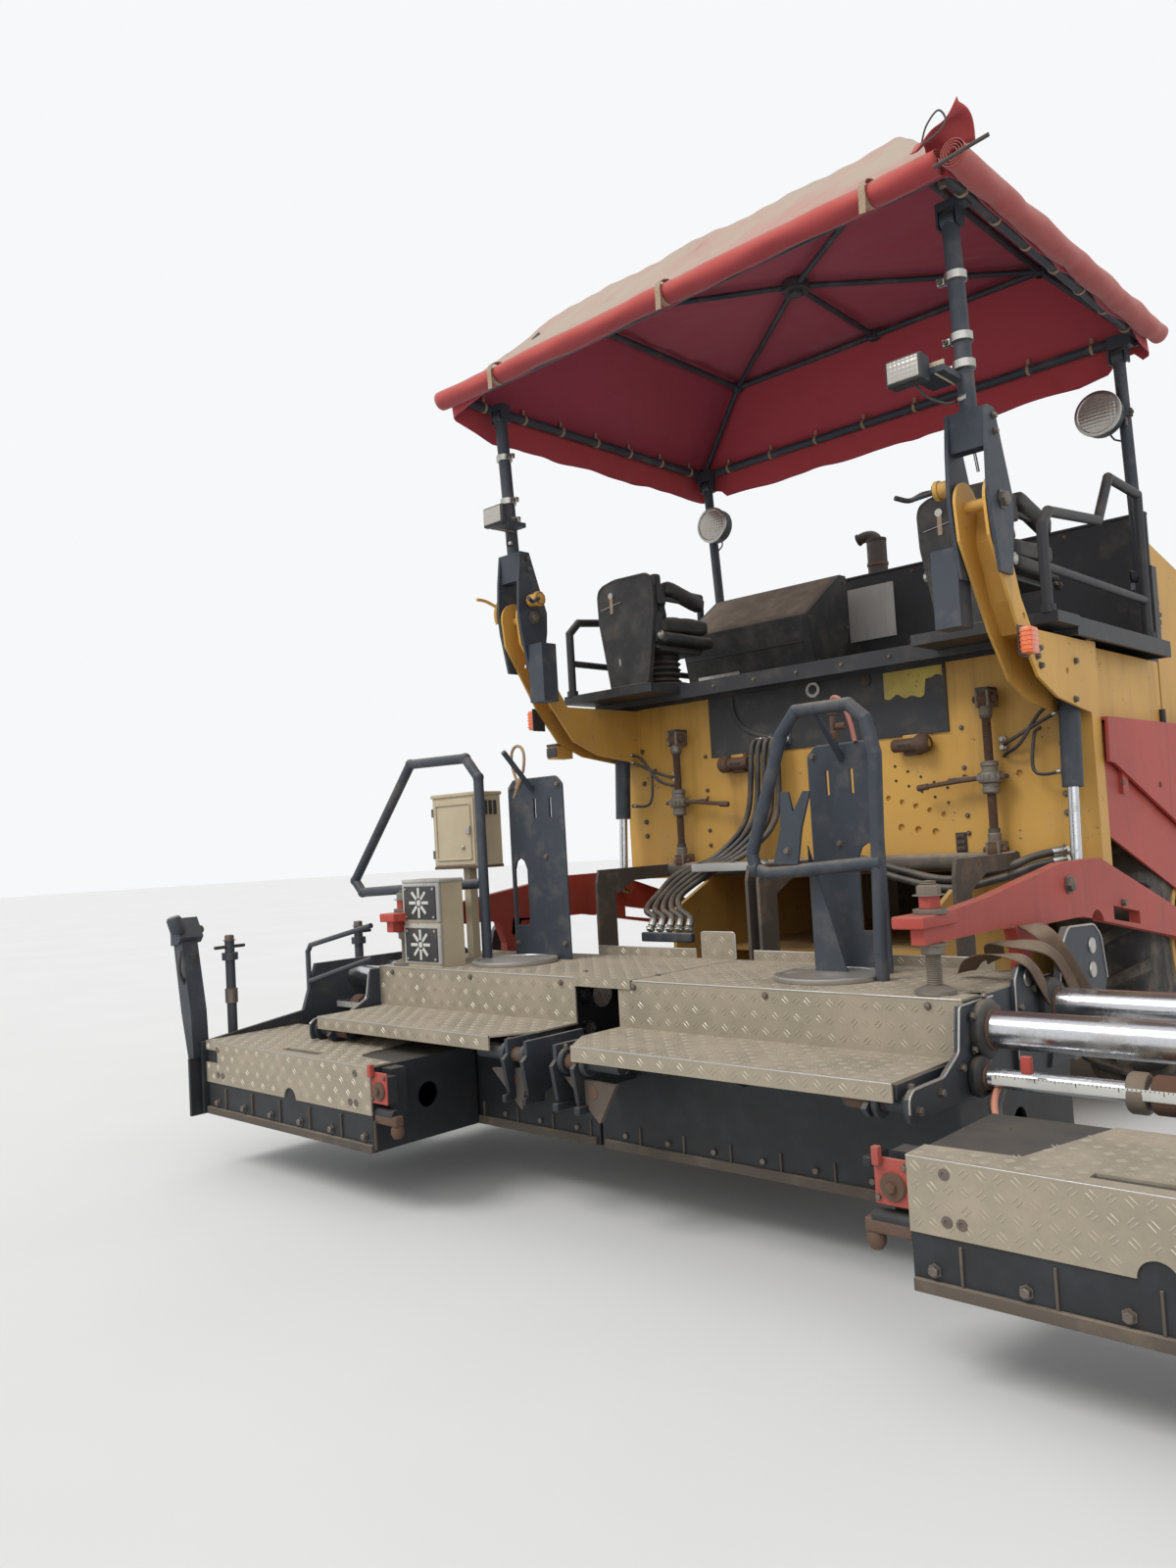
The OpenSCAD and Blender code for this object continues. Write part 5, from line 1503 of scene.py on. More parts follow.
@dataclass
class Seat(Assembly):
    """An operator's seat: bellows base, shell, stuffed cushion and back, arm rest."""

    x: float = 835.0
    y: float = 1400.0
    floor: float = 1937.0
    voxel: float = 0.008
    pressure: float = 4.0
    stiffness: float = 12.0
    frames: int = 20
    seam: float = 5.0

    def pad(self, name: str, width: float, depth: float, height: float,
            crown: float) -> bpy.types.Mesh:
        """A closed pad about its own middle.

        Two grids, upper and lower, meet at a rounded rim: half width and half depth pull in
        between the corners, and the height is the crown times one minus the fourth powers of the
        two places across it.

        Args:
            name: the new object's name.
            width: in millimetres.
            depth: in millimetres.
            height: in millimetres.
            crown: how much the middle stands higher than the rim.
        Returns:
            The mesh.
        """
        n, core_share, waist = 40, 0.82, 0.03
        u, v = np.meshgrid(np.linspace(-1, 1, n), np.linspace(-1, 1, n), indexing="ij")
        spot = np.stack([u, v], -1)
        core = np.clip(spot, -core_share, core_share)
        beyond = np.abs(spot - core).max(-1, keepdims=True) > 1e-6
        flat = core + unit(spot - core + 1e-9) * 0.18 * beyond
        flat = np.where(np.abs(spot).max(-1, keepdims=True) > core_share, flat, spot)
        edge = np.clip(1 - np.maximum(np.abs(u), np.abs(v)) ** 6, 0, 1) ** 0.5
        px = flat[..., 0] * (width / 2) * (1 - waist * (1 - v**2))
        py = flat[..., 1] * (depth / 2) * (1 - waist * (1 - u**2))
        top = (height / 2 + crown * (1 - u**4) * (1 - v**4)) * edge
        bottom = -height / 2 * edge
        points = np.stack([np.stack([px, py, level], -1) for level in (top, bottom)]).reshape(-1, 3)
        mesh = bpy.data.meshes.new(name)
        mesh.from_pydata((points / 1000).tolist(), [], twin_faces(n, n))
        tidy_mesh(mesh)
        return mesh

    def stuffed(self, name: str, mesh: bpy.types.Mesh, cap: float) -> bpy.types.Mesh:
        """The pad is remeshed in voxels and blown up without gravity for `frames` frames. Each
        point's move is its own length turned into cap times the hyperbolic tangent of the
        length over cap. One subdivision ends it.

        Args:
            name: the new object's name.
            mesh: the pad.
            cap: the longest move in metres.
        Returns:
            The mesh.
        """
        obj = bpy.data.objects.new(name, mesh)
        bpy.context.scene.collection.objects.link(obj)
        voxel = obj.modifiers.new("Voxels", "REMESH")
        voxel.mode, voxel.voxel_size = "VOXEL", self.voxel
        depsgraph = bpy.context.evaluated_depsgraph_get()
        start = bpy.data.meshes.new_from_object(obj.evaluated_get(depsgraph))
        obj.modifiers.clear()
        obj.data = start
        home = np.zeros(3 * len(start.vertices), np.float32)
        start.vertices.foreach_get("co", home)
        cloth = obj.modifiers.new("Cloth", "CLOTH")
        cloth.settings.use_pressure = True
        cloth.settings.uniform_pressure_force = self.pressure
        cloth.settings.tension_stiffness = cloth.settings.compression_stiffness = self.stiffness
        cloth.settings.effector_weights.gravity = 0.0
        cloth.point_cache.frame_start, cloth.point_cache.frame_end = 1, self.frames
        scene = bpy.context.scene
        for frame in range(1, self.frames + 1):
            scene.frame_set(frame)
        blown = obj.evaluated_get(bpy.context.evaluated_depsgraph_get()).to_mesh()
        there = np.zeros(3 * len(blown.vertices), np.float32)
        blown.vertices.foreach_get("co", there)
        move = (there - home).reshape(-1, 3)
        length = np.linalg.norm(move, axis=1, keepdims=True)
        move = move / np.maximum(length, 1e-9) * cap * np.tanh(length / cap)
        home = (home.reshape(-1, 3) + move).ravel()
        obj.modifiers.clear()
        scene.frame_set(1)
        start.vertices.foreach_set("co", home)
        fine = obj.modifiers.new("Fine", "SUBSURF")
        fine.levels = fine.render_levels = 1
        smoothed = obj.evaluated_get(bpy.context.evaluated_depsgraph_get())
        done = bpy.data.meshes.new_from_object(smoothed)
        bpy.data.objects.remove(obj)
        return done

    def channels(self, mesh: bpy.types.Mesh, width: float, depth: float,
                 back: bool) -> bpy.types.Mesh:
        """Presses seams in, as bell curves across two lines along, one line across and the rim,
        and shallow creases by a ripple.

        Args:
            mesh: the pad, which is changed.
            width: in millimetres.
            depth: in millimetres.
            back: whether it is a seat's back.
        Returns:
            The mesh.
        """
        co = np.zeros(3 * len(mesh.vertices), np.float32)
        mesh.vertices.foreach_get("co", co)
        p = co.reshape(-1, 3) * 1000
        x, y = p[:, 0], p[:, 1]
        top = np.clip(p[:, 2] / 20, 0, 1)
        lines = sum(np.exp(-((x - k * width / 6) / self.seam) ** 2) for k in (-1, 1))
        across = np.exp(-((y - 0.12 * depth) / self.seam) ** 2) * (np.abs(x) < width / 6 + 4)
        off_rim = np.maximum(np.abs(x) - 0.4 * width, np.abs(y) - 0.4 * depth)
        rim = np.exp(-(off_rim / self.seam) ** 2)
        p[:, 2] -= top * (7 * np.maximum(lines, across) + 5 * rim + 2.2
                          * ripple(x, y, 120, 2.2 + back))
        mesh.vertices.foreach_set("co", (p / 1000).astype(np.float32).ravel())
        return mesh

    def placed(self, name: str, mesh: bpy.types.Mesh, centre: Triple, lean: float, side: str,
               fill: float) -> bpy.types.Object:
        """Copies a pad to its place: turned about x by lean, then moved to centre.

        Args:
            name: the new object's name.
            mesh: the pad.
            centre: where its middle comes.
            lean: degrees about x.
            side: left or right.
            fill: not used.
        Returns:
            The object.
        """
        copy = mesh.copy()
        copy.transform(Matrix.Translation([float(v) for v in metres(centre)])
                       @ Matrix.Rotation(math.radians(lean), 4, "X"))
        copy.materials.clear()
        copy.materials.append(self.palette[Slot.SEAT])
        obj = shown(name, copy, f"seat_{side}_body", 180)
        return obj

    def build(self) -> None:
        """Both seats, from one set of stuffed pads."""
        cushion = self.stuffed("Cushion_start", self.pad("Cushion_start", 372, 366, 66, 12), 0.012)
        cushion = self.channels(cushion, 384, 378, False)
        back = self.stuffed("Back_start", self.pad("Back_start", 322, 232, 50, 10), 0.010)
        back = self.channels(back, 332, 242, True)
        arm = self.stuffed("Arm_start", self.pad("Arm_start", 56, 286, 70, 6), 0.009)
        for side, s in SIDES:
            frame = self.frame(side, s * self.x)
            x = s * self.x
            self.placed(f"Seat_cushion_{side}", cushion, (x, self.y + 16, 2222), 3, side, 0.7)
            self.placed(f"Seat_back_{side}", back, (x, self.y - 138, 2356), -80, side, 0.6)
            for k, end in ((-1, "a"), (1, "b")):
                self.placed(f"Seat_arm_{side}_{end}", arm, (x + k * 168, self.y - 2, 2362), -13,
                            side, 0.6)
            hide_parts(f"seat_{side}")

    def frame(self, side: str, x: float) -> bpy.types.Object:
        """Turntable, ribbed bellows, slide rails, seat pan, tall back shell, arm posts, levers.

        Args:
            side: left or right.
            x: the seat's middle.
        Returns:
            The object.
        """
        bag, y, z = Bag(f"Seat_frame_{side}"), self.y, self.floor
        black, steel = self.palette[Slot.CONSOLE], self.palette[Small.BOLT]
        bag.lathe([(0, 0), (150, 0), (150, 18), (140, 24), (84, 26)], (x, y, z), UP,
                  self.palette[Slot.BLACK], 48)
        ribs = [(96 + (10 if k % 2 else -6), 24 + k * 14) for k in range(11)]
        bag.lathe([(0, 22), (90, 22)] + ribs + [(0, 168)], (x, y, z), UP, black, 40)
        bag.block((x - 150, y - 150, z + 162), (x + 150, y + 150, z + 178),
                  self.palette[Slot.BLACK], 5)
        for k in (-1, 1):
            bag.block((x + k * 120 - 14, y - 170, z + 176), (x + k * 120 + 14, y + 180, z + 194),
                      steel, 3)
        bag.block((x - 188, y - 172, z + 192), (x + 188, y + 206, z + 248), black, 20)
        back = y - 226
        outline = [(-112, 12), (112, 12), (140, 170), (168, 330), (170, 470), (160, 500),
                   (130, 518), (-60, 522), (-130, 508), (-160, 490), (-170, 460), (-166, 330),
                   (-138, 170)]
        bag.plate([(x + a, z + b) for a, b in outline], back, back + 34, 1, black)
        rim = [(x + a, back + 4, z + b) for a, b in outline] + [(x + outline[0][0], back + 4,
                                                                 z + outline[0][1])]
        bag.tube(rim, 14, black, bend=14, sides=8)
        bag.block((x - 92, back - 5, z + 366), (x - 74, back + 2, z + 440),
                  self.palette[Small.PALE_STRAP], 2)
        bag.lathe([(0, 0), (15, 0), (15, 5), (0, 6)], (x - 84, back, z + 452), BACK,
                  self.palette[Small.SILVER], 20)
        bag.tube([(x - 150, back - 3, z + 392), (x - 20, back - 5, z + 412)], 4,
                 self.palette[Small.SILVER], sides=8)
        bag.block((x - 56, back - 2, z + 112), (x - 46, back + 3, z + 146),
                  self.palette[Small.SILVER], 2)
        for k in (-1, 1):
            bag.block((x + k * 150 - 9, y - 200, z + 200), (x + k * 150 + 9, y - 146, z + 340),
                      self.palette[Slot.BLACK], 4)
            bag.lathe([(0, 0), (20, 0), (24, 4), (24, 14), (16, 20), (0, 22)],
                      (x + k * 160, y - 180, z + 230), (k, 0, 0), self.palette[Small.SILVER], 10)
            bag.block((x + k * 168 - 12, y - 196, z + 372), (x + k * 168 + 12, y - 140, z + 470),
                      self.palette[Slot.BLACK], 6)
            bag.block((x + k * 168 - 11, y - 170, z + 392), (x + k * 168 + 11, y + 110, z + 412),
                      self.palette[Slot.BLACK], 5)
        inner = 1 if side == "left" else -1
        bag.tube([(x - inner * 150, y + 180, z + 205), (x - inner * 150, y + 242, z + 200),
                  (x - inner * 150, y + 268, z + 192)], 13, steel, count=10, sides=10)
        bag.lathe([(0, 0), (14, 3), (17, 12), (12, 24), (0, 27)],
                  (x - inner * 150, y + 264, z + 192), (0, 1, -0.2), black, 16)
        obj = bag.build(f"seat_{side}_body")
        return obj


@dataclass
class Console(Assembly):
    """The sliding operator's console: hinged cover, side screws, switches, cable."""

    low_x: float = -1000.0
    high_x: float = -240.0

    def build(self) -> None:
        """A cover sheet on the slope, seams, corner screws and a bundle of leads below."""
        bag = Bag("Console_details")
        slope = unit(np.array([0.0, 330.0, 230.0]))
        normal = np.array([0.0, -slope[2], slope[1]])
        black = self.palette[Slot.CONSOLE]
        u, v = np.meshgrid(np.linspace(0, 1, 40), np.linspace(0, 1, 24), indexing="ij")
        base = np.array([self.low_x + 22, 1804, 2260.0])
        rim = np.clip(np.minimum(np.minimum(u, 1 - u) * 30, np.minimum(v, 1 - v) * 14), 0, 1) ** 0.5
        wave = 3.2 * ripple(u * 700, v * 380, 300, 0.7)
        grid = (base + u[..., None] * np.array([self.high_x - self.low_x - 44.0, 0, 0])
                + v[..., None] * slope * 372 + ((7 + wave) * rim)[..., None] * normal)
        lower = grid - ((10 + wave) * rim + 1)[..., None] * normal
        bag.put(np.stack([grid, lower]), twin_faces(*grid.shape[:2]),
                self.palette[Small.CONSOLE_TOP])
        for x, s in ((self.low_x, -1), (self.high_x, 1)):
            for y, z in ((1815, 2240), (1880, 2030), (2070, 2030), (2150, 2440), (2160, 2220)):
                bag.bolt((x, y, z), (s, 0, 0), 15, self.palette[Small.BOLT])
        bag.block((self.low_x + 30, 1786, 2120), (self.high_x - 30, 1800, 2126),
                  self.palette[Slot.BLACK], 2)
        bag.block((self.low_x + 60, 1840, 2016), (self.low_x + 320, 1848, 2060),
                  self.palette[Small.SILVER], 3)
        for k in range(3):
            bag.tube([(self.low_x + 200 + 30 * k, 1960, 2005),
                      (self.low_x + 190 + 34 * k, 1930, 1988),
                      (self.low_x + 260 + 40 * k, 1900, 1972),
                      (self.low_x + 340 + 30 * k, 1925, 1990)], 12, self.palette[Slot.HOSE],
                     count=20, sides=8)
        bag.build("console_body")


# ----------------------------------------------------------------- screed details


@dataclass
class TreadPattern:
    """Raised bars of the aluminium plate: crossing pairs of short ridges."""

    pitch: float = 37.0
    length: float = 27.0
    width: float = 5.2
    height: float = 1.8
    apart: float = 10.5

    def lay(self, bag: Bag, origin: Triple, along: Triple, across: Triple,
            size: tuple[float, float], material: bpy.types.Material,
            outline: Optional[Sequence[tuple[float, float]]] = None,
            holes: Sequence[tuple[float, float, float, float]] = ()) -> None:
        """Covers a rectangle with pairs of bars, turned 45 degrees one way and the other.

        Cell centres lie on an even grid; a pair's two bars stand half `apart` to either side of
        the centre; the direction changes sign with the sum of row and column.

        Args:
            bag: where the bars go.
            origin: the rectangle's corner.
            along: unit vector of its first side.
            across: unit vector of its second side; along x across points out of the plate.
            size: lengths of the two sides.
            material: the bars' finish.
            outline: polygon in (along, across) that the centres must lie in.
            holes: boxes (low, low, high, high) in (along, across) without bars.
        """
        o, a, b = (np.asarray(v, float) for v in (origin, along, across))
        n = np.cross(a, b)
        nu, nv = (max(1, int(s // self.pitch)) for s in size)
        i, j = (k.ravel() for k in np.meshgrid(np.arange(nu), np.arange(nv), indexing="ij"))
        c = np.stack([(i + 0.5) * size[0] / nu, (j + 0.5) * size[1] / nv], 1)
        keep = np.ones(len(c), bool)
        if outline is not None:
            q = np.asarray(outline, float)
            r = np.roll(q, -1, 0)
            over = (q[None, :, 1] > c[:, 1:2]) != (r[None, :, 1] > c[:, 1:2])
            cut = q[None, :, 0] + (c[:, 1:2] - q[None, :, 1]) * (r - q)[None, :, 0] / np.where(
                np.abs((r - q)[None, :, 1]) < 1e-9, 1e-9, (r - q)[None, :, 1])
            keep &= (over & (c[:, 0:1] < cut)).sum(1) % 2 == 1
        for x0, y0, x1, y1 in holes:
            keep &= ~((c[:, 0] > x0 - 9) & (c[:, 0] < x1 + 9) & (c[:, 1] > y0 - 9)
                      & (c[:, 1] < y1 + 9))
        c, turn = c[keep], np.where((i + j)[keep] % 2 == 0, 1.0, -1.0)
        c, turn = np.vstack([c, c]), np.concatenate([turn, turn])
        offset = np.repeat([-0.5, 0.5], len(turn) // 2) * self.apart
        d = np.stack([np.full(len(turn), math.sqrt(0.5)), turn * math.sqrt(0.5)], 1)
        e = np.stack([-d[:, 1], d[:, 0]], 1)
        c = c + e * offset[:, None]
        t = np.array([[-0.5, 0, 0], [-0.25, -0.5, 0], [0.25, -0.5, 0], [0.5, 0, 0], [0.25, 0.5, 0],
                      [-0.25, 0.5, 0], [-0.3, 0, 1], [0.3, 0, 1]])
        flat = (c[:, None] + d[:, None] * (t[None, :, 0:1] * self.length)
                + e[:, None] * (t[None, :, 1:2] * self.width))
        points = o + flat[..., 0:1] * a + flat[..., 1:2] * b + (t[None, :, 2:3] * self.height
                                                                - 0.2) * n
        start = (np.arange(len(c)) * 8)[:, None, None]
        tri = (start + np.array([[0, 1, 6], [2, 3, 7], [3, 4, 7], [5, 0, 6]])).reshape(-1,
                                                                                       3).tolist()
        quad = (start + np.array([[1, 2, 7, 6], [4, 5, 6, 7], [0, 5, 4, 3],
                                  [0, 3, 2, 1]])).reshape(-1, 4).tolist()
        bag.put(points, tri + quad, material)


@dataclass
class Walkways(Assembly):
    """Tread plate of walkways, steps and covers, with worn folded edges."""

    top_z: float = 766.0
    step_z: float = 609.0
    rack_x: float = 719.0
    ring_r: float = 172.0

    def build(self) -> None:
        """Bars on every plate and a bright rounded fold along each edge."""
        tread = TreadPattern()
        bars, worn = self.palette[Small.BARS], self.palette[Small.WORN_EDGE]
        for side, s in SIDES:
            bag = Bag(f"Walkway_tread_{side}")
            low, high = (126.0, 1275.0) if s > 0 else (-1275.0, 118.0)
            width = high - low
            notch = [(width - 48, 90, width + 5, 178)] if s > 0 else [(-5, 90, 48, 178)]
            middle = s * self.rack_x
            ring = [(middle - self.ring_r - low, 78, middle + self.ring_r - low, 424)]
            tread.lay(bag, (low + 8, 8, self.top_z), RIGHT, AHEAD, (width - 16, 574), bars, None,
                      notch + ring)
            low, high = (62.0, 1272.0) if s > 0 else (-1272.0, -144.0)
            tread.lay(bag, (low, -6, 612), RIGHT, UP, (high - low, 146), bars)
            inner, lip = (60.0, 150.0) if s > 0 else (142.0, 232.0)
            outline = np.array([(inner + 8, -6), (inner + 8, -188), (lip + 8, -328), (1232, -328),
                                (1232, -34), (1262, -8)])
            outline = outline * [s, 1] if s > 0 else (outline * [-1, 1])[::-1]
            base = outline[:, 0].min()
            tread.lay(bag, (base, -330, self.step_z), RIGHT, AHEAD,
                      (float(np.ptp(outline[:, 0])), 322), bars, outline - [base, -330])
            low, high = sorted((s * lip, s * 1240))
            tread.lay(bag, (low + 4, -337, 563), RIGHT, UP, (high - low - 8, 42), bars)
            bag.tube([(low, -334.5, 606.5), (high, -334.5, 606.5)], 6.4, worn, sides=10)
            low, high = (128.0, 1274.0) if s > 0 else (-1274.0, -121.0)
            bag.tube([(low, -4.4, 763.6), (high, -4.4, 763.6)], 6.4, worn, sides=10)
            kerb = (200.0, 1107.0) if s > 0 else (-575.0, -66.0)
            tread.lay(bag, (kerb[0], 584, 768), RIGHT, UP, (kerb[1] - kerb[0], 30), bars)
            bag.tube([(kerb[0], 587, 800), (kerb[1], 587, 800)], 6.6, worn, sides=10)
            if s < 0:
                tread.lay(bag, (-36, 584, 768), RIGHT, UP, (152, 94), bars)
                bag.tube([(-38, 587, 769), (-38, 587, 858), (-30, 587, 866), (110, 587, 866),
                          (118, 587, 858), (118, 587, 769)], 6.6, worn, bend=8, sides=10)
                tread.lay(bag, (-140, -12.4, 738), RIGHT, UP, (258, 26), bars)
            for k in (0.06, 0.5, 0.94):
                x = s * (inner + (1250 - inner) * k)
                bag.bolt((x, -9, 744), BACK, 17, self.palette[Small.BOLT], 5)
                bag.bolt((x, 120, self.top_z), UP, 17, self.palette[Small.BOLT], 5)
            bag.build("screed")
        for side, s, out in EXTENDED:
            self.cover(side, s, out, tread)

    def cover(self, side: str, s: int, out: float, tread: TreadPattern) -> None:
        """The extension's cover: top with its long slot, rear face with two bolts low down.

        Args:
            side: left or right.
            s: -1 on the left, 1 on the right.
            out: how far the extension stands out.
            tread: the pattern to lay.
        """
        bag = Bag(f"Cover_tread_{side}")
        outline = np.array([(180, -540), (1310, -540), (1310, -112), (480, -112), (395, -440),
                            (180, -457)]) + [out, 0]
        if s < 0:
            outline = (outline * [-1, 1])[::-1]
        base = outline[:, 0].min()
        slot = sorted((s * (560 + out) - base, s * (800 + out) - base))
        tread.lay(bag, (base, -538, 511), RIGHT, AHEAD, (1130, 426), self.palette[Small.BARS],
                  outline - [base, -538], [(slot[0], 28, slot[1], 66)])
        low = min(s * (182 + out), s * (1308 + out))
        middle = s * (690 + out) - low
        notch = sorted((s * (1220 + out) - low, s * (1310 + out) - low))
        tread.lay(bag, (low, -546, 350), RIGHT, UP, (1126, 158), self.palette[Small.BARS], None,
                  [(middle - 38, -10, middle + 38, 34), (notch[0], 74, notch[1], 124)])
        bag.tube([(s * (180 + out), -543, 508), (s * (1310 + out), -543, 508)], 7.0,
                 self.palette[Small.WORN_EDGE], sides=10)
        for k, z in ((268, 379), (302, 379), (1180, 379), (1215, 379), (268, 480), (1215, 480)):
            bag.lathe([(0, -1), (13, -1), (12, 2.5), (6, 3), (4.5, 0.6), (0, 0.6)],
                      (s * (k + out), -546, z), BACK, self.palette[Small.BOLT], 20)
        bag.build(f"ext_{side}")


@dataclass
class ScreedFittings(Assembly):
    """Bolts, stub shafts, collars, rule and pointer, red blocks, hoses and end assemblies."""

    flange_x: float = 1290.0
    lug_x: float = 1298.0
    hook_x: float = 1288.0
    shaft_y: float = -290.0
    shaft_z: float = 550.0
    rear_y: float = -541.0

    def build(self) -> None:
        """One piece for what rides on the screed and one for each extension."""
        bag = Bag("Screed_details")
        for s, tubes in ((1, ((76, 680, 120), (525, 680, 120), (20, 565, 70))),
                         (-1, ((200, 680, 120), (395, 680, 120), (130, 565, 70)))):
            self.shafts(bag, s)
            for y, z, d in tubes:
                r, centre = d / 2, (s * self.flange_x, y, z)
                bag.lathe([(r - 8, 0), (r + 17, 0), (r + 19, 4), (r + 19, 18), (r + 12, 26),
                           (r - 4, 30), (r - 8, 30)], centre, (s, 0, 0), self.palette[Slot.BLACK],
                          48)
                bag.lathe([(r - 9, 29), (r - 3, 29), (r - 3, 35), (r - 9, 36)], centre, (s, 0, 0),
                          self.palette[Small.RUST], 48)
            self.lugs(bag, s)
        self.crown(bag)
        bag.build("screed")
        for side, s, out in EXTENDED:
            self.extension(side, s, out)

    def shafts(self, bag: Bag, s: int) -> None:
        """Stub shafts below the steps: a rusty round bar, a hanger boss and a worn roller.

        Args:
            bag: where the shapes go.
            s: -1 on the left, 1 on the right.
        """
        y, z = self.shaft_y, self.shaft_z
        rust, steel = self.palette[Small.RUST], self.palette[Small.BOLT]
        for x0, x1 in ((62, 175), (1092, 1200)):
            bag.lathe([(0, 0), (20, 0), (24, 5), (24, x1 - x0 - 8), (20, x1 - x0), (0, x1 - x0)],
                      (s * x0, y, z), (s, 0, 0), rust, 28)
        for x in (78, 172, 1173, 1262):
            bag.lathe([(24, 0), (38, 0), (41, 4), (41, 16), (36, 20), (24, 20)], (s * x, y, z),
                      (s, 0, 0), self.palette[Slot.SLATE], 36)
            bag.bolt((s * (x + 6), y, z + 42), UP, 16, steel)
        for x in (60, 155, 1150):
            bag.block((s * x - 4, -340, 398), (s * x + s * 22, -248, 424), self.palette[Slot.SLATE],
                      6)
            bag.bolt((s * (x + 18), -120, 500), (s, 0, 0), 26, steel)

    def lugs(self, bag: Bag, s: int) -> None:
        """Worn bright rims of the lug plates and the bolts round the tube flanges.

        Args:
            bag: where the shapes go.
            s: -1 on the left, 1 on the right.
        """
        worn = self.palette[Small.WORN_EDGE]
        rims = ((self.lug_x, 7, 20, ((500, 560), (590, 700), (640, 850), (690, 890), (900, 880),
                                     (955, 840), (985, 700))),
                (self.hook_x, 6, 12, ((292, 560), (300, 780), (330, 815), (430, 815), (475, 785),
                                      (500, 700))), (self.hook_x, 6, 12,
                                                     ((-343, 540), (-343, 576), (-320, 594),
                                                      (-160, 594), (-70, 640), (-50, 755),
                                                      (150, 755))))
        for x, diameter, bend, places in rims:
            bag.tube([(s * x, y, z) for y, z in places], diameter, worn, bend=bend, sides=8)
        for x, y, z in ((1296, 870, 815), (1296, 862, 740), (1286, 385, 775)):
            bag.lathe([(17, 0), (25, 0), (26, 3), (24, 7), (17, 7)], (s * x, y, z), (s, 0, 0), worn,
                      28)
        bag.bolt_ring((s * 1296, 76 if s > 0 else 200, 680), s, 86,
                      np.radians([30, 90, 150, 210, 270, 330]), 19, self.palette[Small.BOLT], 9)
        for y, z in ((-300, 540), (-180, 560), (-60, 600), (100, 730), (320, 700), (420, 740)):
            bag.bolt((s * 1286, y, z), (s, 0, 0), 22, self.palette[Small.BOLT])

    def crown(self, bag: Bag) -> None:
        """The middle: turnbuckle between the halves, hooks and the sole plates' bolts.

        Args:
            bag: where the shapes go.
        """
        soot_and_shade = self.palette[Small.SOOT]
        bag.tube([(-160, 60, 500), (160, 60, 500)], 34, self.palette[Small.RUST], sides=18)
        bag.lathe([(30, -40), (34, -34), (34, 34), (30, 40)], (0, 60, 500), RIGHT,
                  self.palette[Small.BOLT], 6)
        for s in (-1, 1):
            bag.block((s * 150, 20, 460), (s * 190, 100, 530), self.palette[Slot.SLATE], 6)
            for k in range(7):
                x = s * (110 + k * 180)
                bag.bolt((x, -58, 268), BACK, 20, self.palette[Small.BOLT])
                bag.block((x + 60, -66, 232), (x + 66, -58, 300), soot_and_shade, 1)
            low, high = sorted((s * 20, s * 1270))
            bag.block((low, -72, 218), (high, -56, 246), soot_and_shade, 3)
        self.gussets(bag)

    def gussets(self, bag: Bag) -> None:
        """Three-cornered lifting lugs, each with its hole's rim, below the shafts.

        Args:
            bag: where the shapes go.
        """
        soot_and_shade = self.palette[Small.SOOT]
        for y, corners in ((-331, ((-1386, 459), (-1092, 484), (-1157, 333))),
                           (-290, ((-265, 495), (-88, 511), (-127, 372))),
                           (-290, ((77, 502), (296, 495), (220, 372)))):
            x, z = (float(v) for v in np.mean(np.array(corners), axis=0))
            bag.plate(corners, y - 8, y + 8, 1, soot_and_shade)
            bag.lathe([(13, -10), (21, -10), (21, 10), (13, 10)], (x, y, z + 8), BACK,
                      self.palette[Small.RUST], 24)
            bag.lathe([(0, -9), (13, -9), (13, 9), (0, 9)], (x, y, z + 8), BACK, soot_and_shade, 20)
    def extension(self, side: str, s: int, out: float) -> None:
        """Red block with its round hole, rule, rusty collar, hoses, spindles and end assembly.

        Args:
            side: left or right.
            s: -1 on the left, 1 on the right.
            out: how far the extension stands out.
        """
        bag = Bag(f"Extension_details_{side}")
        red, rust = self.palette[Slot.RED], self.palette[Small.RUST]
        steel = self.palette[Small.BOLT]

        def at(k: float) -> float:
            """World x of a place measured from the extension's inner datum."""
            return s * (k + out)

        low, high = sorted((at(96), at(183)))
        rear = self.rear_y
        bag.block((low, rear, 388), (high, rear + 8, 494), red, 4)
        bag.block((low + 6, rear - 19, 478), (low + 24, rear, 520), red, 3)
        middle = (low + high) / 2
        bag.lathe([(19, 0), (30, 0), (32, 4), (29, 9), (19, 9)], (middle + 4, rear, 432), BACK,
                  rust, 32)
        bag.bolt((middle + 4, rear, 432), BACK, 26, rust, 20)
        for dx, dz in ((-34, 42), (-34, -32), (34, 42)):
            bag.bolt((middle + dx, rear, 436 + dz), BACK, 13, steel)
        bag.block((at(60), -536, 318), (at(180), -500, 352), rust, 6)
        bag.lathe([(0, 0), (15, 2), (22, 12), (22, 30), (14, 44), (0, 46)], (at(78), -516, 322),
                  DOWN, rust, 24)
        y, z = (20.0, 565.0) if s > 0 else (130.0, 565.0)
        ram = at(560 if s > 0 else 1180)
        bag.lathe([(30, -32), (44, -30), (47, -24), (47, 24), (44, 30), (30, 32)], (ram, y, z),
                  RIGHT, rust, 40)
        if s > 0:
            bag.lathe([(30, -24), (46, -22), (50, -16), (50, 16), (46, 22), (30, 24)],
                      (at(495), y, z), RIGHT, self.palette[Small.CAST], 40)
        self.rule(bag, sorted((at(150 if s > 0 else 880), at(1300))), y - 44, z + 6)
        spindle = at(1351)
        for y in (-400, 250):
            bag.lathe([(20, 0), (26, 2), (26, 60), (20, 62)], (spindle, y, 640), UP, steel, 24)
            bag.bolt((spindle, y, 900), UP, 42, steel, 24)
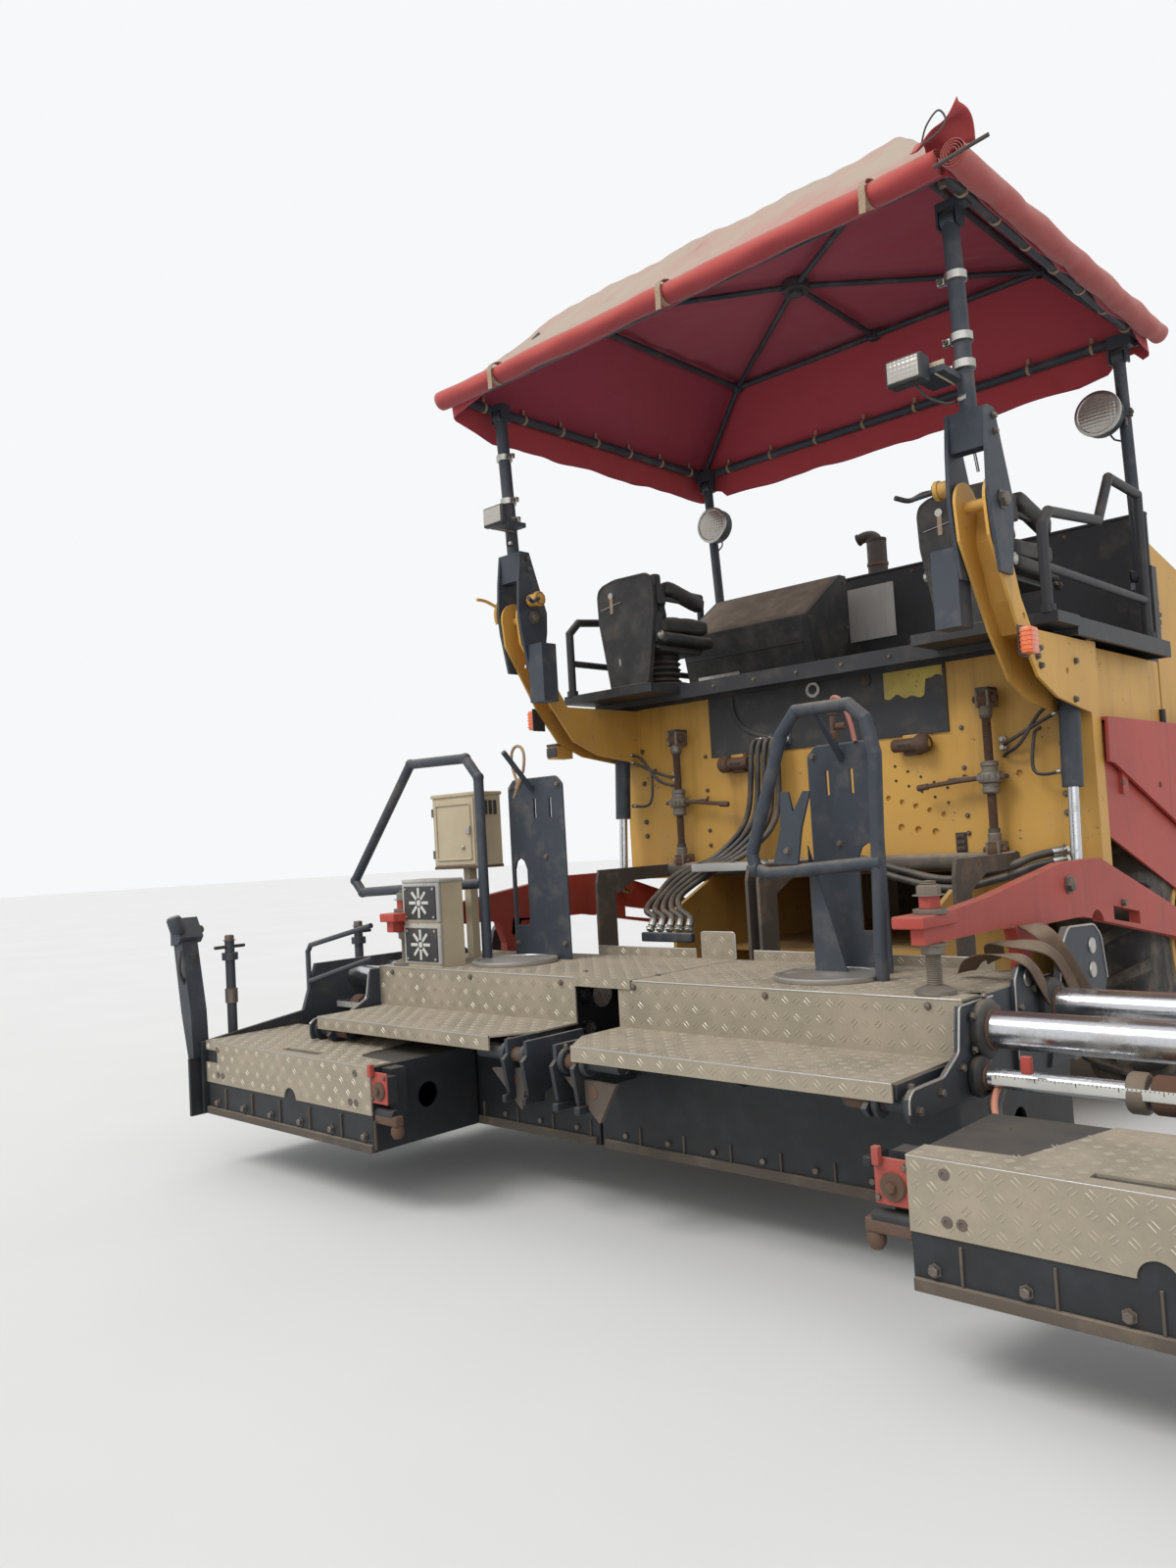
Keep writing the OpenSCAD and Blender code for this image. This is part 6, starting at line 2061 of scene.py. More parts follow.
            bag.block((spindle - 8, y - 70, 868), (spindle + 8, y + 70, 882),
                      self.palette[Slot.BLACK], 5)
        for y, z in ((-480, 300), (-480, 440), (-200, 300), (0, 500), (200, 640), (480, 300),
                     (480, 560)):
            bag.bolt((at(1329), y, z), (s, 0, 0), 26, steel)
        bag.block((at(1376), -560, 560), (at(1392), -530, 860), self.palette[Slot.BLACK], 4)
        bag.bolt((at(1425), -500, 955), AHEAD, 34, steel)
        bag.lathe([(0, 0), (26, 0), (30, 6), (30, 60), (24, 70), (0, 72)], (at(1400), -600, 950),
                  (0, -0.3, 1), self.palette[Slot.SLATE], 28)
        bag.tube([(at(1400), -560, 700), (at(1380), -610, 790), (at(1390), -600, 880)], 14,
                 self.palette[Slot.HOSE], count=16, sides=10)
        for k in range(6):
            x = at(230 + k * 200)
            bag.bolt((x, rear, 268), BACK, 24, steel)
            bag.block((x + 60, rear - 5, 232), (x + 66, rear + 3, 330), self.palette[Small.SOOT], 1)
        low, high = sorted((at(182), at(1308)))
        bag.block((low, -552, 218), (high, -536, 246), self.palette[Small.SOOT], 3)
        if s > 0:
            bag.block((at(236), -46, 596), (at(262), -28, 640), red, 3)
        bag.build(f"ext_{side}")

    def rule(self, bag: Bag, ends: Pair, y: float, z: float) -> None:
        """A white rule with a mark each 10 mm, longer at each 50 and longest at each 100.

        Args:
            bag: where it goes.
            ends: its lowest and highest x.
            y: its rear face.
            z: its middle height.
        """
        half_height, top = 13, 12.5
        first, last = ends
        bag.block((first, y - 4, z - half_height), (last, y, z + half_height),
                  self.palette[Small.WHITE], 1.5)
        faces = [[0, 1, 2, 3], [7, 6, 5, 4], [0, 4, 5, 1], [1, 5, 6, 2], [2, 6, 7, 3], [3, 7, 4, 0]]
        for k, x in enumerate(np.arange(first + 12, last - 8, 10.0)):
            foot = half_height - (11.0 if k % 10 == 0 else 7.0 if k % 5 == 0 else 4.0)
            corners = [(x + dx, y - dy, z + dz) for dy in (4.6, 3.8)
                       for dx, dz in ((-0.9, foot), (0.9, foot), (0.9, top), (-0.9, top))]
            bag.put(np.array(corners), faces, self.palette[Slot.BLACK])


@dataclass
class Racks(Assembly):
    """Gas racks' valve and hoses, rope loop, cabinet and vent modules."""

    def build(self) -> None:
        """What stands on the walkways."""
        bag = Bag("Rack_details")
        brass, steel = self.palette[Small.RUST], self.palette[Small.BOLT]
        bag.lathe([(0, 0), (12, 0), (16, 6), (16, 40), (9, 46), (9, 96), (15, 100), (15, 124),
                   (0, 128)], (700, 404, 1502), UP, brass, 20)
        bag.lathe([(0, 0), (12, 2), (12, 34), (0, 36)], (712, 404, 1560), RIGHT, brass, 16)
        bag.tube([(700, 404, 1628), (712, 396, 1655), (742, 394, 1640), (768, 396, 1570),
                  (780, 398, 1505)], 15, self.palette[Small.PINK], count=24, sides=12)
        for s, x0, x1 in ((1, 600, 850), (-1, 560, 870)):
            for x, z in ((x0 + 18, 1470), (x1 - 18, 1470), (x0 + 18, 830), (x1 - 18, 830),
                         (x0 + 100, 1180)):
                bag.bolt((s * x, 400, z), BACK, 19, steel)
            bag.lathe([(148, 0), (170, 0), (172, 3), (172, 14), (168, 17), (150, 17), (148, 14)],
                      (s * 719, 250, 766.5), UP, self.palette[Small.WORN_EDGE], 64)
            rim = [(s * x0, 406, 770), (s * x0, 406, 1470), (s * (x0 + 30), 406, 1500),
                   (s * (x1 - 30), 406, 1500), (s * x1, 406, 1470), (s * x1, 406, 770)]
            bag.tube(rim, 12.6, self.palette[Slot.SLATE], bend=8, sides=8)
        for z, x in ((1121, 915), (1110, 470)):
            bag.lathe([(20, -16), (25, -14), (25, 14), (20, 16)], (x, 250, z), (1, 0, 0.06),
                      self.palette[Slot.SLATE], 24)
        self.cabinet(bag)
        self.fork(bag)
        self.vents(bag)
        bag.build("screed")
        rope = Bag("Rope_loop")
        a = np.linspace(-0.4, 2 * np.pi - 0.7, 40)
        line = np.stack([-800 + 42 * np.cos(a) + 8 * np.sin(2 * a), 398 - 6 * np.cos(a),
                         1566 + 78 * np.sin(a)], 1)
        line = np.vstack([[[-822, 399, 1470]], line, [[-842, 404, 1430]]])
        path = smooth_path(line, 70)
        rope.tube(path, 13, self.palette[Small.CORD_TAN], sides=10)
        rope.build("screed")

    def fork(self, bag: Bag) -> None:
        """The Y-shaped plate that stands on the right rack, with its pin.

        Args:
            bag: where the shapes go.
        """
        outline = [(593, 1357), (621, 1354), (634, 1289), (676, 1354), (701, 1352), (662, 1238),
                   (640, 1124), (549, 1127), (584, 1240)]
        bag.plate(outline, 236, 246, 1, self.palette[Slot.SLATE])
        bag.bolt((606, 236, 1166), BACK, 20, self.palette[Small.BOLT])

    def cabinet(self, bag: Bag) -> None:
        """A raised frame on the door, its seam, hinges, latch, and vent slots drawn as black blocks
        for their shade.

        Args:
            bag: where the shapes go.
        """
        cream, steel = self.palette[Slot.CREAM], self.palette[Small.BOLT]
        bag.block((-1246, 282, 1452), (-954, 438, 1468), cream, 5)
        bag.block((-1232, 284, 1162), (-968, 291, 1444), cream, 3)
        frame = [(-1212, 282, 1186), (-988, 282, 1186), (-988, 282, 1420), (-1212, 282, 1420),
                 (-1212, 282, 1186)]
        bag.tube(frame, 9, cream, bend=8, sides=10)
        for z in (1210, 1390):
            bag.lathe([(0, -18), (6, -18), (6, 18), (0, 18)], (-1236, 284, z), UP, steel, 14)
        bag.block((-1006, 268, 1290), (-984, 284, 1326), self.palette[Small.SILVER], 4)
        bag.lathe([(0, 0), (9, 0), (9, 6), (5, 9), (0, 9)], (-1040, 283, 1236), BACK,
                  self.palette[Small.SILVER], 18)
        bag.block((-1243, 286, 1146), (-957, 434, 1158), self.palette[Small.RUST], 3)
        # painted shade: black blocks stand for the dark inside of the vent slots
        for k in range(4):
            bag.block((-956, 310 + k * 26, 1370), (-951, 324 + k * 26, 1430),
                      self.palette[Slot.BLACK], 1)

    def vents(self, bag: Bag) -> None:
        """Two modules one on the other; on each a black plate with eight rays and four screws.

        Args:
            bag: where the shapes go.
        """
        pale = self.palette[Small.MODULE]
        for z in (776.0, 944.0):
            bag.block((-1138, 24, z), (-902, 40, z + 158), pale, 6)
            bag.block((-1120, 18, z + 12), (-920, 26, z + 146), self.palette[Slot.BLACK], 4)
            for k in range(8):
                a = k * math.pi / 4
                mid = np.array([-1020 + 40 * math.cos(a), 16.5, z + 79 + 40 * math.sin(a)])
                turn = np.array([[math.cos(a), 0, -math.sin(a)], [0, 1, 0],
                                 [math.sin(a), 0, math.cos(a)]])
                bag.block(mid - [21, 2.5, 6.5], mid + [21, 2.5, 6.5], self.palette[Small.WHITE], 2,
                          turn)
            bag.lathe([(0, 0), (12, 0), (12, 3), (0, 4)], (-1020, 18, z + 79), BACK,
                      self.palette[Small.WHITE], 20)
            for x, dz in ((-1108, 22), (-932, 22), (-1108, 134), (-932, 134)):
                bag.lathe([(0, 0), (6, 0), (5, 2.5), (0, 3)], (x, 18, z + dz), BACK,
                          self.palette[Small.SILVER], 12)
        bag.block((-1142, 26, 1102), (-898, 154, 1116), pale, 5)


@dataclass
class LashingStraps(Assembly):
    """Three turns of brown webbing straps thrown over the right lug plates."""

    width: float = 58.0
    thickness: float = 0.003
    points: int = 60

    def build(self) -> None:
        """Each strap is a ribbon along a smooth line, twisted a little as it goes."""
        lines = {"Strap_long": [(1120, 560, 800), (1160, 470, 862), (1235, 420, 868),
                                (1305, 470, 852), (1318, 560, 800), (1322, 640, 716),
                                (1328, 660, 640), (1336, 640, 600)],
                 "Strap_short": [(1150, 700, 872), (1210, 600, 905), (1280, 560, 880),
                                 (1312, 600, 800), (1320, 700, 700), (1322, 790, 640),
                                 (1330, 850, 600)], "Strap_fold": [(1100, 400, 785),
                                                                   (1150, 350, 826),
                                                                   (1225, 330, 846),
                                                                   (1296, 352, 830),
                                                                   (1308, 420, 772),
                                                                   (1312, 480, 706)],}
        for name, line in lines.items():
            path = smooth_path(line, self.points)
            t = np.linspace(0, 1, self.points)
            side, other = frames_along(path, (0.2, 1.0, 0.1))
            twist = 0.5 * np.sin(t * 5 + len(name))
            across = side * np.cos(twist)[:, None] + other * np.sin(twist)[:, None]
            v = np.linspace(-0.5, 0.5, 9)
            cup = 5 * (v**2 - 0.1)
            grid = path[:, None] + across[:, None] * (v * self.width)[None, :, None]
            hollow = np.cross(across, unit(np.gradient(path, axis=0)))
            grid = grid + hollow[:, None] * cup[None, :, None]
            mesh = sheet_mesh(name, grid, False, self.palette[Small.STRAP],
                              np.zeros_like(grid) + [1.0, 0, 0.6])
            area = mesh_area(mesh)
            obj = shown(name, mesh, "screed", 60)
            solidify(obj, self.thickness)


# ------------------------------------------------------------- wheels and tyres


@dataclass
class RearTyre(Assembly):
    """Traction tyre with two rows of slanting lugs, and the nuts and cap on its rim."""

    x: float = 937.0
    y: float = 2570.0
    radius: float = 690.0
    lugs: int = 23

    def build(self) -> None:
        """Both rear tyres and rims' fittings."""
        for side, s in SIDES:
            bag = Bag(f"Rear_tyre_{side}")
            centre, rubber = (s * self.x, self.y, self.radius), self.palette[Slot.TYRE]
            half = [(318, 173.5), (336, 174), (342, 184), (372, 188), (378, 191), (388, 191),
                    (394, 189), (452, 191), (458, 192.3), (466, 192.3), (472, 190), (540, 188),
                    (596, 182), (632, 169), (650, 146), (657, 100), (660, 45)]
            outline = [(r, -u) for r, u in half] + [(661, 0)] + half[::-1] + [(318, -173.5)]
            bag.lathe(outline, centre, RIGHT, rubber, 96)
            for e in (-1, 1):
                self.row(bag, s, e, rubber)
            obj = bag.build(f"rear_wheel_{side}")
            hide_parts(f"rear_tyre_{side}")
            self.rim(side, s)

    def row(self, bag: Bag, s: int, e: int, rubber: bpy.types.Material) -> None:
        """One row of lugs.

        Each lug is a bar of four-cornered sections from just past the middle out over the
        shoulder; its angle round the axle grows along it, and its foot is wider than its top.

        Args:
            bag: where the shapes go.
            s: -1 on the left, 1 on the right.
            e: -1 for the row left of the middle, 1 for the other.
            rubber: the tyre's finish.
        """
        u = np.array([-16, 40, 95, 138, 166, 184, 190.5]) * e
        top = np.array([690, 690, 690, 687, 676, 646, 606.0])
        foot = np.array([640, 640, 640, 634, 622, 606, 590.0])
        sweep = np.array([0, 0.05, 0.1, 0.135, 0.15, 0.157, 0.16])
        start = (np.arange(self.lugs) + 0.25 * e) * 2 * np.pi / self.lugs
        angle = start[:, None] + sweep[None]
        wide, narrow = 27.0 / self.radius, 21.0 / self.radius
        rings = [(foot, -wide), (top, -narrow), (top, narrow), (foot, wide)]
        r = np.stack([np.broadcast_to(q, angle.shape) for q, _ in rings], -1)
        a = np.stack([angle + w for _, w in rings], -1)
        points = np.stack([np.broadcast_to((s * self.x + u)[None, :, None], a.shape),
                           self.y + r * np.sin(a), self.radius + r * np.cos(a)], -1)
        n = len(u)
        one = np.array(grid_faces(n, 4, True) + [[0, 1, 2, 3],
                                                 [(n - 1) * 4 + k for k in (3, 2, 1, 0)]])
        faces = (one[None] + (np.arange(self.lugs) * 4 * n)[:, None, None]).reshape(-1, 4).tolist()
        bag.put(points, faces, rubber)

    def rim(self, side: str, s: int) -> None:
        """Ten wheel nuts on studs, a hub cap with its own bolts, and the valve.

        Args:
            side: left or right.
            s: -1 on the left, 1 on the right.
        """
        bag = Bag(f"Rim_details_{side}")
        x, y, z = s * (self.x - 30), self.y, self.radius
        steel = self.palette[Small.BOLT]
        for a in even_angles(10):
            spot = (x, y + 168 * math.cos(a), z + 168 * math.sin(a))
            bag.bolt(spot, (s, 0, 0), 38, steel, 26)
            bag.lathe([(0, 0), (11, 0), (11, 40), (8, 43), (0, 43)], spot, (s, 0, 0), steel, 14)
        bag.lathe([(0, 0), (104, 0), (112, 5), (112, 26), (96, 46), (60, 54), (0, 56)], (x, y, z),
                  (s, 0, 0), self.palette[Slot.DARK], 48)
        bag.bolt_ring((x + s * 42, y, z), s, 84, even_angles(6, 0.3), 17, steel)
        bag.tube([(x + s * 2, y + 250, z + 60), (x + s * 34, y + 256, z + 62),
                  (x + s * 70, y + 262, z + 64)], 10, steel, count=10, sides=10)
        bag.build(f"rear_wheel_{side}")


@dataclass
class FrontWheels(Assembly):
    """Solid rubber front wheels: grooved tyre, pressed rim, hub with nuts and grease cap."""

    x: float = 930.0
    radius: float = 280.0
    rows: tuple[tuple[str, float], ...] = (("rear", 4570.0), ("front", 5230.0))

    def build(self) -> None:
        """Four wheels, each in place of its CAD solid."""
        tread = [(272, -150), (279, -141), (280, -108), (274, -104), (274, -94), (280, -90),
                 (280, -8), (274, -4), (274, 4), (280, 8), (280, 90), (274, 94), (274, 104),
                 (280, 108), (279, 141), (272, 150)]
        outline = [(184, -146), (196, -150)] + tread + [(196, 150), (184, 146), (184, -146)]
        rim = [(150, 138), (150, 14), (60, 14), (60, -14), (150, -14), (150, -138), (178, -146),
               (186, -146), (186, 146), (178, 146), (150, 138)]
        hub = [(38.5, -59), (66, -59), (70, -55), (70, 48), (62, 59), (38.5, 59), (38.5, -59)]
        for side, s in SIDES:
            for end, y in self.rows:
                bag = Bag(f"Front_wheel_{side}_{end}")
                centre = (s * self.x, y, self.radius)
                bag.lathe(outline, centre, (s, 0, 0), self.palette[Slot.TYRE], 72)
                bag.lathe(rim, centre, (s, 0, 0), self.palette[Slot.YELLOW], 56)
                bag.lathe(hub, centre, (s, 0, 0), self.palette[Slot.DARK], 40)
                bag.lathe([(0, 50), (48, 50), (50, 56), (44, 78), (20, 84), (0, 84)], centre,
                          (s, 0, 0), self.palette[Slot.DARK], 36)
                bag.bolt_ring((s * (self.x + 14), y, self.radius), s, 112, even_angles(8), 30,
                              self.palette[Small.BOLT])
                obj = bag.build(f"wheel_{side}_{end}")
                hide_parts(f"front_wheel_{side}_{end}")


# ------------------------------------------------------------------------ hoses


def lead(name: str, points: Sequence[Triple], diameter: float, material: bpy.types.Material,
         body: Optional[str], metal: bpy.types.Material,
         count: int = 56, end_body: str = "") -> bpy.types.Object:
    """One hose as its own object with a crimped fitting on its end.

    Args:
        name: the object's name.
        points: its way, in drawing millimetres.
        diameter: in millimetres.
        material: its finish.
        body: the body that it rides on, or None to leave it without one.
        metal: the fitting's finish.
        count: points along it.
        end_body: the body that carries its fitting, if it isn't the hose's own.
    Returns:
        The hose.
    """
    path = smooth_path(points, count)
    bag = Bag(name)
    bag.tube(path, diameter, material, sides=12)
    obj = bag.build(body)
    r = diameter / 2
    end = Bag(f"{name}_fitting")
    way = unit(path[-1] - path[-3])
    end.lathe([(0, -2.4 * r), (r + 1.5, -2.4 * r), (r + 3, -2.1 * r), (r + 3, 0), (0.8 * r, 4),
               (0.8 * r, 0.9 * r), (0, 0.9 * r)], path[-1], way, metal, 18)
    end.bolt(path[-1] + way * 0.8 * r, way, 2.5 * r, metal, 0.9 * r)
    fitting = end.build(end_body or body)
    return obj


@dataclass
class Hoses(Assembly):
    """The hydraulic bundle from the rear wall to the screed, cross hoses and cylinder leads."""

    count: int = 5

    def build(self) -> None:
        """Each hose follows the CAD's route, then hangs over to its fitting on the screed."""
        rubber, steel = self.palette[Slot.HOSE], self.palette[Small.SILVER]
        ends, wall = Bag("Hose_rack"), Bag("Hose_wall_fittings")
        first = None
        for i in range(self.count):
            route = [(-180 - 34 * i, 1462, 1640), (-180 - 34 * i, 1435, 1640),
                     (-182 - 35 * i, 1395, 1600), (-200 - 40 * i, 1380, 1300),
                     (-300 - 46 * i, 1300, 1150 - 4 * i), (-420 - 46 * i, 1160, 1060),
                     (-470 - 30 * i, 1010, 975 + 3 * i), (-330 - 46 * i, 830, 930),
                     (-205 - 47 * i, 735, 905), (-188 - 49 * i, 704, 872)]
            obj = lead(f"Hose_{i + 1}", route, 26, rubber, None, steel, 80,
                       "screed")
            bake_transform(obj)
            first = first or obj
            wall.lathe([(0, -6), (19, -6), (19, 8), (15, 10), (15, 30), (0, 32)], route[0], BACK,
                       steel, 20)
        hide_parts("hoses")
        ends.block((-420, 676, 812), (-160, 704, 850), self.palette[Slot.SLATE], 6)
        ends.build("screed")
        wall.block((-345, 1456, 1612), (-150, 1464, 1668), self.palette[Slot.SLATE], 3)
        wall.build("tractor")
        for k, z in enumerate((0.0, 34.0)):
            lead(f"Cross_hose_{k + 1}", [(40, 1446, 1128 - z), (249, 1340, 1092 - z),
                                         (430, 1320, 1042 - z), (623, 1318, 1006 - z),
                                         (816, 1330, 1040 - z), (930, 1380, 1082 - z),
                                         (1010, 1440, 1100 - z)], 30, rubber, "tractor", steel)
        for side, s in SIDES:
            for k, (z, end) in enumerate(((1604, 1509), (1640, 1471))):
                lead(f"Cylinder_hose_{side}_{k + 1}", [(s * 806, 1468, end),
                                                       (s * 830, 1436, end + 8),
                                                       (s * 895, 1410, end + 34 + 6 * k),
                                                       (s * 985, 1400, z - 20),
                                                       (s * (1046 + 6 * k), 1398, z + 6)], 15,
                     rubber, "tractor", steel)
            lead(f"Return_hose_{side}", [(s * 952, 1468, 1566), (s * 944, 1430, 1540),
                                         (s * 936, 1412, 1440), (s * 950, 1404, 1396),
                                         (s * 990, 1400, 1386), (s * 1046, 1398, 1392)], 13, rubber,
                 "tractor", steel)
        salmon = [(1340, 60, 560), (1352, -20, 520), (1378, -66, 480), (1440, -90, 440),
                  (1484, -70, 404)]
        lead("Gas_hose", salmon, 17, self.palette[Small.SALMON], "screed", steel,
             40)
        for k in range(2):
            lead(f"Screed_hose_{k + 1}", [(1322, 80 + 30 * k, 540),
                                          (1340 + 8 * k, -4, 500 - 14 * k),
                                          (1390 + 10 * k, -52, 446 - 16 * k),
                                          (1452 + 12 * k, -50, 396 - 14 * k)], 26, rubber, "screed",
                 steel, 40)


# ------------------------------------------------------------------- rear wall


@dataclass
class RearWall(Assembly):
    """Jacks, stubs, caps and small plates on the tractor's back."""

    jack_x: float = 770.0
    jack_y: float = 1410.0
    patch_grid: tuple[int, int] = (26, 18)

    def build(self) -> None:
        """All in one piece on the tractor."""
        bag = Bag("Rear_wall_details")
        for s in (-1, 1):
            self.jack(bag, s)
            self.stub(bag, s)
            self.cylinder(bag, s)
        self.plates(bag)
        bag.build("tractor")

    def jack(self, bag: Bag, s: int) -> None:
        """A turnbuckle: two threaded rods in a ribbed sleeve, forked ends, ratchet and lever.

        The thread is a zigzag radius along the rod, 6 mm to a turn.

        Args:
            bag: where the shapes go.
            s: -1 on the left, 1 on the right.
        """
        x, y = s * self.jack_x, self.jack_y
        rust, grey = self.palette[Small.RUST], self.palette[Small.CAST]
        for z0, z1 in ((1196, 1328), (1452, 1618)):
            bag.lathe(thread(z0, z1, 15.2, 18.4), (x, y, 0), UP, rust, 20)
        bag.lathe([(0, 1326), (27, 1328), (33, 1334), (33, 1350), (30, 1354), (30, 1366),
                   (44, 1372), (46, 1378), (46, 1404), (44, 1410), (30, 1416), (30, 1432),
                   (34, 1436), (34, 1448), (27, 1454), (0, 1454)], (x, y, 0), UP, grey, 36)
        for a in even_angles(14):
            rib_x, rib_y = x + 45 * math.cos(a), y + 45 * math.sin(a)
            bag.block((rib_x - 5, rib_y - 5, 1380), (rib_x + 5, rib_y + 5, 1402), grey, 2)
        for z, up in ((1110, -1), (1696, 1)):
            bag.lathe([(0, 0), (20, 0), (26, 8), (24, 40), (0, 44)], (x, y, z - up * 70),
                      (0, 0, up), grey, 24)
            for e in (-1, 1):
                bag.block((x + e * 22 - 6, y - 30, z - 34), (x + e * 22 + 6, y + 58, z + 34), grey,
                          5)
            bag.lathe([(0, -20), (30, -20), (34, -14), (34, 14), (30, 20), (0, 20)], (x, y, z),
                      RIGHT, rust, 32)
            bag.bolt((x + 28, y, z), RIGHT, 36, rust)
            bag.bolt((x - 28, y, z), (-1, 0, 0), 30, rust)
        tip, drop = (479.0, 1371.0) if s > 0 else (-481.0, 1367.0)
        bag.tube([(x - s * 40, y - 4, 1391), (x - s * 120, y - 8, 1386), (tip, y - 12, drop)], 19,
                 rust, sides=12)
        bag.lathe([(9, 0), (13, 3), (13, 46), (9, 50), (0, 50)], (tip + s * 40, y - 11, drop + 3),
                  (-s, 0, -0.1), rust, 16)
        bag.block((x + s * 30, y - 22, 1382), (x + s * 66, y + 22, 1400), rust, 5)

    def stub(self, bag: Bag, s: int) -> None:
        """A rusty tube end with a thick collar on its outer end; its slot is a dark block, painted
        shade.

        Args:
            bag: where the shapes go.
            s: -1 on the left, 1 on the right.
        """
        y, z, rust = 1424.0, 1550.0, self.palette[Small.RUST]
        bag.lathe([(0, 362), (24, 362), (27, 366), (27, 466), (36, 470), (39, 476), (39, 506),
                   (36, 514), (26, 524), (20, 526), (20, 518), (0, 518)], (0, y, z), (s, 0, 0),
                  rust, 36)
        # painted shade: a dark block stands for the slot's opening on the tube
        bag.block((s * 392, y - 29, z - 7), (s * 452, y - 20, z + 7), self.palette[Small.SOOT], 4)
        bag.block((s * 400, y + 10, z - 42), (s * 470, REAR_WALL_Y, z - 16), rust, 5)
        bag.block((s * 400, y + 10, z + 16), (s * 470, REAR_WALL_Y, z + 42),
                  self.palette[Slot.YELLOW], 5)

    def cylinder(self, bag: Bag, s: int) -> None:
        """Ports on the lift cylinders and the ring of wall fittings that feed them.

        Args:
            bag: where the shapes go.
            s: -1 on the left, 1 on the right.
        """
        for z in (1504, 1536):
            bag.lathe([(0, -12), (13, -12), (13, 10), (9, 12), (9, 24), (0, 24)],
                      (s * 812, 1458, z), BACK, self.palette[Small.SILVER], 16)
        for z in (1240, 1310, 1660, 1500):
            bag.bolt((s * 1030, REAR_WALL_Y - 1, z), BACK, 20, self.palette[Small.BOLT])
            bag.bolt((s * 640, REAR_WALL_Y - 1, z - 60), BACK, 16, self.palette[Small.BOLT])

    def plates(self, bag: Bag) -> None:
        """Caps, a black tube painted as the shade of the arc recess, worn patch, slotted strip with
        its slots painted dark as shade, and tan plate.

        The patch is a grid whose lower edge follows a ripple and steps up near its right end.

        Args:
            bag: where the shapes go.
        """
        black, soot_and_shade = self.palette[Slot.BLACK], self.palette[Small.SOOT]
        bag.lathe([(0, 0), (30, 0), (34, 3), (34, 10), (29, 13), (25, 9), (0, 9)],
                  (-21, 1462, 1838), BACK, self.palette[Small.WHITE], 40)
        bag.lathe([(0, 8), (22, 8), (20, 12), (0, 14)], (-21, 1462, 1838), BACK, black, 32)
        bag.lathe([(0, 0), (32, 0), (32, 4), (24, 8), (0, 8)], (231, 1462, 1846), BACK, soot_and_shade, 36)
        # painted shade: a black tube stands for the dark of the arc recess in the wall
        arc = [(-463, 1460, 1866), (-455, 1460, 1790), (-410, 1460, 1718), (-330, 1460, 1672),
               (-238, 1460, 1648)]
        bag.tube(arc, 22, black, count=40, sides=10)
        u, v = np.meshgrid(*(np.linspace(0, 1, n) for n in self.patch_grid), indexing="ij")
        x = 318 + 262 * u
        low = 1748 + 14 * ripple(x, 0 * x, 70, 1.1) + np.clip((x - 495) / 10, 0, 1) * 74
        z = low + (1862 - low) * v
        flat = np.stack([x, np.full_like(x, 1461.2), z], -1)
        bag.put(np.stack([flat, flat + [0, 1.4, 0]]), twin_faces(*self.patch_grid),
                self.palette[Small.WORN_YELLOW])
        bag.block((586, 1462, 1026), (630, REAR_WALL_Y, 1184), black, 2)
        # painted shade: each slat carries a dark block where its slot opens
        for k in range(6):
            bag.block((592, 1457, 1036 + k * 25), (624, 1464, 1052 + k * 25),
                      self.palette[Small.RUST], 2)
            bag.block((602, 1455, 1041 + k * 25), (614, 1460, 1047 + k * 25), soot_and_shade, 1)
        bag.block((-448, 1070, 1098), (-60, 1310, 1106), self.palette[Small.MODULE], 3)
        bag.block((-448, 1066, 1072), (-60, 1076, 1106), self.palette[Small.MODULE], 3)
        for x in (-430, -250, -78):
            for y in (1100, 1280):
                bag.bolt((x, y, 1106), UP, 17, self.palette[Small.BOLT])
        for i in range(5):
            for j in range(2):
                bag.lathe([(0, 0), (6, 0), (6, 2), (0, 3)], (340 + 56 * i, REAR_WALL_Y,
                                                             1470 - 26 * i - 60 * j), BACK, soot_and_shade,
                          12)
        for x in (-1120, -900, -700, -380, 0, 380, 700, 900, 1120):
            bag.lathe([(0, 0), (9, 0), (8, 4), (0, 5)], (x, REAR_WALL_Y, 1046), BACK,
                      self.palette[Small.RUST], 12)


# -------------------------------------------------------------- deck and hood


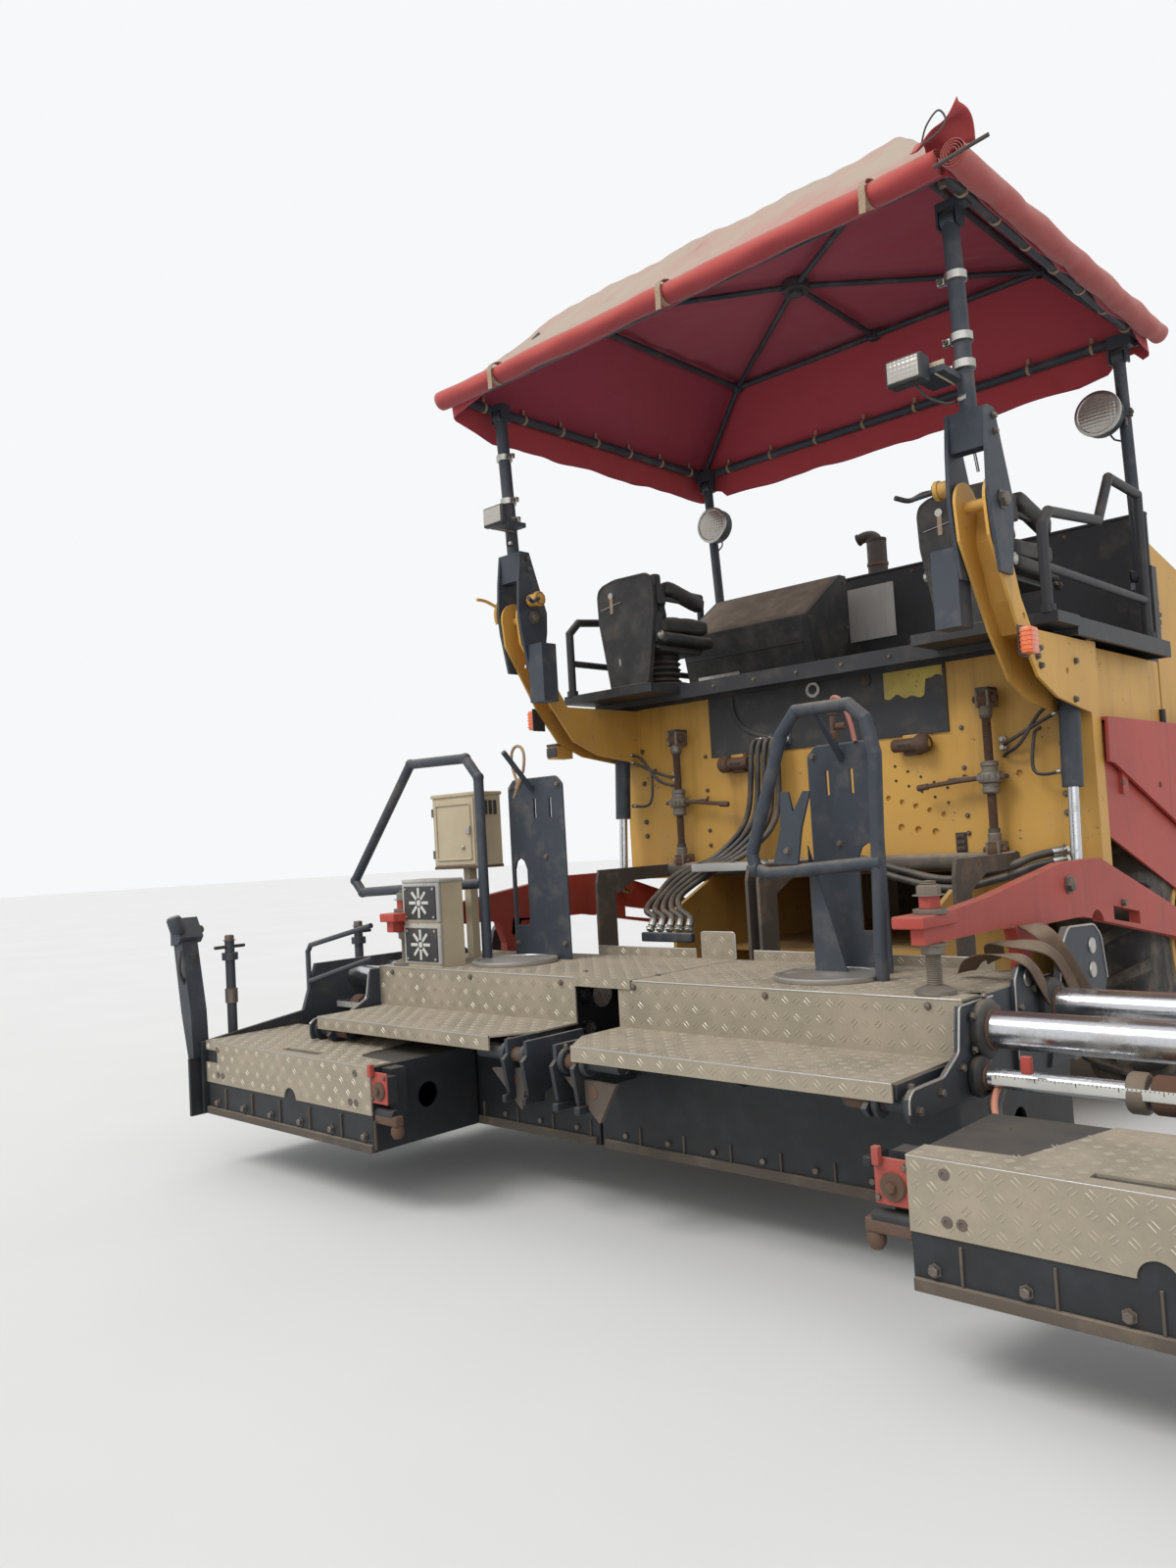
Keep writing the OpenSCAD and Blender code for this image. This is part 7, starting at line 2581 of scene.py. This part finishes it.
@dataclass
class DeckAndHood(Assembly):
    """Front wall's bare plate, rail clamps, exhaust cap, louvres, latches and seams."""

    frame_x: float = 1091.0
    louvres: tuple[int, int] = (9, 7)

    def build(self) -> None:
        """One piece on the tractor and one on the lid."""
        bag = Bag("Deck_details")
        black, steel = self.palette[Slot.BLACK], self.palette[Small.BOLT]
        bag.block((-393, 2453, 2191), (-130, 2460, 2470), self.palette[Small.WHITE], 2)
        for x in (-382, -141):
            for z in (2202, 2459):
                bag.lathe([(0, 0), (5, 0), (4, 2.5), (0, 3)], (x, 2453, z), BACK,
                          self.palette[Small.SILVER], 12)
        bag.block((-1092, 2452, 2522), (1092, 2486, 2536), black, 5)
        for x in (-1070, -700, -20, 380, 740, 1070):
            for z in (2500, 1990):
                bag.bolt((x, 2460, z), BACK, 17, steel)
        for x in np.linspace(-1100, 1100, 11):
            bag.bolt((x, 1300, 1902), BACK, 15, steel)
        for s in (-1, 1):
            # painted shade: black plates stand for the dark inside the louvre slits
            for k, j in np.ndindex(self.louvres):
                y0, z0 = 2952 + 90 * k, 1766 + 42 * j
                bag.plate([(y0, z0), (y0 + 31, z0), (y0 + 31, z0 + 5), (y0, z0 + 5)], s * 1074,
                          s * 1089, 0, black)
            for y in (2530, 2895, 3300, 3700):
                bag.block((s * 1088, y - 26, 2076), (s * 1098, y + 26, 2096), black, 4)
                bag.lathe([(0, 0), (12, 0), (10, 7), (0, 9)], (s * 1092, y, 2052), (s, 0, 0), steel,
                          16)
            edge = ((2915, 1700), (2915, 2104), (3790, 2050), (3790, 1700), (2915, 1700))
            bag.tube([(s * self.frame_x, y, z) for y, z in edge], 8, self.palette[Slot.YELLOW],
                     bend=20, sides=8)
            bag.tube([(s * 1100, 2440, 1560), (s * 1100, 2440, 1660)], 26, black, sides=14)
            for y in (1115, 2170):
                bag.lathe([(20, -14), (27, -14), (27, 14), (20, 14)], (s * 1150, y, 1945), UP,
                          black, 20)
        bag.lathe([(52, 2700), (60, 2700), (60, 2716), (52, 2716)], (-500, 3000, 0), UP,
                  self.palette[Small.RUST], 32)
        bag.lathe([(50, 2836), (57, 2838), (57, 2852), (50, 2854)], (-500, 3000, 0), UP,
                  self.palette[Small.SOOT], 32)
        bag.tube([(-498, 3000, 2826), (-500, 3000, 2854), (-522, 2996, 2874), (-560, 2990, 2878),
                  (-600, 2984, 2868)], 62, self.palette[Small.SOOT], count=18, sides=20)
        bag.lathe([(31, 0), (35, 3), (35, 14), (31, 16), (27, 10), (0, 8)], (-594, 2985, 2870),
                  (-1, -0.15, -0.3), self.palette[Small.SOOT], 24)
        bag.build("tractor")
        lid = Bag("Hood_lid_details")
        for x in (-180, 760):
            lid.block((x - 60, 3700, 2180), (x + 60, 3712, 2206), black, 4)
            lid.tube([(x - 44, 3500, 2250), (x - 44, 3500, 2290), (x + 44, 3500, 2290),
                      (x + 44, 3500, 2250)], 16, black, bend=18, sides=10)
        lid.build("hood_lid_body")


# -------------------------------------------------------- tow arms and running gear


@dataclass
class TowAndFront(Assembly):
    """Depth spindles, tow points, red cowls' edges, hopper, conveyor and push rollers."""

    arm_x: float = 1170.0
    arm_face: float = 1191.0
    spindle_y: float = 60.0

    def build(self) -> None:
        """One piece each for the screed's arms, the tractor, the beam and the rollers."""
        arms, body = Bag("Tow_arm_details"), Bag("Running_gear_details")
        for s in (-1, 1):
            self.arm(arms, s)
            self.cowl(body, s)
        self.conveyor(body)
        arms.build("screed")
        body.build("tractor")
        self.rollers()

    def arm(self, arms: Bag, s: int) -> None:
        """A tow arm's depth spindle with its collars, red caps, tow point and bolts.

        Args:
            arms: where the shapes go.
            s: -1 on the left, 1 on the right.
        """
        grey, rust = self.palette[Small.CAST], self.palette[Small.RUST]
        steel = self.palette[Small.BOLT]
        x, y = s * self.arm_x, self.spindle_y
        arms.lathe(thread(768, 904, 19.2, 22.2, (767, 904)), (x, y, 0), UP, grey, 24)
        arms.lathe(thread(1034, 1074, 19.2, 22.2, (1030, 1076)), (x, y, 0), UP, grey, 24)
        arms.lathe([(0, 984), (44, 984), (46, 988), (46, 998), (0, 1000)], (x, y, 0), UP, grey, 32)
        arms.bolt((x, y, 1034), UP, 66, grey, 30)
        arms.bolt((x, y, 904), DOWN, 66, grey, 32)
        arms.lathe([(0, 762), (52, 764), (56, 768), (56, 778), (30, 790), (0, 790)], (x, y, 0), UP,
                   grey, 32)
        low, high = sorted((s * 1108, s * 1204))
        arms.block((low, -46, 950), (high, 150, 984), self.palette[Slot.RED], 5)
        arms.bolt((s * self.arm_face, 3480, 470), (s, 0, 0), 70, steel, 26)
        arms.lathe([(0, 0), (62, 0), (64, 4), (60, 10), (0, 10)], (s * 1190, 3480, 470), (s, 0, 0),
                   rust, 36)
        arms.bolt((s * self.arm_face, 1000, 1000), (s, 0, 0), 50, steel, 20)
        low, high = sorted((s * 1150, s * 1186))
        arms.plate([(646, 907), (826, 890), (749, 814), (633, 836)], low, high, 0,
                   self.palette[Slot.RED])
        for y in (1500, 2600):
            arms.bolt((s * self.arm_face, y, 900 - (y - 1500) * 0.2), (s, 0, 0), 24, steel)

    def cowl(self, body: Bag, s: int) -> None:
        """The red cowl's lower edge, its rivets, and the nuts above the bogies.

        Args:
            body: where the shapes go.
            s: -1 on the left, 1 on the right.
        """
        body.tube([(s * 1166, 2300, 1178), (s * 1166, 2890, 972), (s * 1166, 3930, 966)], 14,
                  self.palette[Slot.RED], bend=30, sides=8)
        for y, z in ((1660, 1340), (2100, 1330), (2800, 1150), (3300, 1100), (3850, 1100),
                     (3850, 1450)):
            body.lathe([(0, 0), (13, 0), (12, 5), (0, 7)], (s * 1168, y, z), (s, 0, 0),
                       self.palette[Small.RUST], 18)
        for y in (4570, 5230):
            body.bolt((s * 640, y, 640), UP, 40, self.palette[Small.BOLT])

    def conveyor(self, body: Bag) -> None:
        """The conveyor's slats with their chains, and the bolts of the hopper's back wall.

        Args:
            body: where the shapes go.
        """
        rust = self.palette[Small.RUST]
        for k in range(10):
            y = 4060 + 150 * k
            for e in (-1, 1):
                body.block((e * 330 - 14, y - 24, 478), (e * 330 + 14, y + 70, 496), rust, 5)
                body.bolt((e * 200, y + 10, 480), UP, 22, rust)
        for e in (-1, 1):
            body.tube([(e * 330, 4030, 484), (e * 330, 5490, 484)], 16, rust, sides=10)
        for x in np.linspace(-900, 900, 9):
            body.bolt((x, 3985, 1440), AHEAD, 22, self.palette[Small.BOLT])

    def rollers(self) -> None:
        """Worn bands on the push rollers and bolts along the push beam."""
        for side, _ in SIDES:
            low, high = self.box(f"push_roller_{side}")
            _, y, z = (low + high) / 2
            r = (high[2] - low[2]) / 2
            bag = Bag(f"Push_roller_details_{side}")
            for share in (0.12, 0.5, 0.88):
                x = low[0] + (high[0] - low[0]) * share
                bag.lathe([(r - 2, -9), (r + 0.8, -7), (r + 0.8, 7), (r - 2, 9)], (x, y, z), RIGHT,
                          self.palette[Small.WORN_EDGE], 48)
            bag.build(f"roller_{side}")
        low, high = self.box("push_beam")
        bag = Bag("Push_beam_details")
        for x in np.linspace(low[0] + 60, high[0] - 60, 8):
            bag.bolt((x, high[1] - 60, high[2]), UP, 24, self.palette[Small.BOLT])
        bag.build("push_beam_body")

    def box(self, node: str) -> np.ndarray:
        """A node's lowest and highest corner in drawing millimetres."""
        return np.array(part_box(node), float) * 1000 + [X_MID, Y_MID, 0.0]


def main() -> None:
    """Loads the frame, dresses it and closes the scene."""
    logging.basicConfig(level=logging.INFO, format="%(name)s %(message)s")
    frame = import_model()
    Stage().build()
    palette = Palette()
    palette.dress(frame)
    for part in (Canopy, Posts, Arms, Seat, Console, Walkways, ScreedFittings, Racks, LashingStraps,
                 RearTyre, FrontWheels, Hoses, RearWall, DeckAndHood, TowAndFront):
        LOG.info("building %s", part.__name__)
        part(palette).build()


if __name__ == "__main__":
    main()
